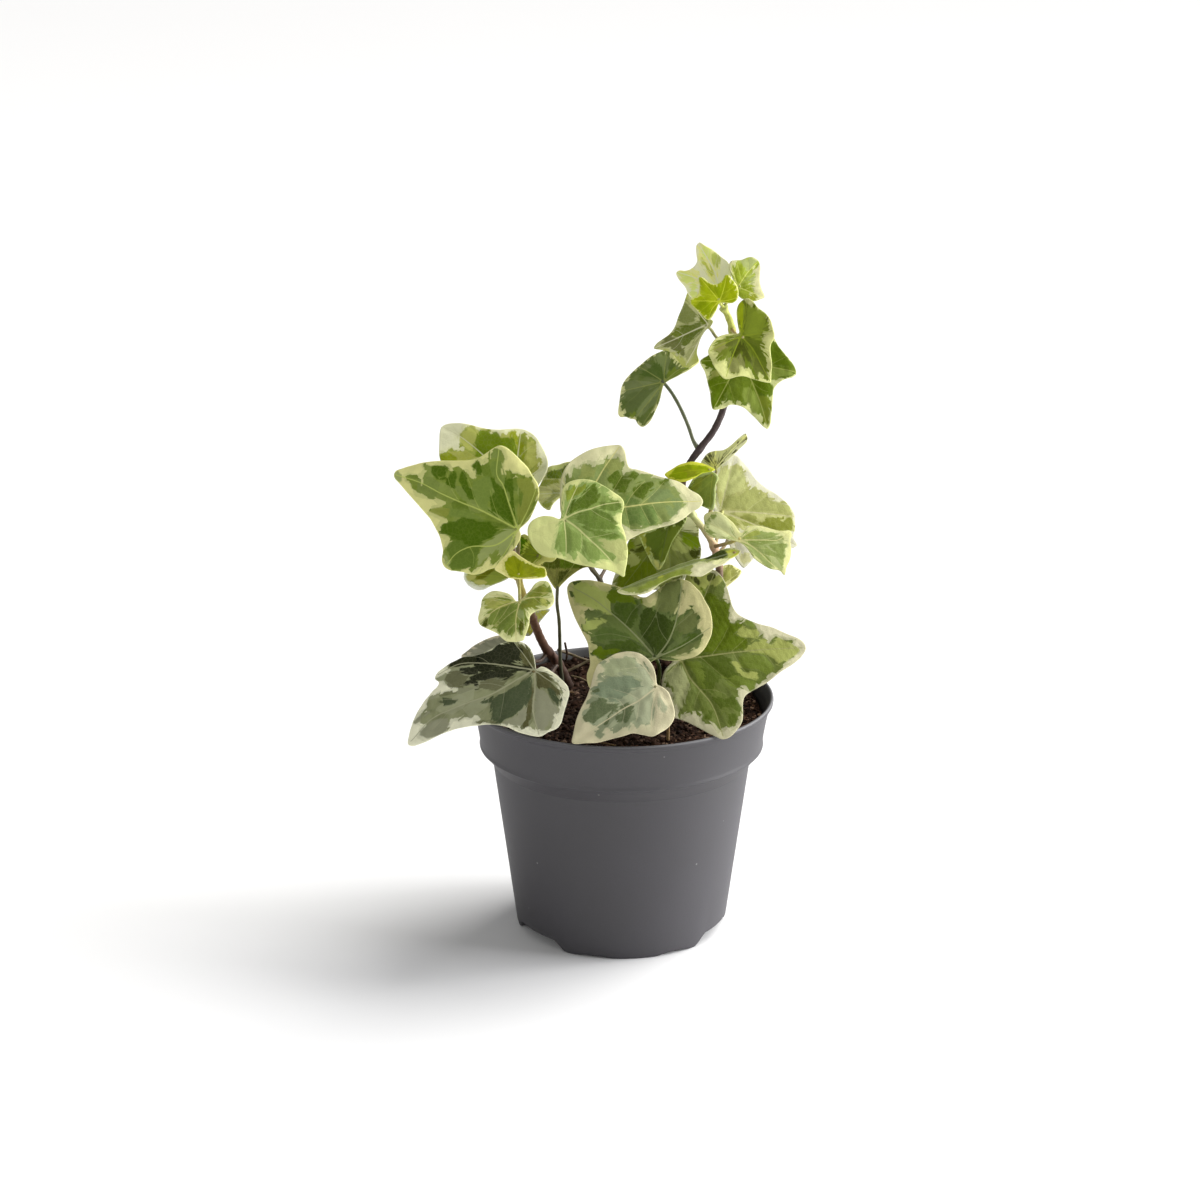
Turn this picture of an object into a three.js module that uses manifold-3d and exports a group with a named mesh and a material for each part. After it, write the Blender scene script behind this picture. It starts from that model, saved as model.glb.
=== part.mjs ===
// Potted ivy: a small trailing plant with variegated, lobed leaves in a thin round plastic pot.
// Units are mm, +Z is up, the origin is on the pot's axis at the level it stands on,
// -Y is the side the plant is seen from, +X is to that viewer's right.
import * as THREE from 'three';
import { mergeVertices } from 'three/addons/utils/BufferGeometryUtils.js';
import Module from 'manifold-3d';

// ---- pot -------------------------------------------------------------
const POT_HEIGHT = 72.1;          // ground to the top of the lip
const POT_BASE_R = 31.2;          // outside radius where it stands
const POT_SHOULDER = [38.6, 52.5];// outside radius and height where the taper ends
const POT_BAND = [42.1, 57.8];    // outside radius and height at the foot of the upper band
const POT_RIM_R = 45.4;           // outside radius of the lip
const POT_WALL = 1.0;             // wall thickness
const POT_FLOOR = 1.3;            // floor thickness
const POT_FACETS = 72;            // sides of every round surface
const DRAIN_ANGLES = [-55, 67, 186]; // degrees from the front, clockwise seen from above
const DRAIN_SPREAD = 36;          // width of each raised drain pocket, degrees
const DRAIN_RISE = 3.2;           // how far the wall is lifted off the ground there
const DRAIN_INNER_R = 24.0;       // how far in the pocket reaches
const DRAIN_HOLE_R = 2.2;         // drain hole radius
// ---- soil ------------------------------------------------------------
const SOIL_TOP = 66.1;            // level near the pot wall
const SOIL_GAP = 0.4;             // clearance between soil and pot
const SOIL_MOUND = 0.5;           // how much it rises in the middle
const SOIL_RINGS = [6, 13, 20, 27, 34, 39.5];
const SOIL_SIDES = 36;
// ---- plant -----------------------------------------------------------
const BLADE_T = 0.5;              // leaf thickness
const INNER_RING = 0.52;          // where the middle ring of a blade's mesh lies
const STALK_SIDES = 7;
const STALK_STEPS = 9;
const STEM_SIDES = 9;

// Every stem: x, y, z on its axis and its radius there, from the soil up.
const STEMS = {
  stem_right: [[21.31,7.77,67.35,1.35],[22.73,7.77,77.07,1.3],[23.54,7.71,86.6,1.25],[26.4,6.87,96.96,1.2],[28.83,6.23,104.68,1.15],[28.95,6.93,110.07,1.1],[27.73,7.53,115.17,1.05],[24.58,8.31,120.82,1],[20.4,9,126.18,0.95],[18.16,9.87,132.09,0.95],[18.58,10.47,137.15,0.95],[20.33,11.17,140.94,1],[23.72,12.15,145.56,1],[26.52,13.24,148.93,1],[28.59,14.43,152.58,1],[30.21,15.71,156.52,1],[31.69,17.71,162.69,1],[32.58,20,169.71,1],[32.64,19.69,175.24,1],[32.25,18.61,180.03,1],[31,17.75,183.84,0.95],[29.77,16.96,186.27,0.8]],
  stem_right_side: [[25.23,10.36,121.6,0.6],[26.72,12.34,126.74,0.65],[27.1,11.8,131.53,0.65],[27.21,11.65,134.96,0.6],[27.04,11.58,136.37,0.45]],
  stem_left: [[-16.48,22.86,67.85,1.55],[-18.55,19.39,74,1.5],[-20.91,15.69,78.8,1.4],[-22.94,11.32,83.16,1.35],[-24.34,6.57,87.94,1.3],[-25.71,1.51,93.4,1.25],[-26.79,-2.23,98.07,1.2],[-28.43,-6.66,103.86,1.1],[-29.64,-10.15,109.3,1],[-30.28,-12.31,113.97,0.9],[-30.54,-13.11,116.36,0.7]],
  twig: [[13.43,-26.03,67.22,0.5],[13.47,-25.88,70.58,0.45],[13.52,-26.23,75.97,0.35]],
  stem_centre: [[2.2,9.6,67.49,0.85],[-0.1,7.48,77.81,0.8],[-2.22,4.76,88.86,0.75],[-4.18,0.49,99.98,0.7],[-6.25,-2.07,108.26,0.65],[-9.04,-4.18,113.09,0.65],[-10.8,-5.23,116.34,0.5]],
};

// Every leaf grows with its stalk as one piece. 'at' is where the stalk meets the blade and
// 'turn' its x-y-z rotation; the blade lies in its own x-y plane with the main vein on +x.
// The surface height there is w = -dome*(x^2+y^2)/reach + fold*(sqrt(y^2+1)-1).
const LEAVES = [
  { name: 'crown_leaf_young', at: [28.35,10.66,189.52], turn: [1.1372,0.0000,2.2543], reach: 9.38, dome: 0.1, fold: 0.1,
    hub: [1.24,-0.35],
    edge: [[-1.83,6.21],[-2.38,5.53],[-0.43,0.17],[-2.83,-2.76],[-2.88,-4.22],[-1.56,-5.87],[0.32,-6.85],[4.64,-7.02],[5.1,-6.46],[4.36,-4.52],[4.41,-3.06],[4.93,-1.98],[6.64,-1.14],[8.64,-0.91],[9.52,-0.14],[7.06,1.71],[5.53,3.92],[5.84,5.92],[5.01,6.79]],
    stalk: [[0.77,-0.21,0],[-0.33,-0.24,-3.03],[-1.11,-0.56,-5.71]], stalkR: 0.5 },
  { name: 'crown_leaf_right', at: [33.9,15.88,192.64], turn: [1.0592,0.2404,0.9351], reach: 10.5, dome: 0.1, fold: 0.08,
    hub: [2.66,-1.73],
    edge: [[2.94,-8.06],[4.06,-6.11],[5.68,-4.23],[9.93,-1.4],[11,0.03],[10.61,2.06],[5.09,6.25],[3.4,5.83],[0.56,2.11],[-0.2,0.23],[-1.97,-1.42],[-2.18,-3.06],[-0.42,-6.29]],
    stalk: [[0.67,-0.44,0],[-1.23,-0.26,-3.51],[-4.44,-0.5,-4.78]], stalkR: 0.5 },
  { name: 'crown_leaf_back', at: [28.78,19.44,190.64], turn: [1.1077,-0.1953,1.9705], reach: 16.09, dome: 0.06, fold: 0.06,
    hub: [3.16,1.89],
    edge: [[16.39,-0.2],[15.78,1.02],[11.11,2.75],[10.05,4.8],[10.12,6.71],[11.19,8.54],[10.74,9.7],[3.25,8.93],[0.8,8.03],[-1.03,5.58],[-1.46,2.55],[-1.08,-0.18],[0.85,-1.67],[2.14,-4.49],[4.23,-5.71],[6.99,-5.58],[12.26,-3.23]],
    stalk: [[0.69,0.41,0],[-0.65,0.97,-2.08],[-3.83,1.35,-0.63]], stalkR: 0.5 },
  { name: 'upper_leaf_hanging', at: [25.39,20.35,180.52], turn: [1.2067,-0.4224,-2.7936], reach: 18.48, dome: 0.1, fold: -0.05,
    hub: [9.61,1.26],
    edge: [[3.13,-11.67],[10.2,-3.79],[12.86,-2.37],[17.87,-1.36],[19.2,-0.55],[14.9,2.38],[13.66,4.19],[12.37,8.25],[10.76,9.09],[6.71,8.75],[6.42,6.5],[5.07,4.54],[3.04,2.54],[-0.67,0.92],[-1.76,-0.22],[0.84,-4.58]],
    stalk: [[0.79,0.1,0],[0.57,1.18,-2.65],[0.14,3.92,-4.04],[-1.66,7.61,-5.09]], stalkR: 0.55 },
  { name: 'upper_leaf_left', at: [12.58,22.36,162.42], turn: [1.0117,-0.3273,-2.5858], reach: 16.71, dome: 0.22, fold: 0,
    hub: [1.88,-4.65],
    edge: [[-12.07,0.28],[-11.88,-2.51],[-10.41,-5.99],[-7.63,-8.48],[-0.58,-9.94],[9.17,-9.24],[11.37,-8.2],[17.14,-2.16],[17.03,-0.86],[13.65,3.16],[13.78,4.66],[13.17,6.22],[11.56,6.75],[9.72,6.65],[7.55,5.75],[0.46,0.62],[-7.61,1.44]],
    stalk: [[0.3,-0.74,0],[0.05,2.16,-1.41],[0.12,5.35,-2.14],[0.73,10.23,-2.93],[1.75,15.18,-3.69],[2.81,19.29,-3.99],[3.38,21.16,-4.2]], stalkR: 0.62 },
  { name: 'upper_leaf_front', at: [34.48,4.63,180.68], turn: [1.1077,0.0494,-1.0165], reach: 16.03, dome: 0.1, fold: 0.28,
    hub: [4.34,1.96],
    edge: [[-8.27,7.48],[-8.72,6.18],[-8.41,4.54],[-7.15,2.99],[-1.06,-0.02],[-2.63,-3.67],[-3.03,-6.11],[-2.64,-7.93],[-0.63,-11.12],[4.33,-11.94],[8.46,-11.13],[10.62,-5.68],[15.82,0.33],[11.66,3.35],[6.86,5.82],[5.62,7.85],[3.34,8.81],[0.36,9.53],[-2.39,9.21]],
    stalk: [[0.73,0.33,0],[-0.86,0.21,-4.95],[-4.1,1.2,-12.11]], stalkR: 0.6 },
  { name: 'upper_leaf_right', at: [35.23,13.46,172.24], turn: [1.0592,0.0977,-1.2385], reach: 22.8, dome: 0.12, fold: 0.05,
    hub: [3.27,1.77],
    edge: [[-5.56,9.87],[-6.06,7.2],[-4.92,3.64],[-5.63,-3.64],[-5.08,-6.97],[-2.5,-12.24],[1.12,-11.96],[12.25,-13.25],[12.79,-9.87],[12.46,-8.05],[13.52,-5.6],[15.22,-3.84],[21.16,-0.57],[22.3,0.54],[21.12,1.79],[12.03,5.82],[10.69,7.59],[10.16,12.44],[9.41,13.95],[5.65,13.64]],
    stalk: [[0.7,0.38,0],[-0.25,-0.28,-3.9],[0.06,-1.13,-6.28]], stalkR: 0.6 },
  { name: 'mid_leaf_upright', at: [27.89,11.1,139.11], turn: [1.5933,-0.4788,0.8598], reach: 15.1, dome: 0, fold: 0.3,
    hub: [0.48,1.2],
    edge: [[15.11,0.62],[6.45,1.98],[4.26,3.66],[1.95,4.67],[-2.02,4.15],[-1.32,0.56],[-0.25,-0.46],[13.6,-1.35],[14.32,-1]],
    stalk: [[0.3,0.74,0],[-1.17,-0.81,-0.56],[-1.9,-1.24,-0.67]], stalkR: 0.42 },
  { name: 'mid_leaf_lime', at: [26.54,6.11,139.91], turn: [0.7016,0.0848,-2.9595], reach: 14.3, dome: 0.15, fold: 0.15,
    hub: [8.02,-0.46],
    edge: [[-0.91,0],[2.78,-2.76],[5.63,-3.5],[8.89,-3.53],[13.85,-1.27],[11.86,1.31],[10.03,2.42],[7.72,2.66]],
    stalk: [[0.8,-0.05,0],[0.48,-2.03,-1.48],[-0.03,-2.6,-4.11],[-0.74,-1.88,-5.33]], stalkR: 0.42 },
  { name: 'mid_leaf_dark', at: [26.88,7.38,138.64], turn: [1.3066,-0.2447,-1.6553], reach: 10.9, dome: 0.12, fold: 0.12,
    hub: [5.55,-3.19],
    edge: [[10.91,0.66],[6.69,1.3],[3.75,1.06],[1.11,1.77],[-0.46,-0.52],[0.46,-3.55],[2.13,-5.71],[6.28,-7.39],[8.21,-5.77],[9.78,-3.28]],
    stalk: [[0.69,-0.4,0],[0.91,-0.06,-1.36],[1.86,-0.45,-3.67]], stalkR: 0.45 },
  { name: 'mid_leaf_pale_back', at: [29.74,25.4,121.63], turn: [1.1570,0.2438,-0.0464], reach: 26.09, dome: 0.08, fold: 0.05,
    hub: [8.3,-0.09],
    edge: [[3.6,17.54],[-0.02,15.24],[-2.43,12.28],[-3.84,8.51],[-3.66,4.57],[-1.47,-2.55],[0.81,-5.12],[4.26,-12.15],[8.16,-16.68],[12.27,-12.72],[15.75,-11.22],[22.89,-9.68],[25.16,-8.4],[23.94,-6.22],[24.47,-0.25],[23.28,2.3],[20.98,4.4],[10.77,10.81],[6.41,15.93]],
    stalk: [[0.8,-0.01,0],[-0.84,-4.01,2.44],[-2.61,-8.69,7.69],[-4.25,-12.33,11.53]], stalkR: 0.6 },
  { name: 'mid_leaf_bright_right', at: [33.71,-7.91,122.67], turn: [0.9200,0.2317,-0.5950], reach: 17.13, dome: 0.18, fold: 0.12,
    hub: [1.04,1.69],
    edge: [[17.25,1.21],[15.87,6.34],[14.83,8.42],[12.86,10.39],[11.9,12.85],[10.75,13.15],[9.02,11.22],[1.74,7.2],[0.11,4.85],[-0.28,2.5],[-3.57,3.48],[-8.99,4.13],[-11.09,2.82],[-12.06,1.38],[-11.89,0.25],[-9.45,-3.51],[-7.2,-4.16],[0.14,-0.49],[2.27,-0.13],[7.25,-1.49],[10,-1.22],[12.95,-0.46],[15.43,1.22]],
    stalk: [[0.42,0.68,0],[-1.22,1.27,-7.07],[-3.52,1.94,-15.95]], stalkR: 0.6 },
  { name: 'mid_leaf_level', at: [33.57,-8.8,119.28], turn: [0.5819,-0.0390,-2.7680], reach: 37.52, dome: 0.1, fold: 0.12,
    hub: [20,-0.59],
    edge: [[36.64,-2.95],[35.78,-1.17],[32.59,1.1],[28.79,2.37],[24.12,0.99],[20.64,0.88],[17.43,1.41],[13.06,4.11],[5.83,3.22],[-1.11,0.23],[-0.48,-1.14],[3.42,-2.56],[9.51,-1.96],[16.39,-2.81]],
    stalk: [[0.8,-0.02,0],[0.11,-5.19,-7.37],[1.18,-9.83,-13.16]], stalkR: 0.6 },
  { name: 'mid_leaf_drooping', at: [14.75,1.69,129.57], turn: [1.4055,-0.1953,-1.7921], reach: 19.11, dome: 0.05, fold: 0.25,
    hub: [6.22,-2.87],
    edge: [[19.28,-0.07],[17.55,0.93],[9.57,2.43],[1.74,5.09],[-0.85,4.22],[-2.07,2.03],[-1.09,-0.55],[-0.68,-3.7],[3.49,-8.69],[5.91,-9.94],[15.1,-4.19],[18.19,-1.65]],
    stalk: [[0.73,-0.34,0],[0.53,1.2,-4.21],[1.03,2.99,-7.37]], stalkR: 0.5 },
  { name: 'mid_leaf_shaded', at: [13.8,10.41,120.8], turn: [1.1077,0.0000,-2.2120], reach: 24.79, dome: 0.1, fold: 0.06,
    hub: [4.58,6.74],
    edge: [[24.42,-2.16],[23.67,-0.13],[21.77,2.52],[18.75,4.7],[17.13,7.93],[14.39,10.69],[11.09,12.67],[3.79,13.52],[0.92,12.87],[-7.52,5.52],[-8.89,3.78],[-8.55,1.81],[-2.63,1.01],[0.47,-2.62],[7.48,-7.02],[10.45,-7.03],[20.31,-4.49],[23.18,-3.45]],
    stalk: [[0.45,0.66,0],[-3.3,0.55,-1.17],[-6.35,2.67,2.28]], stalkR: 0.5 },
  { name: 'centre_leaf_front', at: [-16.72,-22.31,133.36], turn: [0.9836,0.0481,-0.7728], reach: 24.22, dome: 0.14, fold: 0.08,
    hub: [9.65,0.09],
    edge: [[23.7,0.58],[19.15,6.72],[12.8,10.79],[8.35,16.06],[6.55,16.41],[-1.79,14.38],[-4.03,12.96],[-5.95,10.72],[-6.98,8.07],[-6.43,5.9],[-0.91,-0.75],[-4.88,-3.54],[-5.92,-5.64],[-6.13,-7.51],[-5.58,-9.12],[-3.96,-10.77],[0.02,-12.2],[2.64,-12.25],[4.85,-11.36],[6.79,-9.65],[13.71,-5.67],[19.74,-1.23]],
    stalk: [[0.8,0.01,0],[1.59,0.95,-9.39],[5.53,1.16,-17.77],[8.64,1.3,-22.29]], stalkR: 0.6 },
  { name: 'centre_leaf_large', at: [-13.95,-9.22,131.58], turn: [0.9652,0.0955,0.1165], reach: 38.04, dome: 0.1, fold: 0.08,
    hub: [7.82,2.62],
    edge: [[38.69,1.16],[37.89,3.12],[32.54,7.17],[17.89,12.31],[16.98,17.66],[15.98,19.24],[13.98,19.51],[6.99,18.5],[0.52,15.17],[-1.63,12.61],[-2.9,9.63],[-3.92,1.92],[-3.81,0.03],[-1.67,-4.21],[6.82,-14.16],[9.81,-13.77],[15.02,-9.82],[17.86,-8.44],[28.59,-5.74],[37.41,-0.76]],
    stalk: [[0.76,0.25,0],[1.98,-1.33,-10.61],[3.04,-6.4,-12.46],[3.03,-9.61,-11.89]], stalkR: 0.6 },
  { name: 'left_leaf_large', at: [-30.08,-16.53,128.48], turn: [1.0592,-0.1937,2.6916], reach: 41.3, dome: 0.1, fold: 0.08,
    hub: [12.79,1.62],
    edge: [[42.82,-0.38],[25.86,7.4],[23.39,9.08],[19.05,12.89],[17.01,16.9],[15.43,18.49],[13.28,18.88],[6.28,17.39],[0.96,12.69],[-1.87,4.71],[-1.4,0.85],[-0.41,-0.18],[-1.92,-5.3],[-1.63,-10.72],[0.63,-14.57],[5.13,-17.5],[12.19,-20.15],[16.14,-20.22],[20.34,-14.6],[22.33,-13.06],[36.38,-6.69],[42.77,-1.6]],
    stalk: [[0.79,0.1,0],[-0.37,2.49,-4.5],[-1.25,5.84,-6.52],[-1.6,8.09,-7.71]], stalkR: 0.6 },
  { name: 'left_leaf_back', at: [-32.57,4.38,134.6], turn: [0.9652,-0.0479,2.3710], reach: 28.73, dome: 0.1, fold: 0.06,
    hub: [8.92,-4.42],
    edge: [[29.71,-0.35],[26.1,4.13],[21.88,7.75],[18,8.81],[3.12,10.66],[0.1,9.1],[-1.17,6.2],[-0.44,0.44],[-4.52,-1.71],[-5.06,-6.42],[-4.12,-10.75],[-2.5,-13.17],[-0.33,-14.61],[5.98,-16.68],[8.8,-16.58],[11.2,-15.63],[18.27,-9.06],[27.02,-4.06],[29.26,-1.9]],
    stalk: [[0.72,-0.36,0],[-6.52,5.84,-2.65],[-13.61,12.48,0.68],[-18.05,16.06,2.94]], stalkR: 0.55 },
  { name: 'left_leaf_between', at: [-16.22,15.55,130.13], turn: [0.8338,-0.0909,3.1341], reach: 10.54, dome: 0.05, fold: 0.22,
    hub: [4.38,-3.17],
    edge: [[-6.3,-6.95],[-3.93,-9.16],[-0.94,-9.76],[5.59,-8.28],[9.33,-0.85],[8.66,1.94],[7.07,4.6],[5.04,6.03],[3.94,3.73],[1.91,1.6],[-0.62,1.06],[-3.32,1.5],[-5.66,-0.83],[-6.88,-3.87]],
    stalk: [[0.65,-0.47,0],[-1.28,5.96,-2.81],[-3.97,15.56,-0.79],[-7.34,24.89,1.64]], stalkR: 0.5 },
  { name: 'left_leaf_inner', at: [-23.7,-4.57,116.75], turn: [1.0117,-0.0967,2.9843], reach: 8.83, dome: 0.08, fold: 0.2,
    hub: [3.71,-1.1],
    edge: [[-4.94,-0.7],[-3.45,-2.84],[-0.57,-4.22],[2.17,-4.48],[6,-5.85],[7.37,-4.82],[7.7,-1.98],[8.76,0.06],[5.02,2.2],[1.77,3.55],[-0.05,2.83],[-1.48,1.67],[-3.51,1.37]],
    stalk: [[0.77,-0.23,0],[2.41,2.27,-0.72],[4.47,6.96,3.51]], stalkR: 0.5 },
  { name: 'left_leaf_curled', at: [-29.61,-27.92,117.7], turn: [0.7538,0.0438,0.3679], reach: 8.78, dome: 0.12, fold: 0.1,
    hub: [0.47,1.97],
    edge: [[-5.58,5.07],[-2.62,0.67],[-0.58,-0.49],[5.8,-2.37],[7.56,-2.11],[8.3,-0.24],[8.16,1.1],[6.36,2],[4.31,4.15],[1.16,8.87],[-0.95,8.15]],
    stalk: [[0.18,0.78,0],[1.26,3.45,-5.4],[2.82,7.99,-10.95]], stalkR: 0.5 },
  { name: 'left_leaf_under', at: [-32.89,-13.15,113.01], turn: [0.7930,-0.1334,3.0248], reach: 13.49, dome: 0.1, fold: 0.1,
    hub: [8.22,0.79],
    edge: [[-0.27,-0.66],[2.43,-2.77],[5.49,-3.2],[11.54,-2.81],[13.28,-1.92],[13.82,-0.19],[12.8,1.9],[11.13,3.61],[8.87,4.69],[6.81,4.44],[0.42,0.61]],
    stalk: [[0.8,0.08,0],[-0.7,-0.93,-0.47],[-0.92,-1.26,-0.5]], stalkR: 0.5 },
  { name: 'left_leaf_small', at: [-29.33,-29.53,111.14], turn: [0.9836,0.0000,-1.6581], reach: 13.52, dome: 0.2, fold: 0.04,
    hub: [3.21,-0.32],
    edge: [[-6.73,7.28],[-6.77,5.49],[-5.49,3.8],[-0.48,0.39],[0.24,-1.04],[-1.07,-2.26],[-1.95,-3.79],[-2.34,-6],[-2.26,-8.16],[-1.27,-9.87],[0.42,-10.98],[5.9,-11.59],[7.65,-10.85],[9.94,-5.58],[11.84,-2.88],[11.64,0.7],[11.09,2.09],[8.25,2.91],[4.33,3.28],[3.13,4.26],[1.75,8.07],[0.43,9.38],[-1.32,9.83],[-5.33,8.51]],
    stalk: [[0.8,-0.08,0],[-4.21,-0.66,-5.04],[-8.59,-1.35,-11.07],[-10.09,-1.5,-12.56]], stalkR: 0.55 },
  { name: 'left_leaf_behind_stem', at: [-25.52,8.86,96.62], turn: [1.1570,0.1482,-1.9061], reach: 9.26, dome: 0.06, fold: 0.1,
    hub: [5.2,-1.06],
    edge: [[-0.71,4.19],[1.49,-0.59],[0.2,-3.14],[1.71,-5.49],[4.02,-6.59],[6.43,-5.39],[9.18,-0.38],[8.82,1.08]],
    stalk: [[0.78,-0.16,0],[1.49,-0.84,5.28],[3.09,-1.36,7.88]], stalkR: 0.5 },
  { name: 'left_leaf_underside', at: [-19.39,9.57,102.04], turn: [1.5016,0.1445,0.9576], reach: 18.26, dome: 0.06, fold: 0.1,
    hub: [10.93,2.37],
    edge: [[17.23,-4.78],[18.12,-1.27],[17.41,2.68],[14.66,5.98],[10.98,7.87],[2.86,8.86],[-0.09,-0.14],[5.72,-1.48],[9.8,-3.27],[11.17,-4.52],[14.1,-5.44]],
    stalk: [[0.78,0.17,0],[-3.44,-2.58,0.06],[-7.62,-6.5,-1.51],[-12.9,-10.87,-3.88],[-18.28,-15.17,-6.24],[-24.01,-20.54,-9.33],[-25.83,-22.38,-10.49]], stalkR: 0.62 },
  { name: 'low_leaf_left', at: [-25.44,-22.93,87.76], turn: [0.6733,-0.0667,-2.5574], reach: 43.42, dome: 0.2, fold: 0.12,
    hub: [6.05,4.38],
    edge: [[41.72,-4.43],[41.02,-3.03],[30.14,0.83],[20.66,6.69],[18.05,9.43],[15.21,14.45],[11.02,19.96],[5.6,20.91],[3.75,20.11],[-3.63,13.12],[-4.6,10.62],[-3.4,1.74],[-2.27,0.14],[-0.66,0.05],[-2.7,-5.21],[-2.95,-7.57],[-2.36,-9.34],[0.91,-12.37],[3.41,-13.27],[8.82,-13.67],[14.56,-16.39],[23.5,-16.9],[24.72,-15.83],[24.46,-14.01],[25.41,-13.25],[33.41,-11.2],[38.53,-7.86]],
    stalk: [[0.65,0.47,0],[-2.47,-3.27,-8.72],[-6.62,-8.27,-21.3],[-11.35,-13.7,-31.06],[-15.05,-17.25,-35.65]], stalkR: 0.7 },
  { name: 'low_leaf_left_back', at: [-32.51,-2.47,84.4], turn: [1.0592,-0.1460,3.0747], reach: 15.33, dome: 0.12, fold: -0.1,
    hub: [4,-1.9],
    edge: [[15.72,-0.17],[7.79,2.6],[4.38,3.11],[1.06,2.71],[-1.89,1.41],[-3.54,-0.77],[-3.29,-3.53],[-1.28,-5.62],[1.87,-6.75],[4.69,-6.86],[8.06,-5.78],[11,-4.17]],
    stalk: [[0.72,-0.34,0],[-2.03,-1.33,-5.22],[-4.14,-1.19,-10.74],[-6.11,-2.33,-14.96],[-7.12,-3.63,-16.25]], stalkR: 0.6 },
  { name: 'low_leaf_centre', at: [9.82,-25.16,92.21], turn: [0.9929,-0.0482,2.4193], reach: 33.98, dome: 0.12, fold: 0.1,
    hub: [8.2,-3.74],
    edge: [[34.93,-1.46],[34.69,0.01],[30.64,3.47],[18.11,9.56],[13.13,14.05],[11.8,16.87],[10.09,18.57],[7.5,19.53],[4.25,17.96],[1.75,14.66],[0.45,10],[0.31,2.28],[-0.42,0.04],[-4.74,-2.94],[-8.55,-8.14],[-8.36,-13.49],[-7.47,-16.02],[-2.52,-20.98],[3.05,-23.19],[8.13,-23.48],[10.31,-22.44],[11.79,-20.45],[14.22,-11.84],[15.41,-10.99],[20.65,-9.85],[27.53,-7.27],[33.81,-3.19]],
    stalk: [[0.73,-0.33,0],[-0.88,0.06,-5.9],[-1.69,0.96,-11.93],[-2.78,3.53,-20.9],[-3.5,5.9,-29.24],[-4.1,7.04,-32.99]], stalkR: 0.65 },
  { name: 'low_leaf_front', at: [10.13,-34.74,87], turn: [0.7461,0.0000,-2.4919], reach: 30.65, dome: 0.12, fold: 0.06,
    hub: [10.69,-3.15],
    edge: [[29.64,-1.4],[24.6,2.7],[14.65,7.67],[10.84,12.08],[4.91,12.19],[2.61,11.18],[-0.46,6.15],[-1.3,3.38],[-0.33,-0.56],[-2.84,-5.66],[-3.06,-9.06],[-2.14,-11.85],[0.18,-14.33],[2.82,-15.63],[8.78,-16.24],[24.13,-6.59]],
    stalk: [[0.77,-0.23,0],[-0.94,-1.72,-8.66],[-1.77,-4.93,-19.55],[-2.6,-8.02,-31.65],[-2.69,-8.64,-33.86]], stalkR: 0.65 },
  { name: 'low_leaf_right', at: [17.15,-21.94,90.8], turn: [0.8255,0.0906,0.1308], reach: 37.13, dome: 0.1, fold: 0.06,
    hub: [11.86,3.52],
    edge: [[8.38,28.95],[5.69,27.1],[4.3,23.84],[4.17,14.92],[3.1,9.52],[-0.99,1.35],[-5.15,-3.04],[-6.43,-5.8],[-6.82,-8.63],[-4.36,-18.28],[8.4,-25.8],[10.82,-25.36],[14.99,-21.05],[16.14,-15.23],[17.75,-12.49],[24.6,-8.98],[32.76,-3.7],[36.31,-0.8],[37.96,1.75],[37.07,3.97],[28.56,8.53],[20.82,11.66],[18.41,13.71],[16.43,24.4],[14.75,27.19],[11.72,29.08]],
    stalk: [[0.77,0.23,0],[0.95,0.77,-10.01],[0.82,0.07,-20.29],[0.63,-0.33,-32.66],[0.66,-0.43,-34.36]], stalkR: 0.65 },
  { name: 'low_leaf_pale', at: [28.03,12.34,100.84], turn: [1.0592,0.0977,0.6348], reach: 10.05, dome: 0.06, fold: 0.08,
    hub: [2.54,1.64],
    edge: [[-3.61,-2.31],[-1.24,-3.64],[1.28,-2.8],[3.57,-1.39],[8.04,-0.94],[10.2,-0.04],[8.61,3.63],[6.41,4.63],[3.64,4.89],[-0.06,4.49],[-2.85,2.75],[-4.21,0.39]],
    stalk: [[0.67,0.43,0],[0.02,0.09,2.58],[-0.14,-0.14,4.83]], stalkR: 0.5 },
  { name: 'back_leaf_centre', at: [5.79,24.76,80.84], turn: [1.5481,0.0955,0.9209], reach: 14.78, dome: 0.16, fold: 0.08,
    hub: [4.13,3.67],
    edge: [[7.8,-12.82],[10.14,-9.44],[11.25,-5.47],[13.46,-2.3],[13.78,1.02],[10.92,4.34],[8.39,5.94],[8.5,9.44],[5.74,11.2],[2.08,10.01],[-1.37,10.45],[-5.51,9.58],[-7.34,6.66],[-7.05,3.04],[-5.4,-0.31],[0.32,-2.06],[1.59,-4.96],[2.4,-9.03],[4.43,-12.22]],
    stalk: [[0.6,0.53,0],[-4,-3.72,-1.98],[-8.31,-7.48,0.3],[-10.15,-9.06,4.71]], stalkR: 0.55 },
  { name: 'back_leaf_right', at: [35.82,41.79,120.29], turn: [1.5016,-0.0485,-0.2711], reach: 15.15, dome: 0.16, fold: 0.08,
    hub: [3.5,-0.61],
    edge: [[15.3,-0.05],[12.69,2.32],[4.37,5.78],[1.45,8.19],[-1.74,8.24],[-3.95,5.98],[-4.55,2.56],[-3.23,-0.95],[3.78,-9.79],[6.62,-9.7],[8.18,-6.28],[10.42,-4.09],[13.62,-3.02]],
    stalk: [[0.79,-0.14,0],[-0.09,-3.97,4.1],[-0.5,-9.72,15.88],[-3.1,-10.39,32.55]], stalkR: 0.55 },
  { name: 'back_leaf_middle', at: [-6.4,26.48,118.48], turn: [1.4540,0.0000,0.3794], reach: 19.12, dome: 0.16, fold: 0.08,
    hub: [3.26,4.95],
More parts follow.
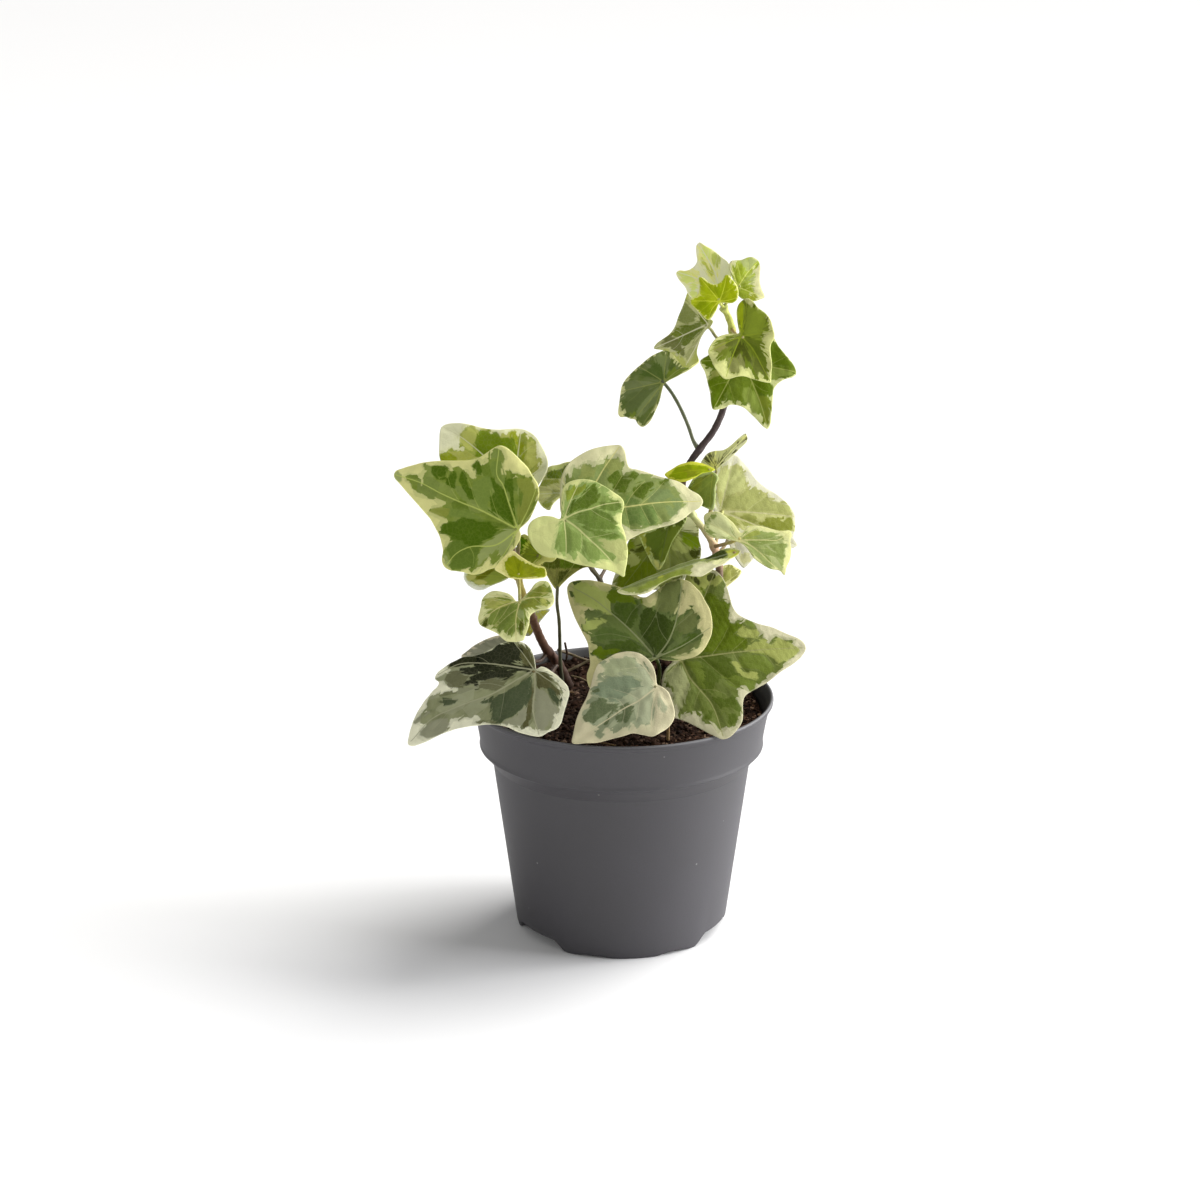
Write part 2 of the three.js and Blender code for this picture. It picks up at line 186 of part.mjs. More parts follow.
    edge: [[18.98,-0.54],[16.83,3.09],[10.02,8.04],[10.29,11.16],[8.83,14.01],[4.71,15.05],[0.52,13.51],[-3.11,8.47],[-5.94,6.29],[-7.48,3.24],[-6.03,0.37],[-1.01,-0.91],[0.44,-3.78],[3.91,-4.86],[7.83,-3.2],[12.05,-2.38],[15.94,-2.45]],
    stalk: [[0.44,0.67,0],[-0.61,-8.02,6.63],[-1.56,-10.37,14.28],[-4.46,-11.35,26.44]], stalkR: 0.55 },
  { name: 'back_leaf_left', at: [-36.4,20.73,120.2], turn: [1.5016,-0.1445,2.6702], reach: 15.8, dome: 0.16, fold: 0.08,
    hub: [5.67,-6.6],
    edge: [[5.3,9.39],[1.66,8.33],[-0.61,5.27],[-0.93,-0.87],[-3.21,-1.05],[-4.77,-4],[-4.44,-7.98],[-1.99,-10.78],[1.25,-11.77],[4.24,-13.5],[7.74,-12.9],[10.95,-10.39],[13.35,-6.92],[15.91,-0.78],[15.04,2.87],[11.46,4.88],[8.57,7.75]],
    stalk: [[0.52,-0.61,0],[-4.17,2.89,7.03],[-9.17,3.2,21.63],[-12.92,3.41,29.63]], stalkR: 0.5 },
];

const wasm = await Module();
wasm.setup();

const COLOURS = { pot: 0x4a4a4c, soil: 0x2a1d16, stem: 0x5a4236, leaf: 0x6f8f4a };

function toManifold(geometry) {
  const g = geometry.index ? geometry.toNonIndexed() : geometry.clone();
  g.deleteAttribute('normal');
  g.deleteAttribute('uv');
  const m = mergeVertices(g, 1e-4);
  const body = new wasm.Manifold(new wasm.Mesh({
    numProp: 3,
    vertProperties: new Float32Array(m.attributes.position.array),
    triVerts: new Uint32Array(m.index.array),
  }));
  return body;
}

function toGeometry(body) {
  const mesh = body.getMesh();
  const g = new THREE.BufferGeometry();
  const n = mesh.numProp;
  const pos = new Float32Array((mesh.vertProperties.length / n) * 3);
  for (let i = 0; i < pos.length / 3; i++) {
    for (let k = 0; k < 3; k++) pos[i * 3 + k] = mesh.vertProperties[i * n + k];
  }
  g.setAttribute('position', new THREE.BufferAttribute(pos, 3));
  g.setIndex(new THREE.BufferAttribute(new Uint32Array(mesh.triVerts), 1));
  g.computeVertexNormals();
  return g;
}

function fromLists(points, faces) {
  const g = new THREE.BufferGeometry();
  g.setAttribute('position', new THREE.Float32BufferAttribute(points.flat(), 3));
  g.setIndex(faces.flat());
  g.computeVertexNormals();
  return g;
}

// A solid of revolution about Z from a closed list of [radius, height].
function turned(profile, sides) {
  const pts = profile.map(([r, z]) => new THREE.Vector2(r, z));
  const g = new THREE.LatheGeometry(pts, sides);
  g.rotateX(Math.PI / 2);
  return toManifold(g);
}

// A round tube along a curve through [x, y, z, r] points, closed at both ends. It is extruded
// at the first radius, then drawn in or out about its axis where the radius changes.
function tube(points, sides, steps) {
  const axis = new THREE.CatmullRomCurve3(points.map((p) => new THREE.Vector3(p[0], p[1], p[2])), false, 'centripetal');
  const radii = points.map((p) => p[3]);
  const r0 = radii[0];
  const section = new THREE.Shape();
  for (let s = 0; s < sides; s++) {
    const a = (2 * Math.PI * s) / sides;
    if (s === 0) section.moveTo(r0, 0); else section.lineTo(r0 * Math.cos(a), r0 * Math.sin(a));
  }
  const g = new THREE.ExtrudeGeometry(section, { steps, bevelEnabled: false, extrudePath: axis });
  if (radii.some((r) => Math.abs(r - r0) > 1e-6)) {
    const centres = axis.getSpacedPoints(steps);
    const p = g.attributes.position;
    const v = new THREE.Vector3();
    for (let i = 0; i < p.count; i++) {
      v.fromBufferAttribute(p, i);
      let best = 0;
      for (let k = 1; k < centres.length; k++) {
        if (centres[k].distanceToSquared(v) < centres[best].distanceToSquared(v)) best = k;
      }
      const u = axis.getUtoTmapping(best / steps) * (points.length - 1);
      const k = Math.min(points.length - 2, Math.floor(u));
      const r = radii[k] + (radii[k + 1] - radii[k]) * (u - k);
      v.sub(centres[best]).multiplyScalar(r / r0).add(centres[best]);
      p.setXYZ(i, v.x, v.y, v.z);
    }
  }
  return closed(g);
}

// Merges the shared corners, so that neighbouring faces share their edges.
function closed(g) {
  const c = g.clone();
  c.deleteAttribute('normal');
  c.deleteAttribute('uv');
  const m = mergeVertices(c, 1e-4);
  m.computeVertexNormals();
  return outward(m);
}

// Turns the faces over when a closed body came out inside out.
function outward(g) {
  const p = g.attributes.position, ix = g.index.array;
  let v6 = 0;
  const a = new THREE.Vector3(), b = new THREE.Vector3(), c = new THREE.Vector3();
  for (let i = 0; i < ix.length; i += 3) {
    a.fromBufferAttribute(p, ix[i]); b.fromBufferAttribute(p, ix[i + 1]); c.fromBufferAttribute(p, ix[i + 2]);
    v6 += a.dot(b.clone().cross(c));
  }
  if (v6 < 0) {
    for (let i = 0; i < ix.length; i += 3) { const t = ix[i + 1]; ix[i + 1] = ix[i + 2]; ix[i + 2] = t; }
  }
  return g;
}

function blade(leaf) {
  const w = (x, y) => -leaf.dome * (x * x + y * y) / leaf.reach + leaf.fold * (Math.sqrt(y * y + 1) - 1);
  const n = leaf.edge.length;
  const [hx, hy] = leaf.hub;
  const plan = [[hx, hy]];
  for (const [x, y] of leaf.edge) plan.push([hx + (x - hx) * INNER_RING, hy + (y - hy) * INNER_RING]);
  for (const [x, y] of leaf.edge) plan.push([x, y]);
  const m = plan.length;
  const verts = [
    ...plan.map(([x, y]) => [x, y, w(x, y) + BLADE_T / 2]),
    ...plan.map(([x, y]) => [x, y, w(x, y) - BLADE_T / 2]),
  ];
  const faces = [];
  for (let i = 0; i < n; i++) {
    const j = (i + 1) % n;
    const a = 1 + i, b = 1 + j, c = 1 + n + i, d = 1 + n + j;
    faces.push([0, a, b], [a, c, d], [a, d, b]);
    faces.push([m, m + b, m + a], [m + a, m + d, m + c], [m + a, m + b, m + d]);
    faces.push([c, m + c, m + d], [c, m + d, d]);
  }
  return outward(fromLists(verts, faces));
}

function leafMesh(leaf) {
  const stalk = tube(leaf.stalk.map((p) => [...p, leaf.stalkR]), STALK_SIDES, STALK_STEPS);
  const body = toManifold(blade(leaf)).add(toManifold(stalk));
  const mesh = new THREE.Mesh(toGeometry(body), new THREE.MeshStandardMaterial({ color: COLOURS.leaf, roughness: 0.6 }));
  mesh.name = leaf.name;
  mesh.position.set(...leaf.at);
  mesh.rotation.set(...leaf.turn, 'XYZ');
  return mesh;
}

// A sector of a ring, as a solid, about the given angle from the front.
function sector(angle, spread, r0, r1, z0, z1) {
  const steps = 8;
  const shape = new THREE.Shape();
  const at = (deg, r) => {
    const a = THREE.MathUtils.degToRad(deg - 90);
    return [r * Math.cos(a), r * Math.sin(a)];
  };
  shape.moveTo(...at(angle - spread / 2, r0));
  for (let i = 0; i <= steps; i++) shape.lineTo(...at(angle - spread / 2 + (spread * i) / steps, r1));
  for (let i = steps; i > 0; i--) shape.lineTo(...at(angle - spread / 2 + (spread * i) / steps, r0));
  const g = new THREE.ExtrudeGeometry(shape, { depth: z1 - z0, bevelEnabled: false });
  g.translate(0, 0, z0);
  return toManifold(g);
}

function drill(angle, r, hole, z0, z1) {
  const a = THREE.MathUtils.degToRad(angle - 90);
  const g = new THREE.CylinderGeometry(hole, hole, z1 - z0, 20);
  g.rotateX(Math.PI / 2);
  g.translate(r * Math.cos(a), r * Math.sin(a), (z0 + z1) / 2);
  return toManifold(g);
}

const OUTSIDE = [
  [0, 0], [POT_BASE_R, 0], [POT_BASE_R + 0.5, 1.2], POT_SHOULDER, [39.6, 54.0], [41.6, 56.6], POT_BAND,
  [42.6, 60.8], [43.4, 65.5], [44.2, 69.0], [45.0, 70.6], [POT_RIM_R, 71.6], [45.2, POT_HEIGHT],
  [POT_RIM_R - POT_WALL, POT_HEIGHT], [0, POT_HEIGHT],
];
// Inside surface, from the floor up.
const INSIDE = [
  [0, POT_FLOOR], [POT_BASE_R + 0.5 - POT_WALL, POT_FLOOR],
  [POT_SHOULDER[0] - POT_WALL, POT_SHOULDER[1] + 0.3], [39.6 - POT_WALL, 54.4], [41.6 - POT_WALL, 57.1],
  [POT_BAND[0] - POT_WALL, 58.3], [42.6 - POT_WALL, 61], [43.4 - POT_WALL, 65.7], [44.2 - POT_WALL, 69.2],
  [44.0, 70.8], [44.4, 71.8], [44.4, POT_HEIGHT + 1], [0, POT_HEIGHT + 1],
];

function potMesh() {
  let cavity = turned(INSIDE, POT_FACETS);
  let body = turned(OUTSIDE, POT_FACETS);
  for (const a of DRAIN_ANGLES) {
    cavity = cavity.subtract(sector(a, DRAIN_SPREAD + 4, DRAIN_INNER_R - 1.2, 40, 0, DRAIN_RISE + POT_FLOOR));
  }
  body = body.subtract(cavity);
  for (const a of DRAIN_ANGLES) {
    body = body.subtract(sector(a, DRAIN_SPREAD, DRAIN_INNER_R, 40, -1, DRAIN_RISE));
    body = body.subtract(drill(a, 27.6, DRAIN_HOLE_R, -1, DRAIN_RISE + POT_FLOOR + 1));
  }
  const mesh = new THREE.Mesh(toGeometry(body), new THREE.MeshStandardMaterial({ color: COLOURS.pot, roughness: 0.55 }));
  mesh.name = 'pot';
  return mesh;
}

// The soil fills the pot to a little below the lip, with a gently uneven top.
function soilTop(x, y) {
  const r = Math.hypot(x, y);
  const k = Math.max(0, 1 - (r / 38) ** 2);
  return SOIL_TOP + SOIL_MOUND * k + 0.18 * Math.sin(x * 0.31 + 0.7) * Math.cos(y * 0.27 - 0.4);
}

function soilMesh() {
  const g = SOIL_GAP;
  const side = [
    [POT_BASE_R + 0.5 - POT_WALL - g, POT_FLOOR + g],
    [POT_SHOULDER[0] - POT_WALL - g, POT_SHOULDER[1] + 0.5],
    [39.6 - POT_WALL - g, 54.7], [41.6 - POT_WALL - g, 57.4], [POT_BAND[0] - POT_WALL - g, 58.7],
    [42.6 - POT_WALL - g, 61.2], [43.2 - POT_WALL - g, 65.3],
  ];
  const n = SOIL_SIDES;
  const verts = [[0, 0, POT_FLOOR + g]];
  const rings = [];
  const ring = (r, z) => {
    const start = verts.length;
    for (let i = 0; i < n; i++) {
      const a = (2 * Math.PI * i) / n;
      const x = r * Math.cos(a), y = r * Math.sin(a);
      verts.push([x, y, z === null ? soilTop(x, y) : z]);
    }
    rings.push(start);
  };
  for (const [r, z] of side) ring(r, z);
  for (const r of [...SOIL_RINGS].reverse()) ring(r, null);
  const top = verts.push([0, 0, soilTop(0, 0)]) - 1;
  const faces = [];
  for (let i = 0; i < n; i++) {
    const j = (i + 1) % n;
    faces.push([0, rings[0] + j, rings[0] + i]);
    for (let k = 0; k + 1 < rings.length; k++) {
      const a = rings[k] + i, b = rings[k] + j, c = rings[k + 1] + i, d = rings[k + 1] + j;
      faces.push([a, b, d], [a, d, c]);
    }
    faces.push([rings.at(-1) + i, rings.at(-1) + j, top]);
  }
  let body = toManifold(outward(fromLists(verts, faces)));
  for (const a of DRAIN_ANGLES) {
    body = body.subtract(sector(a, DRAIN_SPREAD + 7, DRAIN_INNER_R - 1.2 - g, 40, -1, DRAIN_RISE + POT_FLOOR + g));
  }
  const mesh = new THREE.Mesh(toGeometry(body), new THREE.MeshStandardMaterial({ color: COLOURS.soil, roughness: 1 }));
  mesh.name = 'soil';
  return mesh;
}

const part = new THREE.Group();
part.name = 'potted_ivy';
part.add(potMesh());
part.add(soilMesh());
for (const [name, points] of Object.entries(STEMS)) {
  const steps = Math.max(4, Math.min(36, Math.round(points.length * 1.8)));
  const mesh = new THREE.Mesh(tube(points, STEM_SIDES, steps), new THREE.MeshStandardMaterial({ color: COLOURS.stem, roughness: 0.8 }));
  mesh.name = name;
  part.add(mesh);
}
for (const leaf of LEAVES) part.add(leafMesh(leaf));

export default part;
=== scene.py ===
import math
import random

import bpy
import numpy as np
from mathutils import Euler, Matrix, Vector
from mathutils.geometry import delaunay_2d_cdt


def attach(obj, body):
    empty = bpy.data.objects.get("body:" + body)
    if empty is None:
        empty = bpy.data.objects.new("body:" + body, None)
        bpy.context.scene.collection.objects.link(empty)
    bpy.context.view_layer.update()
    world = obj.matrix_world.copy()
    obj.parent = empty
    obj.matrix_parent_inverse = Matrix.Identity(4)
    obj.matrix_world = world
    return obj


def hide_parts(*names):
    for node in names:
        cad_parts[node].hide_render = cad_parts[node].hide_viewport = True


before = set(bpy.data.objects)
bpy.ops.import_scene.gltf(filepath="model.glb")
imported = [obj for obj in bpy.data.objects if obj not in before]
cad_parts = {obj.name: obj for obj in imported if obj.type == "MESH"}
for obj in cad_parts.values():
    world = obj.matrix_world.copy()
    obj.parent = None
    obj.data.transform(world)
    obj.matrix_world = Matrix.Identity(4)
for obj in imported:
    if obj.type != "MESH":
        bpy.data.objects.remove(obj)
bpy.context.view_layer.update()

MM = 0.001
SCENE = bpy.context.scene

# ---------------------------------------------------------------- tables
# Each leaf: where its stalk meets the blade (mm), its turn, the dome and fold
# of the blade, its outline, veins and coloured areas in the blade's own
# millimetres, and its colours (sRGB, 0 to 255). The colours were matched to
# the leaves as they were lit, so they carry painted light and shade: leaves
# that get too little lamp light are painted paler, up to 239, greyish tones
# carry a painted sheen, and some parts are painted darker as shade.
LEAVES = {
    "crown_leaf_young": {
        "at": (28.35, 10.66, 189.52),
        "rot": (1.1372, 0.0000, 2.2543),
        "reach": 9.38, "dome": 0.1, "fold": 0.1,
        "on": "stem_right", "end": (29.77, 16.96, 186.27),
        "margin": 1,
        "cream": (224, 225, 139),
        "mid": (154, 169, 12),
        "dark": (142, 160, 12),
        "light": (184, 193, 44),
        "vein": (204, 213, 63),
        "XC": (138, 158, 8),
        "stalk": ((186, 190, 90), (170, 175, 80)), "stalk_r": 0.5,
        "stalk_path": [(0.77, -0.21, 0.00), (-0.33, -0.24, -3.03), (-1.13, -0.91, -7.09)],
        "outline": [(-1.84,-1.31),(-2.83,-2.76),(-2.88,-4.22),(-1.56,-5.87),(0.32,-6.85),(2.85,-7.05),(4.64,-7.02),(5.1,-6.46),(4.36,-4.52),(4.41,-3.06),(4.93,-1.98),(6.64,-1.14),(8.64,-0.91),(9.52,-0.14),(7.06,1.71),(5.53,3.92),(5.84,5.92),(5.01,6.79),(2.6,6.71),(0.11,6.5),(-1.83,6.21),(-2.38,5.53),(-1.54,2.59),(-0.43,0.17)],
        "veins": [[(0,0),(3.57,-0.12),(9.1,-0.16)], [(0,0),(2.25,-3.54),(4.8,-6.59)], [(0,0),(-0.36,3.12),(-1.99,5.78)], [(0,0),(-1.6,-2.64),(-2.38,-5)], [(0,0),(2.96,3.41),(5.57,6.52)]],
        "sides": [],
        "green": [[(9.76,-0.33),(8.1,-0.84),(6.03,-1.39),(4.21,-2.14),(4.24,-4.43),(4.71,-6.7),(1.74,-6.51),(-1.24,-5.94),(-3.56,-3.66),(-1.03,-0.1),(-0.76,1.19),(-1.5,4.06),(-1.9,5.89),(1.16,6.38),(4.49,6.65),(5.75,6.74),(5.37,4.43),(4.54,2.48),(6.36,1.35),(8.15,0.62)]],
        "darks": [],
        "lights": [],
        "holes": [],
        "patches": [((160, 176, 10), [[(2.85,-5.16),(0.82,-5.75),(-1.79,-4.74),(-2.78,-3.17),(-1.54,-1.18),(-0.05,-3.53)], [(6.73,1.8),(4.68,1.23),(3.28,2.38),(4.39,3.73)]]),
            ((134, 153, 4), [[(3.56,3.66),(1.02,1.98),(-1.04,3.68),(-1.45,5.52),(0.34,6.31),(3.66,6.59)], [(5.33,-0.82),(3.74,-1.76),(3.55,-3.85),(1.33,-2.79),(0.25,-0.39),(3.39,-0.34)]])]},
    "crown_leaf_right": {
        "at": (33.90, 15.88, 192.64),
        "rot": (1.0592, 0.2404, 0.9351),
        "reach": 10.50, "dome": 0.1, "fold": 0.08,
        "on": "stem_right", "end": (29.77, 16.96, 186.27),
        "margin": 1,
        "cream": (199, 197, 146),
        "mid": (148, 163, 50),
        "dark": (130, 145, 24),
        "light": (165, 176, 114),
        "vein": (200, 205, 108),
        "XC": (204, 204, 144),
        "stalk": ((190, 195, 120), (175, 180, 90)), "stalk_r": 0.5,
        "stalk_path": [(0.71, -0.36, 0.00), (-1.23, -0.26, -3.51), (-5.85, -0.54, -4.93)],
        "outline": [(-1.97,-1.42),(-2.18,-3.06),(-1.37,-4.72),(-0.42,-6.29),(1.29,-7.33),(2.94,-8.06),(4.06,-6.11),(5.68,-4.23),(7.78,-2.81),(9.93,-1.4),(11,0.03),(10.61,2.06),(9.38,3.15),(7.77,3.96),(6.38,5.27),(5.09,6.25),(3.4,5.83),(1.78,3.94),(0.56,2.11),(-0.2,0.23)],
        "veins": [[(0,0),(5.81,0.34),(10.1,-0.17)], [(0,0),(1.11,-3.67),(2.31,-7.35)], [(0,0),(2.14,3.07),(4.58,5.9)]],
        "sides": [],
        "green": [[(5.86,4.91),(7.69,4.28),(10.17,2.53),(10.59,-0.23),(7.91,-0.12),(7.27,-1.29),(3.38,-2.07),(2.51,-3.42),(0.32,-4.61),(1.53,-6.01),(0.06,-7.08),(-1.49,-4.81),(-2.61,-3.01),(-2.4,-1.37),(-0.25,-0.18),(0.33,1),(1.69,3.12),(3.7,4.55)]],
        "darks": [],
        "lights": [],
        "holes": [],
        "patches": [((150, 159, 99), [[(7.43,4.11),(9.9,2.35),(10.65,0.18),(8.12,-0.35),(5.6,0.57),(6.5,2.34)], [(4.21,-1.13),(6,-1.76),(4.65,-3.06),(3.32,-2.48)]]),
            ((133, 148, 35), [[(5.13,4.79),(6.64,3.57),(5.47,1.63),(3.04,0.67),(0.53,0.77),(1.69,3.12),(3.19,4.19)], [(-0.74,-0.53),(2.07,-1.5),(3.27,-2.89),(1.11,-3.67),(-1.55,-3.35),(-2.21,-1.6)]]),
            ((134, 141, 32), [[(-0.28,-3.92),(1.41,-4.95),(1.24,-6.6),(-0.1,-6.43),(-0.86,-5.09)]])]},
    "crown_leaf_back": {
        "at": (28.78, 19.44, 190.64),
        "rot": (1.1077, -0.1953, 1.9705),
        "reach": 16.09, "dome": 0.06, "fold": 0.06,
        "on": "stem_right", "end": (29.77, 16.96, 186.27),
        "margin": 1,
        # painted light: every tone raised to the 239 cap to make up for the blade facing away from the lamps
        "cream": (239, 239, 196),
        "mid": (239, 239, 152),
        "dark": (239, 239, 113),
        "light": (239, 239, 165),
        "vein": (239, 239, 213),
        "XC": (172, 191, 106),
        "stalk": ((200, 200, 130), (180, 180, 90)), "stalk_r": 0.5,
        "stalk_path": [(0.69, 0.41, 0.00), (-0.65, 0.97, -2.08), (-5.02, 1.01, 0.06)],
        "outline": [(0.85,-1.67),(2.14,-4.49),(4.23,-5.71),(6.99,-5.58),(9.41,-4.49),(12.26,-3.23),(14.5,-1.55),(16.39,-0.2),(15.78,1.02),(13.18,2.07),(11.11,2.75),(10.05,4.8),(10.12,6.71),(11.19,8.54),(10.74,9.7),(8.36,9.71),(5.59,8.92),(3.25,8.93),(0.8,8.03),(-1.03,5.58),(-1.46,2.55),(-1.08,-0.18)],
        "veins": [[(0,0),(6.62,-0.87),(11.65,-0.37),(16.03,0.11)], [(0,0),(5.61,4.06),(10.75,9.05)], [(0,0),(0.5,4.61),(1.34,8.45)]],
        "sides": [],
        "green": [[(16.58,0.53),(15.06,-1.12),(12.53,-2.69),(10.02,-3.6),(8.06,-3.43),(6.65,-2.19),(3.57,-0.23),(3.52,1.08),(7.67,1.28),(10.59,1.68),(13.72,1.05)], [(11.17,9.2),(10.02,5.46),(7.85,3.78),(4.62,4.8),(5.78,7.22),(7.68,9.02)]],
        "darks": [],
        "lights": [],
        "holes": [],
        "patches": [((224, 235, 128), [[(10.75,9.05),(9.69,6.89),(7.78,5.74),(5.54,6.03),(6.04,7.76),(7.96,8.9)], [(14.77,-1.01),(12.81,-2.16),(11.24,-1.18),(9.68,-0.2),(11.76,0.55),(14.03,0.27)], [(5.52,6.68),(4.59,5.45),(2.08,6.51),(1.49,8.06),(3.95,8.31)]]),
            ((189, 200, 91), [[(12.38,-2.31),(11.14,-3.42),(8.9,-3.79),(7.35,-2.81),(7.05,-1.38),(9.14,-1.28),(11.1,-1.45)]]),
            ((196, 204, 75), [[(12.7,1.78),(11.47,0.67),(9.11,0.03),(7.02,-0.07),(5.36,-0.01),(5.87,1.06),(8.49,1.58),(10.15,2.18)]])]},
    "upper_leaf_hanging": {
        "at": (25.39, 20.35, 180.52),
        "rot": (1.2067, -0.4224, -2.7936),
        "reach": 18.48, "dome": 0.1, "fold": -0.05,
        "on": "stem_right", "end": (32.68, 19.96, 173.23),
        "margin": 1,
        "cream": (174, 180, 93),
        "mid": (179, 182, 124),
        "dark": (135, 140, 77),
        "light": (217, 215, 174),
        "vein": (217, 215, 178),
        "XC": (110, 120, 72),
        "stalk": ((150, 150, 100), (130, 120, 70)), "stalk_r": 0.55,
        "stalk_path": [(0.80, 0.02, 0.00), (0.57, 1.18, -2.65), (0.14, 3.92, -4.04), (-3.02, 8.49, -5.02)],
        "outline": [(4.28,-10.69),(5.91,-8.78),(7.91,-6.38),(10.2,-3.79),(12.86,-2.37),(15.48,-1.75),(17.87,-1.36),(19.2,-0.55),(17.08,0.94),(14.9,2.38),(13.66,4.19),(13.08,6.19),(12.37,8.25),(10.76,9.09),(8.6,9.06),(6.71,8.75),(6.42,6.5),(5.07,4.54),(3.04,2.54),(1.21,1.4),(-0.67,0.92),(-1.76,-0.22),(-0.59,-1.69),(0.84,-4.58),(2.13,-8.09),(3.13,-11.67)],
        "veins": [[(0,0),(8.31,-0.04),(18.46,-0.32)], [(0,0),(5.51,4.35),(11.13,8.3)], [(0,0),(1.94,-5.39),(3.12,-10.51)]],
        "sides": [[(8.31,-0.04),(11.23,1.9),(13.64,2.45)], [(8.31,-0.04),(10.27,-2.52),(12.15,-3.36)], [(5.51,4.35),(7.94,4.27),(10.2,4.57)]],
        "green": [[(5.01,-10.02),(3.43,-8.33),(1.32,-4.13),(-0.1,-1.25),(-0.48,0.52),(1.59,0.61),(3.41,1.75),(4.88,3.67),(6.74,4.78),(8.63,5.88),(10.53,6.97),(11.27,5.38),(12.34,3.65),(13.64,2.45),(14.55,1.09),(16.96,-0.3),(19.21,-0.33),(18.03,-1.43),(14.95,-1.68),(11.82,-2.23),(9.88,-3.66),(8.5,-5.66),(6.65,-8.12)]],
        "darks": [],
        "lights": [],
        "holes": [],
        "patches": [((125, 134, 69), [[(5.01,-10.02),(3.27,-6.62),(2.2,-3.54),(3.98,-2.36),(6.79,-2.29),(8.88,-4.52),(6.83,-7.54)]]),
            ((104, 110, 52), [[(15.05,-1.4),(12.75,-1.67),(10.68,0.54),(9.75,3.5),(9.23,5.63),(11.14,6.71),(12.03,3.79),(13.64,2.45),(14.43,0.82),(18.24,-0.87)]]),
            ((91, 106, 22), [[(8.64,-3.1),(5.57,-1.76),(2.17,-1.58),(1.59,0.61),(4.81,1.79),(7.6,3.46),(10.01,2.43),(11.29,0.27),(9.43,-0.85)]]),
            ((100, 115, 7), [[(11.82,-2.23),(9.98,-3.37),(8.61,-1.14),(9.74,-0.02),(11.5,-1.11)], [(1.41,-3.85),(-0.3,-0.84),(0.79,0.3),(2.17,-1.58)], [(12.8,2.18),(11.19,3.51),(11.65,4.59),(12.64,3.52)]])]},
    "upper_leaf_left": {
        "at": (12.58, 22.36, 162.42),
        "rot": (1.0117, -0.3273, -2.5858),
        "reach": 16.71, "dome": 0.22, "fold": 0,
        "on": "stem_right", "end": (22.82, 11.87, 144.42),
        "margin": 1,
        "cream": (227, 226, 160),
        "mid": (100, 115, 53),
        "dark": (76, 99, 36),
        "light": (141, 149, 106),
        "vein": (147, 155, 85),
        "XC": (82, 106, 52),
        "stalk": ((84, 92, 58), (112, 116, 88)), "stalk_r": 0.62,
        "stalk_path": [(0.30, -0.74, 0.00), (0.05, 2.16, -1.41), (0.12, 5.35, -2.14), (0.73, 10.23, -2.93), (1.75, 15.18, -3.69), (2.81, 19.29, -3.99), (2.94, 22.69, -3.92)],
        "outline": [(-3.94,-9.45),(-0.58,-9.94),(2.68,-9.64),(6.11,-9.53),(9.17,-9.24),(11.37,-8.2),(14.41,-4.99),(17.14,-2.16),(17.03,-0.86),(15.6,0.46),(14.67,2.07),(13.65,3.16),(13.78,4.66),(13.17,6.22),(11.56,6.75),(9.72,6.65),(7.55,5.75),(5.55,4.63),(3.66,3.3),(2.04,1.9),(0.46,0.62),(-1.15,0.49),(-2.17,0.6),(-4.82,1.14),(-7.61,1.44),(-10.37,0.95),(-12.07,0.28),(-11.88,-2.51),(-10.41,-5.99),(-7.63,-8.48)],
        "veins": [[(0,0),(2.02,-5.25),(4.67,-11.46)], [(0,0),(5.42,-2.81),(12.36,-6.61)], [(0,0),(6.5,1.79),(13.99,3.05)], [(0,0),(6.09,4.01),(12.38,5.92)], [(0,0),(-4.59,-0.46),(-11.31,0.29)], [(0,0),(-2.86,-4.18),(-6.01,-8.01)]],
        "sides": [[(5.42,-2.81),(6.73,-6.42),(7.96,-8.4)], [(5.42,-2.81),(9.38,-2.23),(12.47,-2.6)], [(6.5,1.79),(9.21,3.35),(11.76,3.47)]],
        "green": [[(9.23,-8.31),(5.11,-9.22),(1.36,-9.79),(-1.21,-9.75),(-3.36,-9.71),(-5.01,-8.8),(-5.87,-6.42),(-6.22,-3.26),(-6.87,-0.79),(-8.48,1.12),(-5.24,0.79),(-1.56,0.41),(1.08,2.26),(4,3.79),(6.69,5.39),(9.57,6.03),(11.88,6.34),(13.32,5.5),(13.48,3.5),(13.56,1.91),(15.2,1.21),(15.3,-0.43),(14.53,-2.1),(14.64,-3.82),(12.86,-5.83),(10.98,-6.14),(10.41,-7.71)]],
        "darks": [],
        "lights": [],
        "holes": [],
        "patches": [((130, 143, 87), [[(-0.89,-9.15),(-3.7,-8.99),(-5.05,-6.21),(-3.43,-4.55),(-2.63,-1.93),(-0.99,-1.6),(-1.3,-4.59),(-1.58,-7.71)], [(2.73,0.19),(5.66,0.55),(9.03,0.83),(12.1,1.65),(12.11,3.92),(9.12,2.67),(5.49,1.46),(2.32,1.3)]]),
            ((121, 138, 46), [[(-2.63,-1.93),(-5,-1.75),(-6.87,0.39),(-8.48,1.12),(-5.24,0.79),(-1.56,0.41),(-0.82,-0.15)], [(13.73,0.98),(12.1,1.65),(13.48,3.5),(13.91,2.37)]]),
            ((98, 112, 60), [[(11.98,-4.59),(8.71,-3.25),(4.99,-1.65),(2.98,-0.01),(7.17,0.46),(10.9,1.15),(13.82,1.68),(14.01,-1.62)]]),
            ((84, 105, 42), [[(0.39,-6.8),(-2.08,-7.3),(-2.12,-4.76),(-1.48,-1.22),(-0.25,0.19),(1.58,-2.84),(3.34,-4.3),(5.21,-6.33),(2.55,-6.95)]])]},
    "upper_leaf_front": {
        "at": (34.48, 4.63, 180.68),
        "rot": (1.1077, 0.0494, -1.0165),
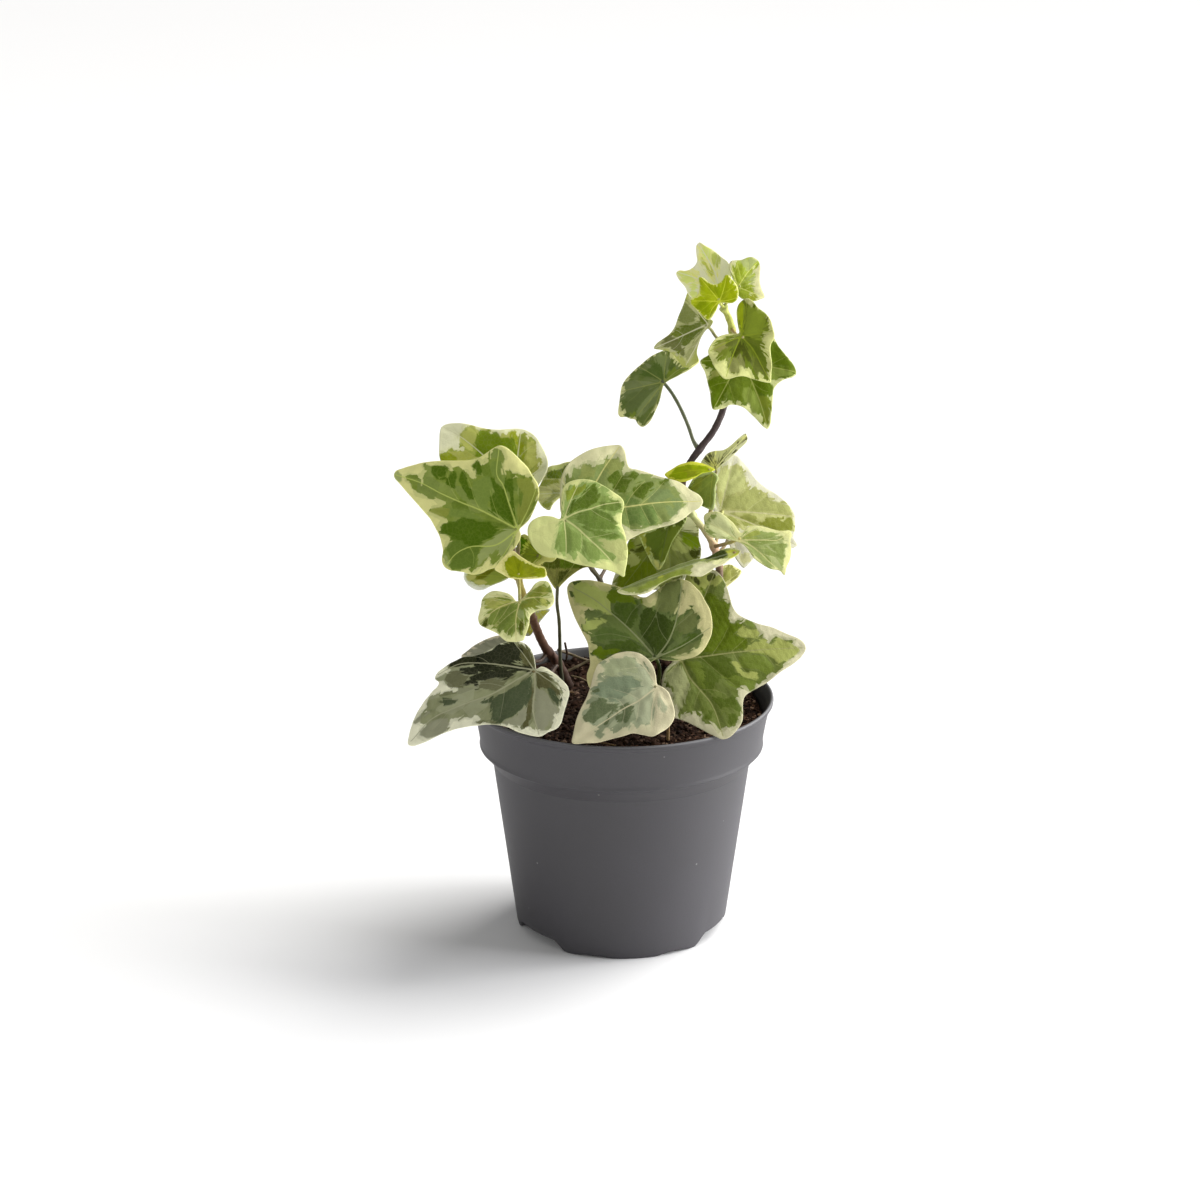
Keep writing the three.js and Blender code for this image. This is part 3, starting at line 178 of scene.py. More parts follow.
        "reach": 16.03, "dome": 0.1, "fold": 0.28,
        "on": "stem_right", "end": (32.37, 18.78, 179.32),
        "margin": 1,
        "cream": (204, 206, 135),
        "mid": (99, 114, 27),
        "dark": (75, 92, 8),
        "light": (112, 121, 43),
        "vein": (135, 149, 40),
        "XC": (224, 228, 150),
        "stalk": ((190, 180, 120), (160, 140, 80)), "stalk_r": 0.6,
        "stalk_path": [(0.73, 0.33, 0.00), (-0.86, 0.21, -4.95), (-5.10, 1.45, -13.36)],
        "outline": [(-1.8,-1.64),(-2.63,-3.67),(-3.03,-6.11),(-2.64,-7.93),(-1.59,-10.06),(-0.63,-11.12),(1.58,-11.48),(4.33,-11.94),(6.94,-11.63),(8.46,-11.13),(9.16,-9.86),(9.74,-7.69),(10.62,-5.68),(11.88,-4.37),(13.5,-2.74),(14.83,-1.28),(15.82,0.33),(13.73,1.91),(11.66,3.35),(9.15,4.45),(6.86,5.82),(5.62,7.85),(3.34,8.81),(0.36,9.53),(-2.39,9.21),(-4.21,8.42),(-6.88,8.13),(-8.27,7.48),(-8.72,6.18),(-8.41,4.54),(-7.15,2.99),(-5.11,1.82),(-2.79,0.72),(-1.06,-0.02)],
        "veins": [[(0,0),(4.66,0.86),(10.59,0.63),(15.45,0.42)], [(0,0),(-3.83,3.71),(-8,6.98)], [(0,0),(-0.35,-5.03),(-0.59,-10.45)], [(0,0),(2.02,4.14),(3.63,8.2)], [(0,0),(3.7,-5.17),(8.25,-10.48)]],
        "sides": [[(4.66,0.86),(7.93,-0.47),(10.16,-2.58)], [(3.7,-5.17),(6.18,-4.99),(8.62,-5.48)], [(2.02,4.14),(0.84,6.54),(-0.17,8.17)]],
        "green": [[(-8.95,4.54),(-9.47,5.88),(-7.98,5.96),(-5.52,6.44),(-5.39,7.7),(-3.26,7.73),(-2.31,9.16),(-0.02,8.41),(2.76,7.38),(2.62,6.12),(3.14,4.8),(5.25,3.85),(7.51,3.16),(9.1,3.54),(11.19,2.62),(12.97,1.23),(14.12,-0.15),(13.06,-0.88),(12.14,-1.36),(12.86,-2.52),(11.44,-2.68),(9.38,-2.79),(8.82,-3.85),(7.53,-3.74),(6.6,-4.2),(7.69,-5.94),(8.42,-7.1),(7.85,-8.14),(6.28,-8.55),(4.77,-7.59),(3.69,-8.31),(4.13,-9.97),(2.84,-9.85),(2.14,-8.02),(0.81,-8.56),(-0.56,-9.78),(-1.52,-7.78),(-1.69,-5.57),(-1.63,-4.21),(-1.04,-2.48),(-0.98,-1.11),(-0.65,0.07),(-3.3,1.37),(-6.6,2.75)]],
        "darks": [],
        "lights": [],
        "holes": [],
        "patches": [((139, 139, 76), [[(-0.42,-9.52),(-1.37,-7.52),(-1,-4.96),(0.82,-5.43),(1.13,-7.37),(2.4,-8.18),(1.06,-8.73)]]),
            ((127, 130, 73), [[(3.76,-6.95),(4.64,-4.71),(4.07,-2.59),(7.3,-2.89),(8.54,-4.37),(6.97,-4.79),(8.56,-6.84),(8.1,-8.3),(6.28,-8.55)]]),
            ((155, 171, 22), [[(-8.7,4.38),(-8.8,5.8),(-6.82,5.57),(-3.99,3.48),(-0.53,1.34),(-0.5,0.31),(-3.3,1.37),(-6.6,2.75)]]),
            ((92, 100, 37), [[(-0.83,-4.02),(-0.87,-1.54),(0.25,-0.16),(2.12,-2.4),(1.78,-4.29),(0.68,-5.69)], [(5.64,0.25),(8.52,0.53),(11.39,0.83),(13.45,0.94),(13.98,-0.41),(11.78,-0.79),(12.86,-2.52),(10.8,-2.63),(8.37,-2.16)]]),
            ((128, 144, 42), [[(-6.82,5.57),(-5.39,7.7),(-2.31,9.16),(0.63,8.35),(2.38,6.27),(3.38,4.65),(5.42,3.08),(3.49,3.25),(1.89,1.87),(-0.03,1.04),(-3.34,3.41)]]),
            ((68, 75, 16), [[(1.9,-4.72),(1.86,-2.24),(1.7,-0.04),(4.55,-0.44),(7.64,-0.99),(8.59,-3),(6.01,-2.77),(3.93,-2.85),(4.89,-4.87),(3.82,-5.59)]])]},
    "upper_leaf_right": {
        "at": (35.23, 13.46, 172.24),
        "rot": (1.0592, 0.0977, -1.2385),
        "reach": 22.80, "dome": 0.12, "fold": 0.05,
        "on": "stem_right", "end": (32.49, 19.79, 168.65),
        "margin": 1,
        "cream": (208, 210, 148),
        "mid": (93, 110, 23),
        "dark": (65, 89, 5),
        "light": (112, 128, 54),
        "vein": (149, 155, 80),
        "XC": (88, 115, 20),
        "stalk": ((150, 140, 80), (120, 100, 60)), "stalk_r": 0.6,
        "stalk_path": [(0.70, 0.38, 0.00), (-0.25, -0.28, -3.90), (-0.63, -1.92, -7.51)],
        "outline": [(1.12,-11.96),(4.11,-12.24),(7.39,-12.59),(10.54,-13.3),(12.25,-13.25),(12.66,-11.53),(12.79,-9.87),(12.46,-8.05),(13.52,-5.6),(15.22,-3.84),(17.25,-2.6),(19.44,-1.4),(21.16,-0.57),(22.3,0.54),(21.12,1.79),(18.8,2.82),(15.61,4.24),(13.45,5.15),(12.03,5.82),(10.69,7.59),(10.11,10.14),(10.16,12.44),(9.41,13.95),(7.75,14.11),(5.65,13.64),(3.06,12.6),(0.42,11.6),(-1.79,11.26),(-2.94,11.07),(-5.56,9.87),(-6.06,7.2),(-4.92,3.64),(-5.15,-0.04),(-5.63,-3.64),(-5.08,-6.97),(-3.62,-9.36),(-3.32,-10.77),(-2.5,-12.24)],
        "veins": [[(0,0),(7.96,0.36),(14.23,0.76),(21.73,0.66)], [(0,0),(4.87,6.44),(8.86,13.63)], [(0,0),(5.87,-6.45),(11.84,-12.81)], [(0,0),(-1.09,-6.52),(-2.46,-11.63)], [(0,0),(-2.47,5.27),(-4.43,10.41)]],
        "sides": [[(7.96,0.36),(11.08,2.43),(12.16,3.95)], [(7.96,0.36),(11.25,-2.01),(13.3,-3.33)], [(4.87,6.44),(4.2,10.48),(3.85,12.51)], [(4.87,6.44),(7.82,7.94),(9.07,10.05)], [(5.87,-6.45),(9.58,-6.46),(11.42,-6.46)], [(5.87,-6.45),(5.53,-9.45),(5.73,-11.68)]],
        "green": [[(-2.93,-12.09),(-3.7,-10.57),(-3.53,-9.08),(1.76,-7.52),(0.68,-0.87),(2.91,6.19),(0.4,8.34),(-2.39,9.67),(-2.05,10.81),(1.34,11.5),(4.87,12.79),(7.08,13.93),(8.66,14.02),(9.9,12.95),(10.08,10.34),(9.18,9.38),(9.51,7.37),(9.55,5.46),(11.49,5.75),(12.88,5.28),(13.45,4.15),(15.93,3.32),(18.03,3.26),(19.96,1.7),(21.23,0.98),(19.71,-0.1),(17.36,-0.91),(17.74,-1.66),(16.3,-2.45),(13.92,-2.28),(13.49,-3.71),(12.96,-4.47),(13.07,-6.08),(11.79,-6.27),(10.89,-8.15),(11.73,-9.37),(10.82,-10.3),(11.1,-11.33),(11.75,-13.09),(9.44,-12.63),(7.13,-12.16),(5.73,-12.61),(3.49,-11.85),(2.73,-10.34),(1.03,-9.76),(-0.37,-11.13)]],
        "darks": [],
        "lights": [],
        "holes": [],
        "patches": [((134, 139, 67), [[(1.12,-9.48),(2.15,-8.28),(4.49,-7.84),(5.26,-10.28),(3.11,-11.1)]]),
            ((120, 135, 55), [[(8.86,-2.78),(9.64,-0.21),(12.3,0.46),(14.78,0.57),(17.28,-1.19),(16.3,-2.45),(13.92,-2.28),(12.85,-3.81),(10.92,-4.1)], [(5.79,7.39),(7.54,11.21),(8.86,13.63),(9.82,12.66),(9.18,9.38),(9.34,6.79),(7.48,6.8)]]),
            ((111, 123, 34), [[(13.12,1.12),(14,3.96),(16.76,3.05),(18.23,1.94),(16.23,1.35)], [(16.41,1.91),(16.85,3.34),(18.77,2.71),(20.96,1.06),(19.52,0.27),(17.71,0.24)]]),
            ((81, 101, 4), [[(-2.39,9.67),(-2.05,10.81),(1.34,11.5),(4.87,12.79),(6.99,13.64),(7.26,11.31),(5.74,9.3),(5.14,7.3),(0.49,8.63)], [(7.4,0.55),(9.38,4.89),(11.21,5.84),(13.07,4.9),(13.27,3.58),(12.75,1.87),(9.99,0.92)], [(3.49,-11.85),(3.1,-9.23),(4.95,-7.38),(6.61,-6.08),(8.67,-7.4),(9.8,-9.65),(11.1,-11.33),(11.75,-13.09),(7.13,-12.16)], [(-2.74,-11.53),(-3.24,-9.19),(-1.15,-8.68),(0.46,-9.56),(-0.47,-11.4)]])]},
    "mid_leaf_upright": {
        "at": (27.89, 11.10, 139.11),
        "rot": (1.5933, -0.4788, 0.8598),
        "reach": 15.10, "dome": 0, "fold": 0.3,
        "on": "stem_right_side", "end": (27.04, 11.58, 136.37),
        "margin": 1,
        # painted light: cream, mid and vein raised to the 239 cap to make up for lamp light the upright blade does not
        # get
        "cream": (239, 239, 189),
        "mid": (239, 239, 139),
        "dark": (43, 47, 5),
        "light": (188, 191, 130),
        "vein": (239, 239, 167),
        "XC": (182, 192, 124),
        "stalk": ((160, 160, 80), (120, 110, 60)), "stalk_r": 0.42,
        "stalk_path": [(0.30, 0.74, 0.00), (-1.17, -0.81, -0.56), (-2.70, -1.09, 0.02)],
        "outline": [(14.32,-1),(15.11,0.62),(12.3,1.21),(8.88,1.4),(6.45,1.98),(4.26,3.66),(1.95,4.67),(-0.48,4.55),(-2.02,4.15),(-1.73,2.52),(-1.32,0.56),(-0.25,-0.46),(1.63,-0.6),(5.98,-1.13),(10.51,-1.26),(13.6,-1.35)],
        "veins": [[(0,0),(6.2,0.25),(14.73,0.01)]],
        "sides": [],
        "green": [[(-0.27,4.71),(2.38,4.84),(5.82,3.72),(9.25,2.61),(15.2,0.41),(14.81,-0.84),(9.12,-0.68),(3.39,-0.52),(-0.45,-0.41),(-1.3,2.1)]],
        "darks": [[(1,5.28),(2.97,3.8),(0.83,1.83),(-0.94,3.1)], [(1.48,1.2),(14.51,-0.2),(14.41,-1.26),(2.01,-0.91)]],
        "lights": [[(2.44,3.41),(12.86,0.88),(13.13,-0.58),(1.93,0.78)]],
        "holes": []},
    "mid_leaf_lime": {
        "at": (26.54, 6.11, 139.91),
        "rot": (0.7016, 0.0848, -2.9595),
        "reach": 14.30, "dome": 0.15, "fold": 0.15,
        "on": "stem_right_side", "end": (27.04, 11.58, 136.37),
        "margin": 1,
        "cream": (230, 232, 85),
        "mid": (141, 162, 10),
        "dark": (137, 146, 29),
        "light": (174, 186, 16),
        "vein": (191, 204, 33),
        "XC": (130, 147, 10),
        "stalk": ((170, 170, 80), (130, 120, 60)), "stalk_r": 0.42,
        "jag": 0.4,
        "vs": 0.4,
        "stalk_path": [(0.80, -0.07, 0.00), (0.48, -2.03, -1.48), (-0.03, -2.60, -4.11), (-1.36, -1.67, -6.18)],
        "outline": [(13.06,-0),(11.86,1.31),(10.03,2.42),(7.72,2.66),(5.19,1.92),(2.88,0.85),(0.4,0.49),(-0.91,0),(0.87,-1.71),(2.78,-2.76),(5.63,-3.5),(8.89,-3.53),(11.41,-2.65),(13.85,-1.27)],
        "veins": [[(0,0),(6.44,-0.73),(13.16,-1.06)]],
        "sides": [],
        "green": [[(12.94,-0.66),(10.24,-2.61),(5.57,-2.24),(1.57,-1.24),(-0.29,0.04),(1.55,1.64),(7.01,2.08),(10.92,1.02)]],
        "darks": [[(7.81,-1.36),(3.44,-0.85),(3.93,1.6),(7.49,1.58)]],
        "lights": [],
        "holes": []},
    "mid_leaf_dark": {
        "at": (26.88, 7.38, 138.64),
        "rot": (1.3066, -0.2447, -1.6553),
        "reach": 10.90, "dome": 0.12, "fold": 0.12,
        "on": "stem_right_side", "end": (27.11, 11.60, 135.87),
        "margin": 1,
        "cream": (196, 210, 138),
        "mid": (110, 122, 50),
        "dark": (92, 102, 42),
        "light": (125, 139, 57),
        "vein": (184, 189, 77),
        "XC": (95, 120, 44),
        "stalk": ((130, 130, 60), (110, 90, 50)), "stalk_r": 0.45,
        "jag": 0.6,
        "vs": 0.35,
        "stalk_path": [(0.69, -0.40, 0.00), (0.91, -0.06, -1.36), (1.64, -0.81, -4.72)],
        "outline": [(0.46,-3.55),(2.13,-5.71),(3.84,-6.62),(6.28,-7.39),(8.21,-5.77),(9.78,-3.28),(10.51,-1.46),(10.91,0.66),(6.69,1.3),(3.75,1.06),(1.11,1.77),(-0.46,-0.52)],
        "veins": [[(0,0),(5.05,-0.23),(10.4,-0.27)], [(0,0),(2.98,-3.66),(5.63,-6.82)]],
        "sides": [],
        "green": [[(5.96,-7.1),(2.53,-5.2),(1.09,-2.3),(0.32,-0.27),(2.03,0.47),(6.5,0.16),(10.43,-0.56),(9.72,-2.68),(8.43,-4.85)]],
        "darks": [],
        "lights": [],
        "holes": [],
        "patches": [((133, 150, 61), [[(3.25,-3.34),(1.06,-2),(0.03,-0.3),(1.07,1.31),(2.86,1.14),(4.97,0.68),(7.92,0.84),(10.35,0.34),(10.21,-1.47),(9.4,-2.4),(7.68,-3.07),(6.6,-4.33),(6.09,-5.27),(4.8,-4.14)]]),
            ((141, 152, 53), [[(5.31,-6.53),(3.76,-5.72),(2.18,-4.62),(1.11,-2.6),(2.93,-3.06),(4.78,-3.84),(5.77,-4.98)]]),
            ((232, 238, 140), [[(2.93,-6.38),(2.02,-6.15),(1.64,-5.26),(2.2,-4.92),(3.17,-5.76)]])]},
    "mid_leaf_pale_back": {
        "at": (29.74, 25.40, 121.63),
        "rot": (1.1570, 0.2438, -0.0464),
        "reach": 26.09, "dome": 0.08, "fold": 0.05,
        "on": "stem_right", "end": (27.55, 7.59, 115.59),
        "margin": 1,
        "cream": (202, 200, 175),
        "mid": (166, 167, 103),
        "dark": (152, 156, 83),
        "light": (195, 197, 134),
        "vein": (187, 184, 137),
        "XC": (126, 135, 43),
        "stalk": ((180, 180, 110), (150, 130, 80)), "stalk_r": 0.6,
        "stalk_path": [(0.80, -0.01, 0.00), (-0.84, -4.01, 2.44), (-2.61, -8.69, 7.69), (-4.89, -12.94, 12.94)],
        "outline": [(-0.02,15.24),(-2.43,12.28),(-3.84,8.51),(-3.66,4.57),(-2.22,0.74),(-1.47,-2.55),(0.81,-5.12),(2.84,-8.62),(4.26,-12.15),(6.32,-15.01),(8.16,-16.68),(10.14,-15.02),(12.27,-12.72),(15.75,-11.22),(19.64,-10.58),(22.89,-9.68),(25.16,-8.4),(23.94,-6.22),(24.31,-3.61),(24.47,-0.25),(23.28,2.3),(20.98,4.4),(18.03,6.48),(14.03,8.47),(10.77,10.81),(8.58,13.63),(6.41,15.93),(3.6,17.54)],
        "veins": [[(0,0),(7.89,0.33),(15.95,0.41),(24.18,0.25)], [(0,0),(1.81,8.04),(3.71,17.08)], [(0,0),(11.23,-3.37),(24.49,-8.31)], [(0,0),(4.41,-8.49),(8.28,-16.07)], [(0,0),(-2.04,3.18),(-3.44,6.41)]],
        "sides": [[(7.89,0.33),(10.96,3.02),(14.07,5.42)], [(1.81,8.04),(4.56,10.4),(6.73,11.81)], [(11.23,-3.37),(14.56,-6.14),(16.92,-8.38)]],
        "green": [[(-1.18,12.38),(0.65,13.76),(2.56,13.3),(5.04,14.74),(7.03,12.45),(7.43,10.03),(8.48,7.98),(10.74,7.57),(13.06,6.25),(14.67,6.39),(15.71,4.96),(18.36,4.28),(21.02,3.61),(23.08,2.28),(23.2,-0.15),(23.94,-2.54),(23.66,-4.1),(19.39,-4.49),(16.12,-4.48),(12.84,-3.54),(9.64,-3.81),(7.13,-5.23),(3.29,-4.02),(0.01,-0.3),(-1.41,3.23),(-1.63,7.77)]],
        "darks": [],
        "lights": [],
        "holes": [],
        "patches": [((180, 184, 119), [[(-0.52,11.21),(2.56,13.3),(7.05,11.84),(7.85,7.63),(4.74,6.15),(1.02,4.63),(-0.94,6.3)]]),
            ((155, 159, 92), [[(7.56,6.99),(10.74,7.57),(13.06,6.25),(14.68,6.09),(15.73,4.65),(19.03,4.04),(21.71,3.07),(22.42,2.22),(17.85,1.49),(13.31,1.09),(8.85,0.41),(4.69,0.67),(0.58,0.96),(0.49,2.77),(2.9,4.78),(6.03,5.64)]]),
            ((132, 137, 65), [[(7.6,-0.31),(11.43,0.02),(12.16,-2.37),(10.28,-3.75),(7.73,-4.27),(6.37,-1.63)], [(2.54,-0.72),(4.45,-1.17),(6.48,-4.68),(4.53,-3.61),(2.59,-2.24)]]),
            ((113, 120, 32), [[(12.81,-2.62),(14.71,-1.23),(17.29,-0.69),(18.61,-0.88),(19.94,-1.37),(21.2,0.27),(23.16,0.76),(23.94,-2.54),(23.68,-4.41),(19.4,-4.8),(16.12,-4.48),(13.49,-3.48)]]),
            ((186, 184, 132), [[(7.12,-12.23),(8.72,-12.4),(10.35,-12.88),(10.11,-14.41),(8.57,-15.44),(6.91,-14.36)]])]},
    "mid_leaf_bright_right": {
        "at": (33.71, -7.91, 122.67),
        "rot": (0.9200, 0.2317, -0.5950),
        "reach": 17.13, "dome": 0.18, "fold": 0.12,
        "on": "stem_right", "end": (27.44, 7.62, 115.85),
        "margin": 1,
        "cream": (187, 187, 127),
        "mid": (121, 135, 69),
        "dark": (113, 131, 56),
        "light": (175, 179, 129),
        "vein": (177, 175, 116),
        "XC": (140, 170, 90),
        "stalk": ((190, 180, 100), (150, 120, 80)), "stalk_r": 0.6,
        "stalk_path": [(0.28, 0.75, 0.00), (-1.22, 1.27, -7.07), (-4.15, 1.99, -17.49)],
        "outline": [(-1.31,2.48),(-3.57,3.48),(-6.27,3.97),(-8.99,4.13),(-11.09,2.82),(-12.06,1.38),(-11.89,0.25),(-10.69,-1.34),(-9.45,-3.51),(-7.2,-4.16),(-5.77,-3.8),(-3.83,-2.7),(-1.77,-1.45),(0.14,-0.49),(2.27,-0.13),(4.67,-0.67),(7.25,-1.49),(10,-1.22),(12.95,-0.46),(15.43,1.22),(17.25,1.21),(16.37,3.76),(15.87,6.34),(14.83,8.42),(12.86,10.39),(11.9,12.85),(10.75,13.15),(9.02,11.22),(6.55,9.88),(3.97,8.74),(1.74,7.2),(0.11,4.85),(-0.28,2.5)],
        "veins": [[(0,0),(3.81,1.14),(7.56,1.18),(11.66,0.89),(16.5,1.43)], [(0,0),(6.52,5.37),(9.62,8.15),(11.14,12.97)], [(0,0),(0.92,2.67),(2.73,6.54)], [(0,0),(-5.37,-0.22),(-10.51,-0.79)]],
        "sides": [[(3.81,1.14),(6.22,1.98),(8.78,3.78)], [(7.56,1.18),(9.98,2.11),(12.23,3.34)]],
        "green": [[(0.48,1.17),(0.74,2.92),(1.72,5.29),(3.21,6.94),(4.74,7.45),(7.16,8.37),(9.49,10.1),(10.72,10.01),(11.79,10.2),(11.58,8.75),(12.82,8.69),(12.61,7.27),(14.02,6.98),(14.22,5.57),(14.02,4.19),(14.95,3.48),(15.74,1.89),(15.19,1),(13.71,0.8),(12.86,-0.79),(10.33,-1.12),(7.87,-0.93),(5.49,-0.2),(2.87,0.36)], [(-9.54,-2.97),(-10.51,-0.79),(-10.6,1.52),(-9.53,3.04),(-7.6,3.24),(-4.98,2.41),(-2.26,0.97),(-0.53,-0.02),(-2.42,-1.56),(-5.03,-3.02),(-7.75,-3.67)]],
        "darks": [],
        "lights": [],
        "holes": [],
        "patches": [((126, 138, 78), [[(2.52,0.86),(4.93,1.67),(7.86,1.82),(10.66,1.17),(13.47,0.59),(11.04,-0.46),(7.7,-0.67),(5.08,-0.16)]]),
            ((139, 148, 66), [[(1.28,3.75),(2.13,5.23),(3.38,6.68),(4.41,5.15),(2.79,2.62),(1.37,1.48)]]),
            ((108, 122, 57), [[(3.3,1.88),(5.8,4.75),(8.39,8.25),(10.14,10.29),(10.76,8.8),(8.4,5.42),(5.71,2.71)], [(8.57,5.18),(11.41,9),(12.58,8.46),(12.78,7.02),(13.95,6.51),(14.02,4.19),(11.89,3.81),(9.9,4.39)]]),
            ((187, 191, 136), [[(-9.07,-2.62),(-9.61,1.04),(-9.06,3.37),(-6.96,3.31),(-4,1.98),(-1.51,0.38),(-3.06,-1.67),(-5.11,-2.89),(-8.26,-2.83)]])]},
    "mid_leaf_level": {
        "at": (33.57, -8.80, 119.28),
        "rot": (0.5819, -0.0390, -2.7680),
        "reach": 37.52, "dome": 0.1, "fold": 0.12,
        "on": "stem_right", "end": (28.53, 7.22, 112.58),
        "margin": 1,
        "cream": (231, 228, 183),
        "mid": (148, 159, 84),
        "dark": (124, 133, 72),
        "light": (168, 181, 96),
        "vein": (183, 193, 150),
        "XC": (130, 152, 72),
        "stalk": ((170, 150, 90), (130, 100, 70)), "stalk_r": 0.6,
        "jag": 0.6,
        "vs": 0.3,
        "stalk_path": [(0.80, -0.02, 0.00), (0.11, -5.19, -7.37), (1.68, -11.07, -14.20)],
        "outline": [(-1.11,0.23),(-0.48,-1.14),(1.17,-2.1),(3.42,-2.56),(5.91,-2.34),(7.81,-1.94),(9.51,-1.96),(13.05,-2.56),(16.39,-2.81),(19.8,-2.88),(23.18,-3.02),(26.31,-2.91),(29.37,-2.98),(33.17,-2.93),(36.64,-2.95),(35.78,-1.17),(32.59,1.1),(28.79,2.37),(24.12,0.99),(20.64,0.88),(17.43,1.41),(15.3,2.89),(13.06,4.11),(10.18,3.76),(7.86,3.17),(5.83,3.22),(2.95,2.13),(0.19,1.21)],
        "veins": [[(0,0),(11.27,-1),(23.52,-1.88),(35.8,-2.68)], [(0,0),(7.92,2.34),(13.02,3.24)]],
        "sides": [[(11.27,-1),(15,0.41),(18.31,0.79)]],
        "green": [[(36.06,-2.82),(30.92,-3.05),(26.13,-3.19),(19.87,-3.1),(13.67,-2.83),(9.67,-2.56),(6.19,-2.58),(3.77,-2.32),(1,-1.39),(-0.61,0.06),(0.61,1.46),(2.77,1.32),(5.18,1.04),(9.15,-0.03),(13,-1.4),(15,0.41),(15.08,2.12),(17.43,1.72),(21.45,0.77),(26.42,1.38),(31.06,1.19),(34.11,-0.62)]],
        "darks": [],
        "lights": [],
        "holes": [],
        "patches": [((123, 133, 78), [[(35.16,-2.7),(30.92,-3.05),(26.78,-3.15),(22.88,-3.44),(19.08,-3.47),(15.39,-3.25),(13,-2.91),(10.61,-2.59),(9.67,-1.81),(13.13,-1.08),(16.17,-1.35),(19.86,-1.59),(23.77,-1.25),(27.67,-0.97),(31.29,-1.36)]]),
            ((44, 55, 4), [[(9.81,-2.24),(7.4,-2.71),(5.25,-2.56),(3.09,-1.67),(2.84,-0.01),(4.5,0.93),(7.28,0.03),(9.41,-0.93)]]),
            ((189, 193, 71), [[(2.82,-1.56),(0.53,-1.01),(-0.95,-0),(0.35,1.58),(2.14,2.07),(3.45,1.44),(2.84,-0.01)], [(24.43,-1.2),(22.99,-1.62),(22.6,-1.04),(24.16,-0.3)]]),
            ((138, 152, 59), [[(25.46,-0.97),(22.6,-1.04),(18.8,-1.08),(16.05,-0.12),(14.93,1.76),(16.55,2.65),(19.26,1.58),(22.76,0.9),(25.37,1.13),(28.33,0.67),(30.78,0.49),(32.07,0.57),(30.38,-0.5),(27.28,-0.38)], [(28.57,-1.06),(26.89,-1.32),(25.46,-0.97),(27.28,-0.38),(28.57,-0.29)]]),
            ((239, 239, 176), [[(8.25,0.84),(5.7,0.79),(3.71,1.31),(5.27,2.78),(7.66,2.47)]])]},
    "mid_leaf_drooping": {
        "at": (14.75, 1.69, 129.57),
        "rot": (1.4055, -0.1953, -1.7921),
        "reach": 19.11, "dome": 0.05, "fold": 0.25,
        "on": "stem_right", "end": (19.86, 9.15, 127.19),
        "margin": 1,
        "cream": (200, 212, 135),
        "mid": (88, 102, 30),
        "dark": (74, 86, 25),
        "light": (100, 116, 34),
        "vein": (108, 122, 56),
        "XC": (72, 94, 26),
        "stalk": ((120, 110, 60), (90, 70, 50)), "stalk_r": 0.5,
        "stalk_path": [(0.73, -0.34, 0.00), (0.53, 1.20, -4.21), (0.32, 3.67, -8.59)],
        "outline": [(5.91,-9.94),(8.95,-8.41),(11.73,-6.56),(15.1,-4.19),(18.19,-1.65),(19.28,-0.07),(17.55,0.93),(13.66,1.73),(9.57,2.43),(5.63,3.97),(1.74,5.09),(-0.85,4.22),(-2.07,2.03),(-1.09,-0.55),(-0.68,-3.7),(1.52,-6.75),(3.49,-8.69)],
        "veins": [[(0,0),(6.08,0.15),(12.87,0.1),(18.47,0.06)], [(0,0),(3.02,-5.25),(5.72,-9.1)]],
        "sides": [[(6.08,0.15),(8.67,-1.69),(10.77,-4.2)], [(9.8,0.05),(13.34,-1.9),(16.09,-3.1)]],
        "green": [[(9.26,-5.69),(7.74,-3.07),(5.79,0.08),(3.37,3.32),(1.81,4.54),(5.38,3.79),(8.68,2.96),(12.38,1.88),(15.8,0.74),(17.88,-0.06),(16.37,-1.57),(14.02,-3.53),(11.38,-5.55)]],
        "darks": [],
        "lights": [],
        "holes": [],
        "patches": [((96, 115, 32), [[(9.13,-5.13),(7.74,-3.07),(6.65,-0.94),(7.97,-0.05),(11.47,-0.5),(14.92,-0.68),(15.65,-1.13),(13.6,-3.02),(11.78,-4.58)]]),
            ((116, 133, 40), [[(6,0.44),(4.4,2.92),(4.72,3.95),(7.65,3.36),(11.34,2.29),(15.05,1.21),(16.84,0.34),(13.6,-0.35),(9.87,-0.24)]]),
            ((209, 210, 121), [[(16.56,-2.42),(15.71,-1.41),(16.69,-0.31),(17.72,0.53),(19.06,0.19),(18.68,-0.8)]]),
            ((148, 154, 56), [[(9.83,-8.23),(9.09,-6.32),(9.49,-5.35),(11.84,-4.86),(13.72,-3.59),(15.37,-2.66),(15.27,-3.57),(12.92,-5.52),(11.63,-6.67)]])]},
    "mid_leaf_shaded": {
        "at": (13.80, 10.41, 120.80),
        "rot": (1.1077, 0.0000, -2.2120),
        "reach": 24.79, "dome": 0.1, "fold": 0.06,
        "on": "stem_right", "end": (20.71, 8.94, 125.69),
        "margin": 1,
        "cream": (235, 235, 198),
        "mid": (143, 152, 81),
        "dark": (110, 115, 64),
        "light": (146, 156, 81),
        "vein": (156, 166, 115),
        "XC": (233, 235, 145),
        "stalk": ((120, 110, 60), (90, 70, 50)), "stalk_r": 0.5,
        "vs": 0.3,
        "stalk_path": [(0.45, 0.66, 0.00), (-3.30, 0.55, -1.17), (-7.11, 3.32, 3.50)],
        "outline": [(7.48,-7.02),(10.45,-7.03),(13.36,-5.97),(16.84,-5.23),(20.31,-4.49),(23.18,-3.45),(24.42,-2.16),(23.67,-0.13),(21.77,2.52),(18.75,4.7),(17.13,7.93),(14.39,10.69),(11.09,12.67),(6.94,13.28),(3.79,13.52),(0.92,12.87),(-1.25,11.26),(-2.83,9.36),(-5.26,7.56),(-7.52,5.52),(-8.89,3.78),(-8.55,1.81),(-6.01,1.47),(-2.63,1.01),(0.47,-2.62),(3.81,-4.57)],
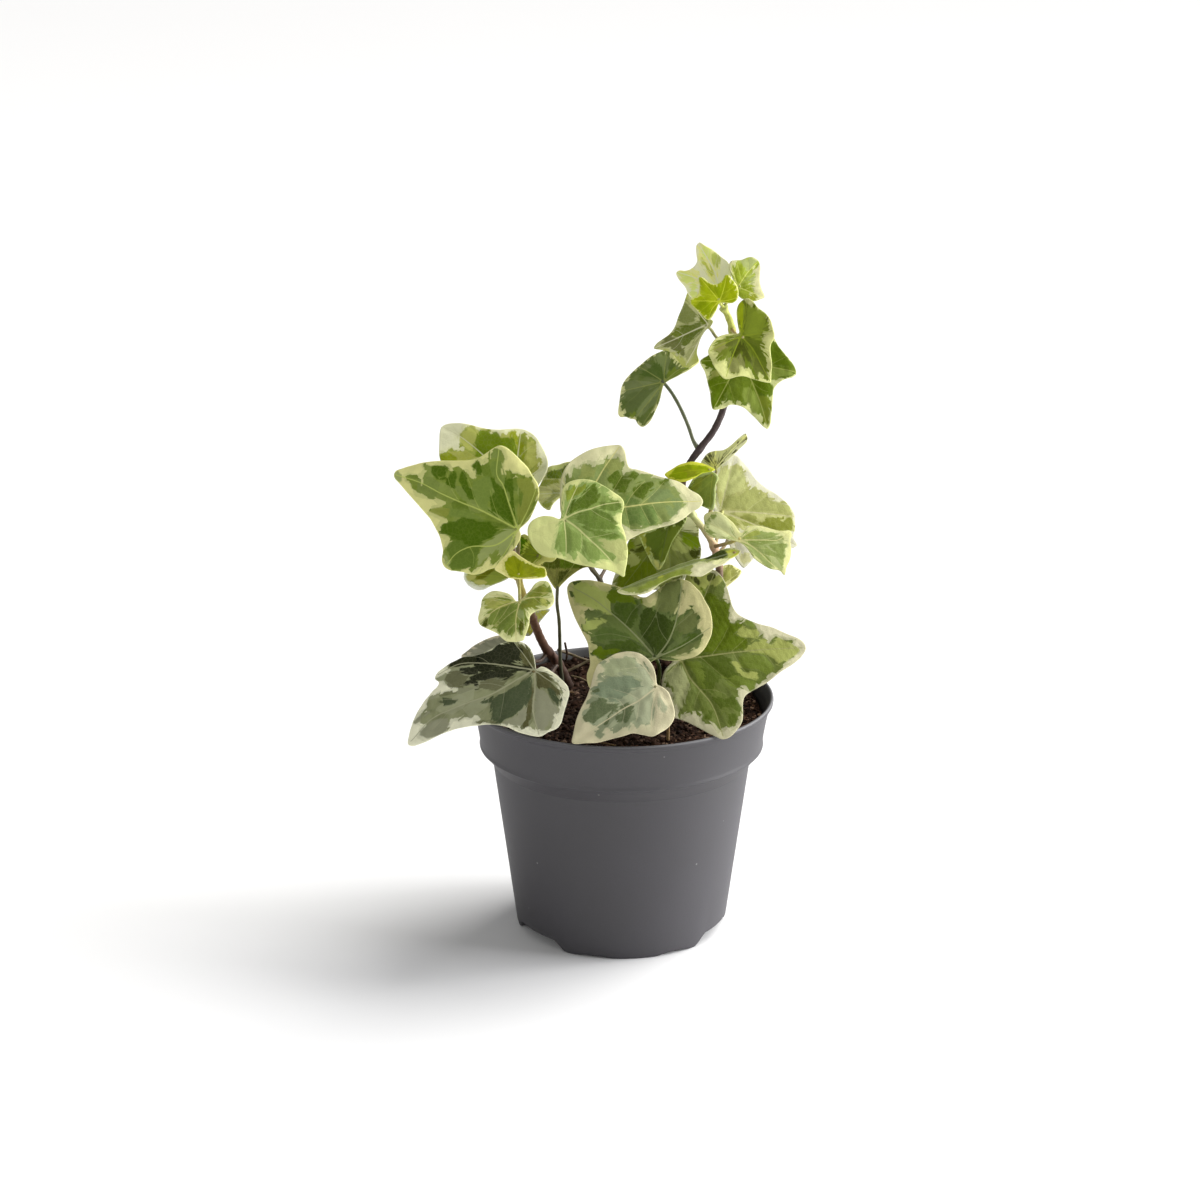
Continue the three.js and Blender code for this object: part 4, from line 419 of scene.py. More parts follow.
        "veins": [[(0,0),(8.95,-0),(21.56,-0.22)], [(0,0),(-0.82,5.67),(-1.07,11.03)], [(0,0),(7.37,6.21),(13.21,11.29)]],
        "sides": [],
        "green": [[(23.77,-2.27),(20.43,-3.66),(16.32,-4.51),(12.59,-5.43),(9.86,-6.73),(6.18,-5.77),(2.08,-3.27),(-0.24,-0.18),(-2.74,1.66),(-5.52,1.83),(-8.24,2.41),(-8.39,4.14),(-6.3,6.42),(-3.38,8.58),(-1.73,10.91),(1.1,12.63),(3.96,11.8),(7.29,11.32),(12.03,11.89),(15.55,8.6),(19.03,3.8),(22.33,0.72)]],
        "darks": [],
        "lights": [],
        "holes": [],
        "patches": [((114, 126, 42), [[(11.66,-3.17),(8.94,-2.98),(9.3,-0.48),(10.52,1.9),(11.73,4.28),(13.97,3.73),(16.66,2.04),(19.81,0.69),(22.14,-0.53),(19.68,-1.63),(16.27,-1.95),(12.97,-1.45)]]),
            ((69, 76, 4), [[(11.59,-5.07),(10.06,-3.99),(8.52,-2.92),(8.94,-1.49),(10.6,-1.74),(11.66,-3.17),(12.13,-4.3)], [(1.31,8.36),(0.55,10.38),(-1.43,11.5),(0.74,13.11),(2.47,11.8),(2.64,10.08)]]),
            ((239, 239, 194), [[(-5.76,1.65),(-8.06,2.17),(-8.21,3.9),(-6.12,6.19),(-3.93,7.81),(-3.16,5.78),(-2.23,3.52),(-3.76,2.02)]]),
            ((131, 157, 4), [[(-1.5,4.06),(-2.08,5.85),(-2.9,7.45),(-3.07,9.18),(-1.49,11.09),(-0.05,10.67),(0.71,8.65),(0.99,6.27),(-0.11,4.72)]]),
            ((117, 134, 11), [[(10.56,-7.69),(9.27,-6.43),(8.63,-5.06),(10.59,-4.71),(12.89,-4.84),(13.42,-5.56)], [(23.42,-1.79),(19.26,-3.05),(15.03,-3.25),(12.85,-0.8),(11.19,3.51),(11.99,5.95),(15.63,4.97),(19.74,4.33),(22.33,0.72)]]),
            ((180, 188, 110), [[(13.13,-4.66),(12.01,-3.64),(12.62,-0.97),(14.09,-0.98),(16.03,-2.13),(16.09,-3.2)], [(2.93,3.65),(-0.66,3.94),(1.41,6.21),(0.95,8.83),(2.51,9.25),(4.04,6.69),(4.79,4.66)]])]},
    "centre_leaf_front": {
        "at": (-16.72, -22.31, 133.36),
        "rot": (0.9836, 0.0481, -0.7728),
        "reach": 24.22, "dome": 0.14, "fold": 0.08,
        "on": "stem_centre", "end": (-10.80, -5.23, 116.34),
        "margin": 1,
        "cream": (201, 205, 135),
        "mid": (137, 157, 85),
        "dark": (99, 120, 38),
        "light": (137, 160, 89),
        "vein": (201, 203, 137),
        "XC": (151, 164, 90),
        "stalk": ((150, 160, 90), (110, 90, 60)), "stalk_r": 0.6,
        "stalk_path": [(0.80, 0.01, 0.00), (1.59, 0.95, -9.39), (5.53, 1.16, -17.77), (8.34, 1.55, -23.33)],
        "outline": [(-2.93,-1.85),(-4.88,-3.54),(-5.92,-5.64),(-6.13,-7.51),(-5.58,-9.12),(-3.96,-10.77),(-2.09,-11.61),(0.02,-12.2),(2.64,-12.25),(4.85,-11.36),(6.79,-9.65),(8.73,-8.48),(11.17,-7.28),(13.71,-5.67),(16.72,-3.47),(19.74,-1.23),(21.82,-0.16),(23.7,0.58),(22.75,2.07),(21.08,4.53),(19.15,6.72),(17.08,8.28),(14.88,9.74),(12.8,10.79),(10.69,12.94),(9.48,15.02),(8.35,16.06),(6.55,16.41),(3.95,15.89),(1.34,15.38),(-1.79,14.38),(-4.03,12.96),(-5.95,10.72),(-6.98,8.07),(-6.43,5.9),(-4.77,3.71),(-2.06,0.95),(-0.91,-0.75)],
        "veins": [[(0,0),(3.68,0.75),(8.76,0.92),(14.58,1.16),(22.72,0.75)], [(0,0),(1.4,4.31),(3.19,7.4),(4.76,10.74),(8.08,15.62)], [(0,0),(-2.55,5.46),(-4.76,11.44)], [(0,0),(-2.16,-4.35),(-4.14,-9.69)], [(0,0),(4.81,-4.09),(8.73,-8.07)]],
        "sides": [[(6.33,0.51),(9.01,-1.8),(10.69,-5.16)], [(8.76,0.92),(10.76,3.81),(12.92,7.36)], [(3.19,7.4),(6.65,7.98),(9.87,9.23)], [(-2.55,5.46),(-1.35,7.93),(-1.02,11.72)]],
        "green": [[(-4.85,6.59),(-5.31,8.29),(-4.09,9.92),(-3.52,11.81),(-2.12,13.68),(-0.69,14.28),(0.77,14.02),(2.18,15.06),(3.62,14.82),(5.27,14.36),(6.88,15.2),(9.12,14.98),(10.17,13.48),(9.41,11.77),(9.65,10.29),(11.28,9.45),(12.69,9.25),(13.9,8.84),(15.51,8.44),(16.7,8.47),(15.53,7.18),(15.15,5.09),(13.97,3.42),(14.38,2.19),(16.17,3.25),(18.35,3.5),(19.15,1.87),(17.18,0.59),(15.61,-1.12),(14.85,-2.81),(12.89,-4.51),(11.68,-4.11),(10.08,-4.53),(10.31,-5.99),(8.11,-7.45),(6.51,-8.27),(4.48,-8.66),(3.23,-6.57),(1.96,-4.46),(0.48,-2.54),(-0.19,-0.62),(-1.87,1.09),(-3.14,3.2)]],
        "darks": [],
        "lights": [],
        "holes": [],
        "patches": [((170, 174, 110), [[(11.77,2.78),(14.15,5.29),(16.51,7.83),(18.51,7.04),(20.53,4.18),(19.55,2.29),(18.15,3.29),(15.57,3.03),(14.18,1.98)]]),
            ((127, 141, 46), [[(-5.27,6.19),(-5.31,8.29),(-4.09,9.92),(-2.69,11.78),(-1.6,9.83),(-2.16,7.12),(-3.16,4.86)]]),
            ((116, 136, 66), [[(3.21,6.56),(3.79,8.44),(5.42,8.41),(5.25,6.95)], [(1.96,-4.46),(2.72,-1.95),(4.93,-0.51),(7.15,0.09),(9.24,-2.86),(8.09,-5.78),(6.09,-7.85),(4.06,-7.41)], [(8.37,-0.33),(10.37,0.92),(13.59,0.94),(15.42,-1.33),(13.27,-3.67),(10.65,-3.06)]]),
            ((96, 118, 47), [[(1.01,2.25),(2.81,5.73),(4.61,8.42),(7.02,10.08),(9.65,10.29),(11.68,9.45),(12.31,7.98),(9.53,5.05),(6.12,2.37),(3.47,2.2)], [(6.52,1.96),(9.74,4.84),(12.53,6.94),(14.92,7.8),(14.54,6.13),(12.16,3.61),(10.16,2.36)], [(3.52,11.19),(5.69,13.93),(7.3,14.77),(9.34,14.33),(9.2,11.98),(7.02,10.08),(4.78,9.9)]]),
            ((79, 100, 22), [[(-1.91,4.81),(-1.13,7.71),(-1.64,11.53),(-1.07,13.43),(0.99,13.37),(2.28,11.64),(2.94,9.72),(2.58,7.2),(1.38,5.14),(0.79,2.87),(-0.02,1.66),(-1.48,3.14)]])]},
    "centre_leaf_large": {
        "at": (-13.95, -9.22, 131.58),
        "rot": (0.9652, 0.0955, 0.1165),
        "reach": 38.04, "dome": 0.1, "fold": 0.08,
        "on": "stem_centre", "end": (-10.80, -5.23, 116.34),
        "margin": 1,
        "cream": (207, 204, 159),
        "mid": (129, 142, 79),
        "dark": (85, 104, 24),
        "light": (118, 136, 79),
        "vein": (203, 199, 125),
        "XC": (110, 144, 94),
        "stalk": ((120, 130, 70), (100, 85, 55)), "stalk_r": 0.6,
        "stalk_path": [(0.76, 0.25, 0.00), (1.98, -1.33, -10.61), (3.04, -6.40, -12.46), (3.06, -10.69, -11.60)],
        "outline": [(-1.67,-4.21),(0.1,-6.55),(2.42,-9.21),(4.45,-11.84),(6.82,-14.16),(9.81,-13.77),(12.67,-12.13),(15.02,-9.82),(17.86,-8.44),(21.47,-7.24),(24.99,-6.41),(28.59,-5.74),(32.31,-3.87),(34.93,-1.96),(37.41,-0.76),(38.69,1.16),(37.89,3.12),(35.35,4.78),(32.54,7.17),(29.52,8.24),(26.6,9.1),(23.62,10.35),(20.29,11.58),(17.89,12.31),(17.24,14.85),(16.98,17.66),(15.98,19.24),(13.98,19.51),(10.52,19.26),(6.99,18.5),(3.38,16.96),(0.52,15.17),(-1.63,12.61),(-2.9,9.63),(-3.55,5.35),(-3.92,1.92),(-3.81,0.03),(-2.61,-2.26)],
        "veins": [[(0,0),(7.73,0.62),(15.11,0.44),(19.63,0.8),(24.16,1.2),(28.69,1.33),(37.78,1.24)], [(0,0),(5.33,5.62),(9.91,12.01),(15.48,18.8)], [(0,0),(-1.19,5.23),(-2.08,10.48)], [(0,0),(3.91,-6.55),(6.93,-13.25)]],
        "sides": [[(19.63,0.8),(20.51,-1.72),(21.85,-5.23)], [(23.23,0.94),(24.59,-2.54),(25.54,-4.46)], [(15.11,0.44),(17.6,3.93),(21.96,7.97)], [(19.63,0.8),(23.55,3.65),(27.61,7.44)], [(7.73,0.62),(11.79,5.18),(15.3,9.84)], [(8.09,9.07),(9.91,12.01),(11.44,15)], [(15.11,0.44),(15.5,-3.63),(15.7,-6.76)]],
        "green": [[(-2.22,3.81),(-1.27,9.79),(0.68,11.47),(1.18,13.27),(3.23,13.11),(4.83,14.22),(6.81,13.45),(9.17,13.29),(10.56,15.05),(11.26,15.94),(12.37,15.25),(14.21,15.76),(15.81,14.12),(16.11,11.64),(16.56,10.38),(19.01,10.87),(20.68,9.87),(24.19,9.1),(26.55,8.7),(29.22,8.31),(29.61,6.46),(30.63,4.91),(31.69,3.66),(32.72,2.12),(33.18,0.89),(31.48,-0.6),(30.71,-1.83),(29.34,-3.04),(27.93,-4.56),(25.42,-5.4),(21.77,-5.85),(19.28,-6.66),(16.92,-6.52),(15.19,-6.11),(13.54,-5.07),(10.59,-0.19)]],
        "darks": [],
        "lights": [],
        "holes": [],
        "patches": [((120, 137, 83), [[(29.51,3.12),(31.89,2.74),(33.18,0.89),(31.48,-0.6),(30.11,-1.81),(29.19,0.4),(28.16,1.95)], [(24.1,5.75),(26.12,5.06),(28.52,4.97),(29.51,3.12),(27.19,1.38),(23.3,1.54),(21.36,2.84),(23.02,4.28)], [(26.19,0.51),(28.92,0.72),(29.89,-1.18),(30.32,-2.45),(28.36,-3.64),(27.11,-1.7)]]),
            ((97, 119, 57), [[(15.16,3.46),(17.53,3.33),(19.77,2.01),(19.03,0.83),(15.48,1.03)], [(15.37,0.12),(18.37,0.26),(22.6,0.66),(24.12,-1.58),(24.99,-4.13),(22.44,-5.26),(18.88,-5.08),(15.93,-4.91),(14.77,-2.34)]]),
            ((136, 144, 78), [[(3.3,13.72),(6.26,13.8),(7.85,12.15),(6.98,9.76),(4.57,9.32),(2.88,10.06)], [(10.82,14.73),(12.96,15.21),(15.36,15.38),(15.66,12.89),(14.19,10.52),(11.83,10.66),(10.57,12.58)]]),
            ((77, 97, 17), [[(11.79,10.35),(13.97,11.14),(14.97,9.55),(17.01,9.13),(19.01,10.87),(20.09,9.9),(17.76,7.87),(16.29,5.52),(15.23,4.06),(13.63,5.67),(11.44,7.32),(11.03,8.87)], [(17.84,6.04),(19.77,7.16),(22.22,7.66),(24.35,7.87),(24.77,6.33),(23.13,5.18),(21.43,3.44),(20.43,2.58),(18.68,2.97),(17.37,4.55)], [(25.58,8.13),(29.22,8.31),(29,6.48),(26.83,5.95),(25.44,6.91)]])]},
    "left_leaf_large": {
        "at": (-30.08, -16.53, 128.48),
        "rot": (1.0592, -0.1937, 2.6916),
        "reach": 41.30, "dome": 0.1, "fold": 0.08,
        "on": "stem_left", "end": (-30.54, -13.11, 116.36),
        "margin": 1,
        "cream": (227, 225, 149),
        "mid": (126, 144, 55),
        "dark": (67, 98, 5),
        "light": (154, 166, 96),
        "vein": (194, 207, 105),
        "XC": (112, 138, 62),
        "stalk": ((150, 160, 80), (110, 80, 55)), "stalk_r": 0.6,
        "stalk_path": [(0.79, 0.15, 0.00), (-0.37, 2.49, -4.50), (-1.25, 5.84, -6.52), (-1.92, 8.95, -8.66)],
        "outline": [(41.99,0.45),(40.13,1.23),(36.85,2.68),(32.66,4.43),(29,6.04),(25.86,7.4),(23.39,9.08),(20.8,11.02),(19.05,12.89),(17.76,14.62),(17.01,16.9),(15.43,18.49),(13.28,18.88),(11.22,18.34),(8.81,17.73),(6.28,17.39),(3.96,15.82),(2.56,14.12),(0.96,12.69),(0.47,10.61),(-0.48,7.96),(-1.26,6.44),(-1.87,4.71),(-1.89,2.46),(-1.4,0.85),(-0.41,-0.18),(-1,-1.7),(-1.69,-3.36),(-1.92,-5.3),(-1.85,-7.85),(-1.63,-10.72),(-0.74,-12.9),(0.63,-14.57),(2.77,-15.85),(5.13,-17.5),(7.54,-18.53),(9.9,-19.4),(12.19,-20.15),(14.36,-20.59),(16.14,-20.22),(17.61,-18.52),(18.92,-16.46),(20.34,-14.6),(22.33,-13.06),(25.23,-11.72),(28.24,-10.54),(30.92,-9.51),(33.47,-8.18),(36.38,-6.69),(39.07,-4.74),(41.13,-3.11),(42.77,-1.6),(42.82,-0.38)],
        "veins": [[(0,0),(6.16,-0.42),(13.03,-0.77),(19.73,-0.61),(26.68,-0.74),(33.58,-1.28),(42.13,-0.64)], [(0,0),(3.2,-3.25),(6.49,-6.65),(9.82,-10.07),(12.8,-12.06),(15.59,-19.01)], [(0,0),(3.87,6.73),(10.72,10.32),(13.66,13.82),(14.84,18.18)], [(0,0),(-0.26,-5.67),(0.08,-12.56)], [(0,0),(0.08,5.08),(0.78,10.25)]],
        "sides": [[(13.03,-0.77),(16.4,-3.54),(19.37,-6.83),(22.97,-9.25)], [(19.73,-0.61),(23.6,-2.91),(28.01,-7.6)], [(10.72,10.32),(8.41,12.25),(7.22,15.29)], [(6.16,-0.42),(9.74,-3.71),(12.8,-7.24)]],
        "green": [[(39.29,-1.38),(37.63,-2.32),(34.69,-2.79),(33.44,-1.01),(33.91,-4.05),(33.27,-5.57),(34.84,-6.59),(32.51,-6.83),(31.18,-7.67),(27.54,-8.75),(26.56,-8.16),(24.81,-9.49),(22.83,-8.98),(22.11,-9.59),(20.16,-8.44),(18.91,-7.97),(18.33,-8.85),(20.23,-11.31),(21.06,-11.62),(20.03,-13.65),(18.22,-12.76),(17.63,-14.29),(16.62,-15.67),(17.45,-16.63),(16.85,-18.82),(15.31,-19.12),(14.2,-18.93),(12.83,-17.54),(12.87,-15.58),(11.67,-13.17),(10.13,-14.12),(8.36,-13.24),(7.24,-14.36),(5.74,-14.02),(4.77,-14.75),(3.69,-14.56),(3,-15.17),(1.67,-13.8),(0.34,-13.09),(-0.96,-11.08),(-1.58,-9.1),(-1.63,-6.26),(-1.54,-3.68),(-0.94,-2.15),(0.74,-0.16),(0.35,2.59),(-0.46,4.85),(-0.05,6.65),(0.23,8.72),(1.58,8.66),(1.33,11.14),(2.42,12.26),(3.9,10.63),(5.13,12.14),(5.16,14.08),(6,15.73),(6.84,16.73),(8.46,16.14),(10.41,17.61),(12.63,18.54),(15.11,17.65),(17.02,15.87),(17.42,14.42),(16.97,11.97),(17.24,10.78),(18.07,9.82),(20.6,10.22),(22,8.84),(21.15,7.18),(20.87,5.75),(22,5.56),(24.55,5.29),(26.54,5.44),(25.69,3.78),(23.42,2.86),(23.42,1.54),(25.13,1.58),(26.84,0.95),(28.42,1.26),(30.72,1.52),(32.75,1.66),(34.93,0.87),(36.08,-0.65),(38.14,-0.52)]],
        "darks": [],
        "lights": [],
        "holes": [],
        "patches": [((120, 140, 60), [[(19.48,-7.75),(17.19,-9.31),(14.92,-10.87),(12.46,-9.3),(11.46,-5.87),(11.02,-2.87),(9.97,-1.39),(13.29,-1.3),(15.19,-2.44),(16.79,-4.34),(18.69,-6.14)], [(15.79,-15.36),(13.41,-16),(11.26,-13.01),(9.65,-11.1),(11.04,-10.53),(13.51,-11.44),(15.42,-13.25)], [(22.85,2.63),(18.63,1.54),(14.3,0.73),(9.87,0.17),(11.67,1.91),(16.8,3.09),(20.31,4.87),(21.72,3.48)]]),
            ((141, 150, 62), [[(7.4,-13.32),(5.74,-14.02),(3.69,-14.56),(1.67,-13.8),(-0.71,-11.61),(-1.4,-7.43),(-0.99,-3.44),(-0.1,-1.16),(2.21,-4.63),(2.72,-9.83),(5.68,-11.15)], [(26.68,5.17),(23.42,2.86),(21.58,2.43),(21.15,5.21),(24.55,5.29)]]),
            ((159, 171, 103), [[(17.57,14.8),(15.34,15.17),(13.05,18.4),(15.11,17.65),(17.17,16.25)], [(42.57,-0.8),(41.64,-1.79),(40.19,-1.04),(40.07,0.54),(41.56,0.45)], [(7.29,9.18),(6.04,6.37),(4.41,3.05),(2.64,0.66),(0.75,0.49),(-0.33,3.93),(-0.05,6.65),(0.23,8.72),(1.71,8.39),(3.46,6.88),(3.75,8.95),(3.9,10.63),(5.13,12.14),(5.57,14.58),(7.04,11.66)]]),
            ((97, 120, 39), [[(16.69,11.85),(14.87,10.12),(12.66,10.48),(10.59,10.58),(7.97,9.15),(7.31,11.78),(6.65,13.76),(7.36,15.67),(9.86,17.37),(12.63,18.54),(13.86,17.45),(14.51,14.82),(16.72,13.8)]]),
            ((74, 102, 4), [[(32.51,-6.83),(31.18,-7.67),(27.54,-8.75),(27.16,-7.29),(27.22,-5.33),(29.26,-4.54),(31.4,-5.33)], [(26.71,-7.78),(24.87,-7.54),(23,-3.78),(24.18,-2.68),(25.82,-4.6)], [(22.83,-8.98),(20.47,-7.67),(18.43,-5.6),(16.14,-3.01),(17.43,-2.17),(20.16,-4.27),(22.07,-6.07)], [(20.78,-11.73),(19.75,-13.76),(18.24,-12.11),(17.02,-10.34),(18.29,-10.15),(19.52,-11.27)], [(14.63,-10.99),(13.4,-10.53),(11.88,-10.18),(9.56,-9.54),(7.43,-7.22),(5.32,-4.91),(2.83,-2.46),(1.54,-0.46),(2.89,-0.52),(6.42,-0.95),(9.97,-1.39),(11.14,-3.14),(11.33,-5.61),(11.68,-7.7),(12.74,-9.19)], [(9.63,-11.75),(8.36,-13.24),(6.78,-10.69),(5.77,-7.91),(3.81,-5.22),(2.55,-2.58),(4.64,-4.88),(6.87,-7.45),(9.28,-9.65)], [(22.14,8.57),(20.87,6.41),(18.48,5.09),(16.66,3.35),(14.44,3.08),(11.53,2.18),(8.78,1.01),(7.14,1.62),(5.5,2.22),(5.36,3.79),(6.86,6.07),(8.51,8.08),(10.31,9.82),(12.79,10.22),(14.87,10.12),(17.1,11.05),(17.79,9.71),(20.6,10.22)]])]},
    "left_leaf_back": {
        "at": (-32.57, 4.38, 134.60),
        "rot": (0.9652, -0.0479, 2.3710),
        "reach": 28.73, "dome": 0.1, "fold": 0.06,
        "on": "stem_left", "end": (-30.51, -13.02, 116.06),
        "margin": 1,
        # painted light: the cream raised to the 239 cap to make up for the blade being lit from behind
        "cream": (239, 239, 198),
        "mid": (180, 184, 86),
        "dark": (109, 138, 7),
        "light": (208, 209, 128),
        "vein": (226, 226, 181),
        "XC": (140, 160, 62),
        "stalk": ((150, 150, 80), (110, 80, 55)), "stalk_r": 0.55,
        "stalk_path": [(0.69, -0.41, 0.00), (-6.52, 5.84, -2.65), (-13.61, 12.48, 0.68), (-19.12, 16.48, 3.65)],
        "outline": [(18,8.81),(13.94,9.05),(10.15,9.47),(6.62,10.49),(3.12,10.66),(0.1,9.1),(-1.17,6.2),(-0.91,3.01),(-0.44,0.44),(-2.58,-0.31),(-4.52,-1.71),(-5.17,-3.99),(-5.06,-6.42),(-4.63,-8.76),(-4.12,-10.75),(-2.5,-13.17),(-0.33,-14.61),(2.71,-15.81),(5.98,-16.68),(8.8,-16.58),(11.2,-15.63),(13.22,-13.79),(15.45,-11.13),(18.27,-9.06),(21.41,-7.32),(24.07,-6.02),(27.02,-4.06),(29.26,-1.9),(29.71,-0.35),(28.71,1.34),(26.1,4.13),(23.37,6.8),(21.88,7.75)],
        "veins": [[(0,0),(10.52,-1.79),(21.12,-1.83),(29.71,-0.56)], [(0,0),(5,-7.61),(10.63,-14.97)], [(0,0),(-1.31,-6.68),(-2.55,-12.14)]],
        "sides": [[(10.52,-1.79),(14.09,-0.31),(15.83,2.99)], [(5,-7.61),(5.25,-10.81),(4.86,-13.78)]],
        "green": [[(21.88,7.92),(23.05,6.35),(21.7,5.17),(22.42,3.62),(21.98,2.8),(20.82,3.09),(19.93,2.3),(19.5,1.04),(20.66,-0.1),(22.27,-0.85),(23.19,-2.61),(23.88,-4.57),(22.97,-6.2),(22.74,-7.24),(21.13,-6.49),(19.99,-7.05),(19.54,-8.29),(18.18,-9.05),(16.59,-8.3),(15.7,-9.52),(13.89,-9.4),(14.59,-11.37),(12.34,-10.37),(11.9,-11.2),(12.6,-12.74),(12.17,-14),(10.39,-13.89),(9.3,-14.89),(7.75,-15.02),(6.21,-15.14),(4.88,-15.07),(3.32,-13.49),(1.56,-12.54),(-0.4,-11.81),(-1.72,-9.62),(-1.73,-7.93),(-1.3,-2.47),(5.16,3.59),(15.73,9.79)]],
        "darks": [],
        "lights": [],
        "holes": [],
        "patches": [((197, 201, 103), [[(23.19,-2.61),(22.96,-5.77),(20.9,-5.83),(18.84,-4.63),(17.7,-2.23),(16.12,-1.07),(17.25,-0.09),(20.2,-0.07),(22.04,-1.05)], [(7.5,-13.93),(5.1,-14.87),(2,-12.57),(-0.19,-11.61),(-1.08,-9.02),(1.52,-9.14),(5.26,-11.67)]]),
            ((149, 161, 26), [[(22.83,6.15),(21.49,4.11),(18.75,3.87),(17.83,4.78),(21.42,7.95)], [(12.6,-12.74),(10.83,-13.91),(9.26,-13.18),(8.12,-11.19),(9.67,-11.06),(11.23,-11.37)], [(8.13,-12.04),(7.26,-12.85),(2.61,-8.98),(4.13,-8.42)]]),
            ((114, 138, 4), [[(20.22,-6.85),(18.18,-9.05),(16.59,-8.3),(15.7,-9.52),(13.89,-9.4),(13.01,-10.2),(11.9,-11.2),(10.34,-11.32),(8.33,-10.13),(5.67,-9.13),(3.26,-8.37),(1.94,-6.19),(5,-2.55),(10.08,-1.35),(12.75,-0.66),(14.99,0.05),(17.47,-2.43),(18.61,-4.83)]])]},
    "left_leaf_between": {
        "at": (-16.22, 15.55, 130.13),
        "rot": (0.8338, -0.0909, 3.1341),
        "reach": 10.54, "dome": 0.05, "fold": 0.22,
        "on": "stem_centre", "end": (-8.93, -4.11, 112.90),
        "margin": 1,
        "cream": (238, 239, 164),
        "mid": (195, 196, 135),
        "dark": (165, 164, 114),
        "light": (223, 223, 153),
        "vein": (238, 239, 239),
        "XC": (76, 108, 6),
        "stalk": ((120, 120, 60), (100, 80, 50)), "stalk_r": 0.5,
        "jag": 0.6,
        "vs": 0.3,
        "stalk_path": [(0.65, -0.47, 0.00), (-1.28, 5.96, -2.81), (-3.97, 15.56, -0.79), (-7.73, 25.91, 2.30)],
        "outline": [(9.33,-0.85),(8.66,1.94),(7.07,4.6),(5.04,6.03),(3.94,3.73),(1.91,1.6),(-0.62,1.06),(-3.32,1.5),(-5.66,-0.83),(-6.88,-3.87),(-6.3,-6.95),(-3.93,-9.16),(-0.94,-9.76),(2.49,-9.11),(5.59,-8.28),(7.2,-4.83),(8.3,-2.91)],
        "veins": [[(0,0),(9.03,-0.19)], [(0,0),(-1.83,-9.52)], [(0,0),(5.54,5.42)]],
        "sides": [],
        "green": [[(9.32,-4.52),(7.8,-7.18),(4.47,-8.84),(0.26,-9.59),(-2.13,-8.57),(-2.15,2.55),(1.91,6.7),(6.13,5.74),(9,0.84)]],
        "darks": [],
        "lights": [],
        "holes": [],
        "patches": [((96, 116, 4), [[(6.29,-6.15),(4.78,-6.99),(2.67,-7.5),(1.17,-7.75),(-0.04,-8.95),(-1.24,-9.85),(0.27,-6.48),(1.78,-4.38),(4.49,-4.36),(6.6,-4.64)]]),
            ((195, 204, 122), [[(5.68,-7.35),(4.47,-8.22),(2.67,-8.44),(0.86,-8.98),(-0.34,-9.25),(1.17,-8.06),(3.27,-7.22),(5.38,-6.41)]]),
            ((146, 156, 66), [[(6.9,-4.35),(4.79,-4.22),(2.38,-4.1),(2.09,-3.17),(4.49,-2.99),(6.31,-2.17),(7.81,-2.58),(8.41,-3.23)], [(6.25,2.13),(4.73,2.59),(4.09,3.72),(4.94,5.46),(6.45,5),(7.72,3.11)]]),
            ((150, 155, 88), [[(4.5,-0.84),(2.1,-0.73),(2.08,0.94),(3.54,2.31),(4.41,2.98),(5.64,2.17),(4.48,0.81)]])]},
    "left_leaf_inner": {
        "at": (-23.70, -4.57, 116.75),
        "rot": (1.0117, -0.0967, 2.9843),
        "reach": 8.83, "dome": 0.08, "fold": 0.2,
        "on": "stem_left", "end": (-30.10, -11.68, 112.45),
        "margin": 1,
        "cream": (217, 215, 131),
        "mid": (118, 128, 40),
        "dark": (99, 108, 34),
        "light": (135, 146, 46),
        "vein": (212, 236, 37),
        "XC": (125, 140, 32),
        "stalk": ((130, 130, 60), (100, 80, 50)), "stalk_r": 0.5,
        "vs": 0.18,
        "stalk_path": [(0.76, -0.25, 0.00), (2.41, 2.27, -0.72), (4.77, 8.26, 4.34)],
        "outline": [(5.02,2.2),(1.77,3.55),(-0.05,2.83),(-1.48,1.67),(-3.51,1.37),(-4.94,-0.7),(-3.45,-2.84),(-0.57,-4.22),(2.17,-4.48),(4.08,-5.15),(6,-5.85),(7.37,-4.82),(7.7,-1.98),(8.76,0.06)],
        "veins": [[(0,0),(8.18,-0.15)], [(0,0),(7.07,-4.85)], [(0,0),(1.79,3.39)]],
        "sides": [],
        "green": [[(7.85,-0.03),(7.07,-4.85),(5.52,-4.7),(3.9,-3.98),(2.08,-1.83),(-0.05,0.3),(1.96,2.46),(4.19,1.78),(6.5,0.77)]],
        "darks": [],
        "lights": [],
        "holes": [],
        "patches": [((77, 122, 4), [[(7.07,-4.85),(5.82,-4.67),(5.09,-3.86),(5.47,-2.34),(6.1,-0.5),(6.5,0.77),(7.85,-0.03),(8.55,-0.57),(7.57,-2.14)]]),
            ((208, 220, 95), [[(5.14,-4.15),(3.81,-3.4),(3.98,-2.5),(5.25,-0.88),(5.95,0.4),(6.4,-0.47),(5.43,-2.05)]]),
            ((125, 139, 38), [[(3.73,-2.82),(2.37,-1.79),(0.68,-0.52),(-0.05,0.3),(1.25,1.42),(2.25,2.5),(4.19,1.78),(5.9,0.71),(4.96,-0.92)]])]},
    "left_leaf_curled": {
        "at": (-29.61, -27.92, 117.70),
        "rot": (0.7538, 0.0438, 0.3679),
        "reach": 8.78, "dome": 0.12, "fold": 0.1,
        "on": "stem_left", "end": (-30.48, -12.93, 115.78),
        "margin": 1,
        "cream": (238, 232, 155),
        "mid": (133, 145, 11),
        "dark": (126, 134, 26),
        "light": (170, 175, 26),
        "vein": (187, 191, 40),
        "XC": (127, 138, 2),
        "stalk": ((180, 175, 90), (140, 130, 60)), "stalk_r": 0.5,
        "jag": 0.35,
        "vs": 0.22,
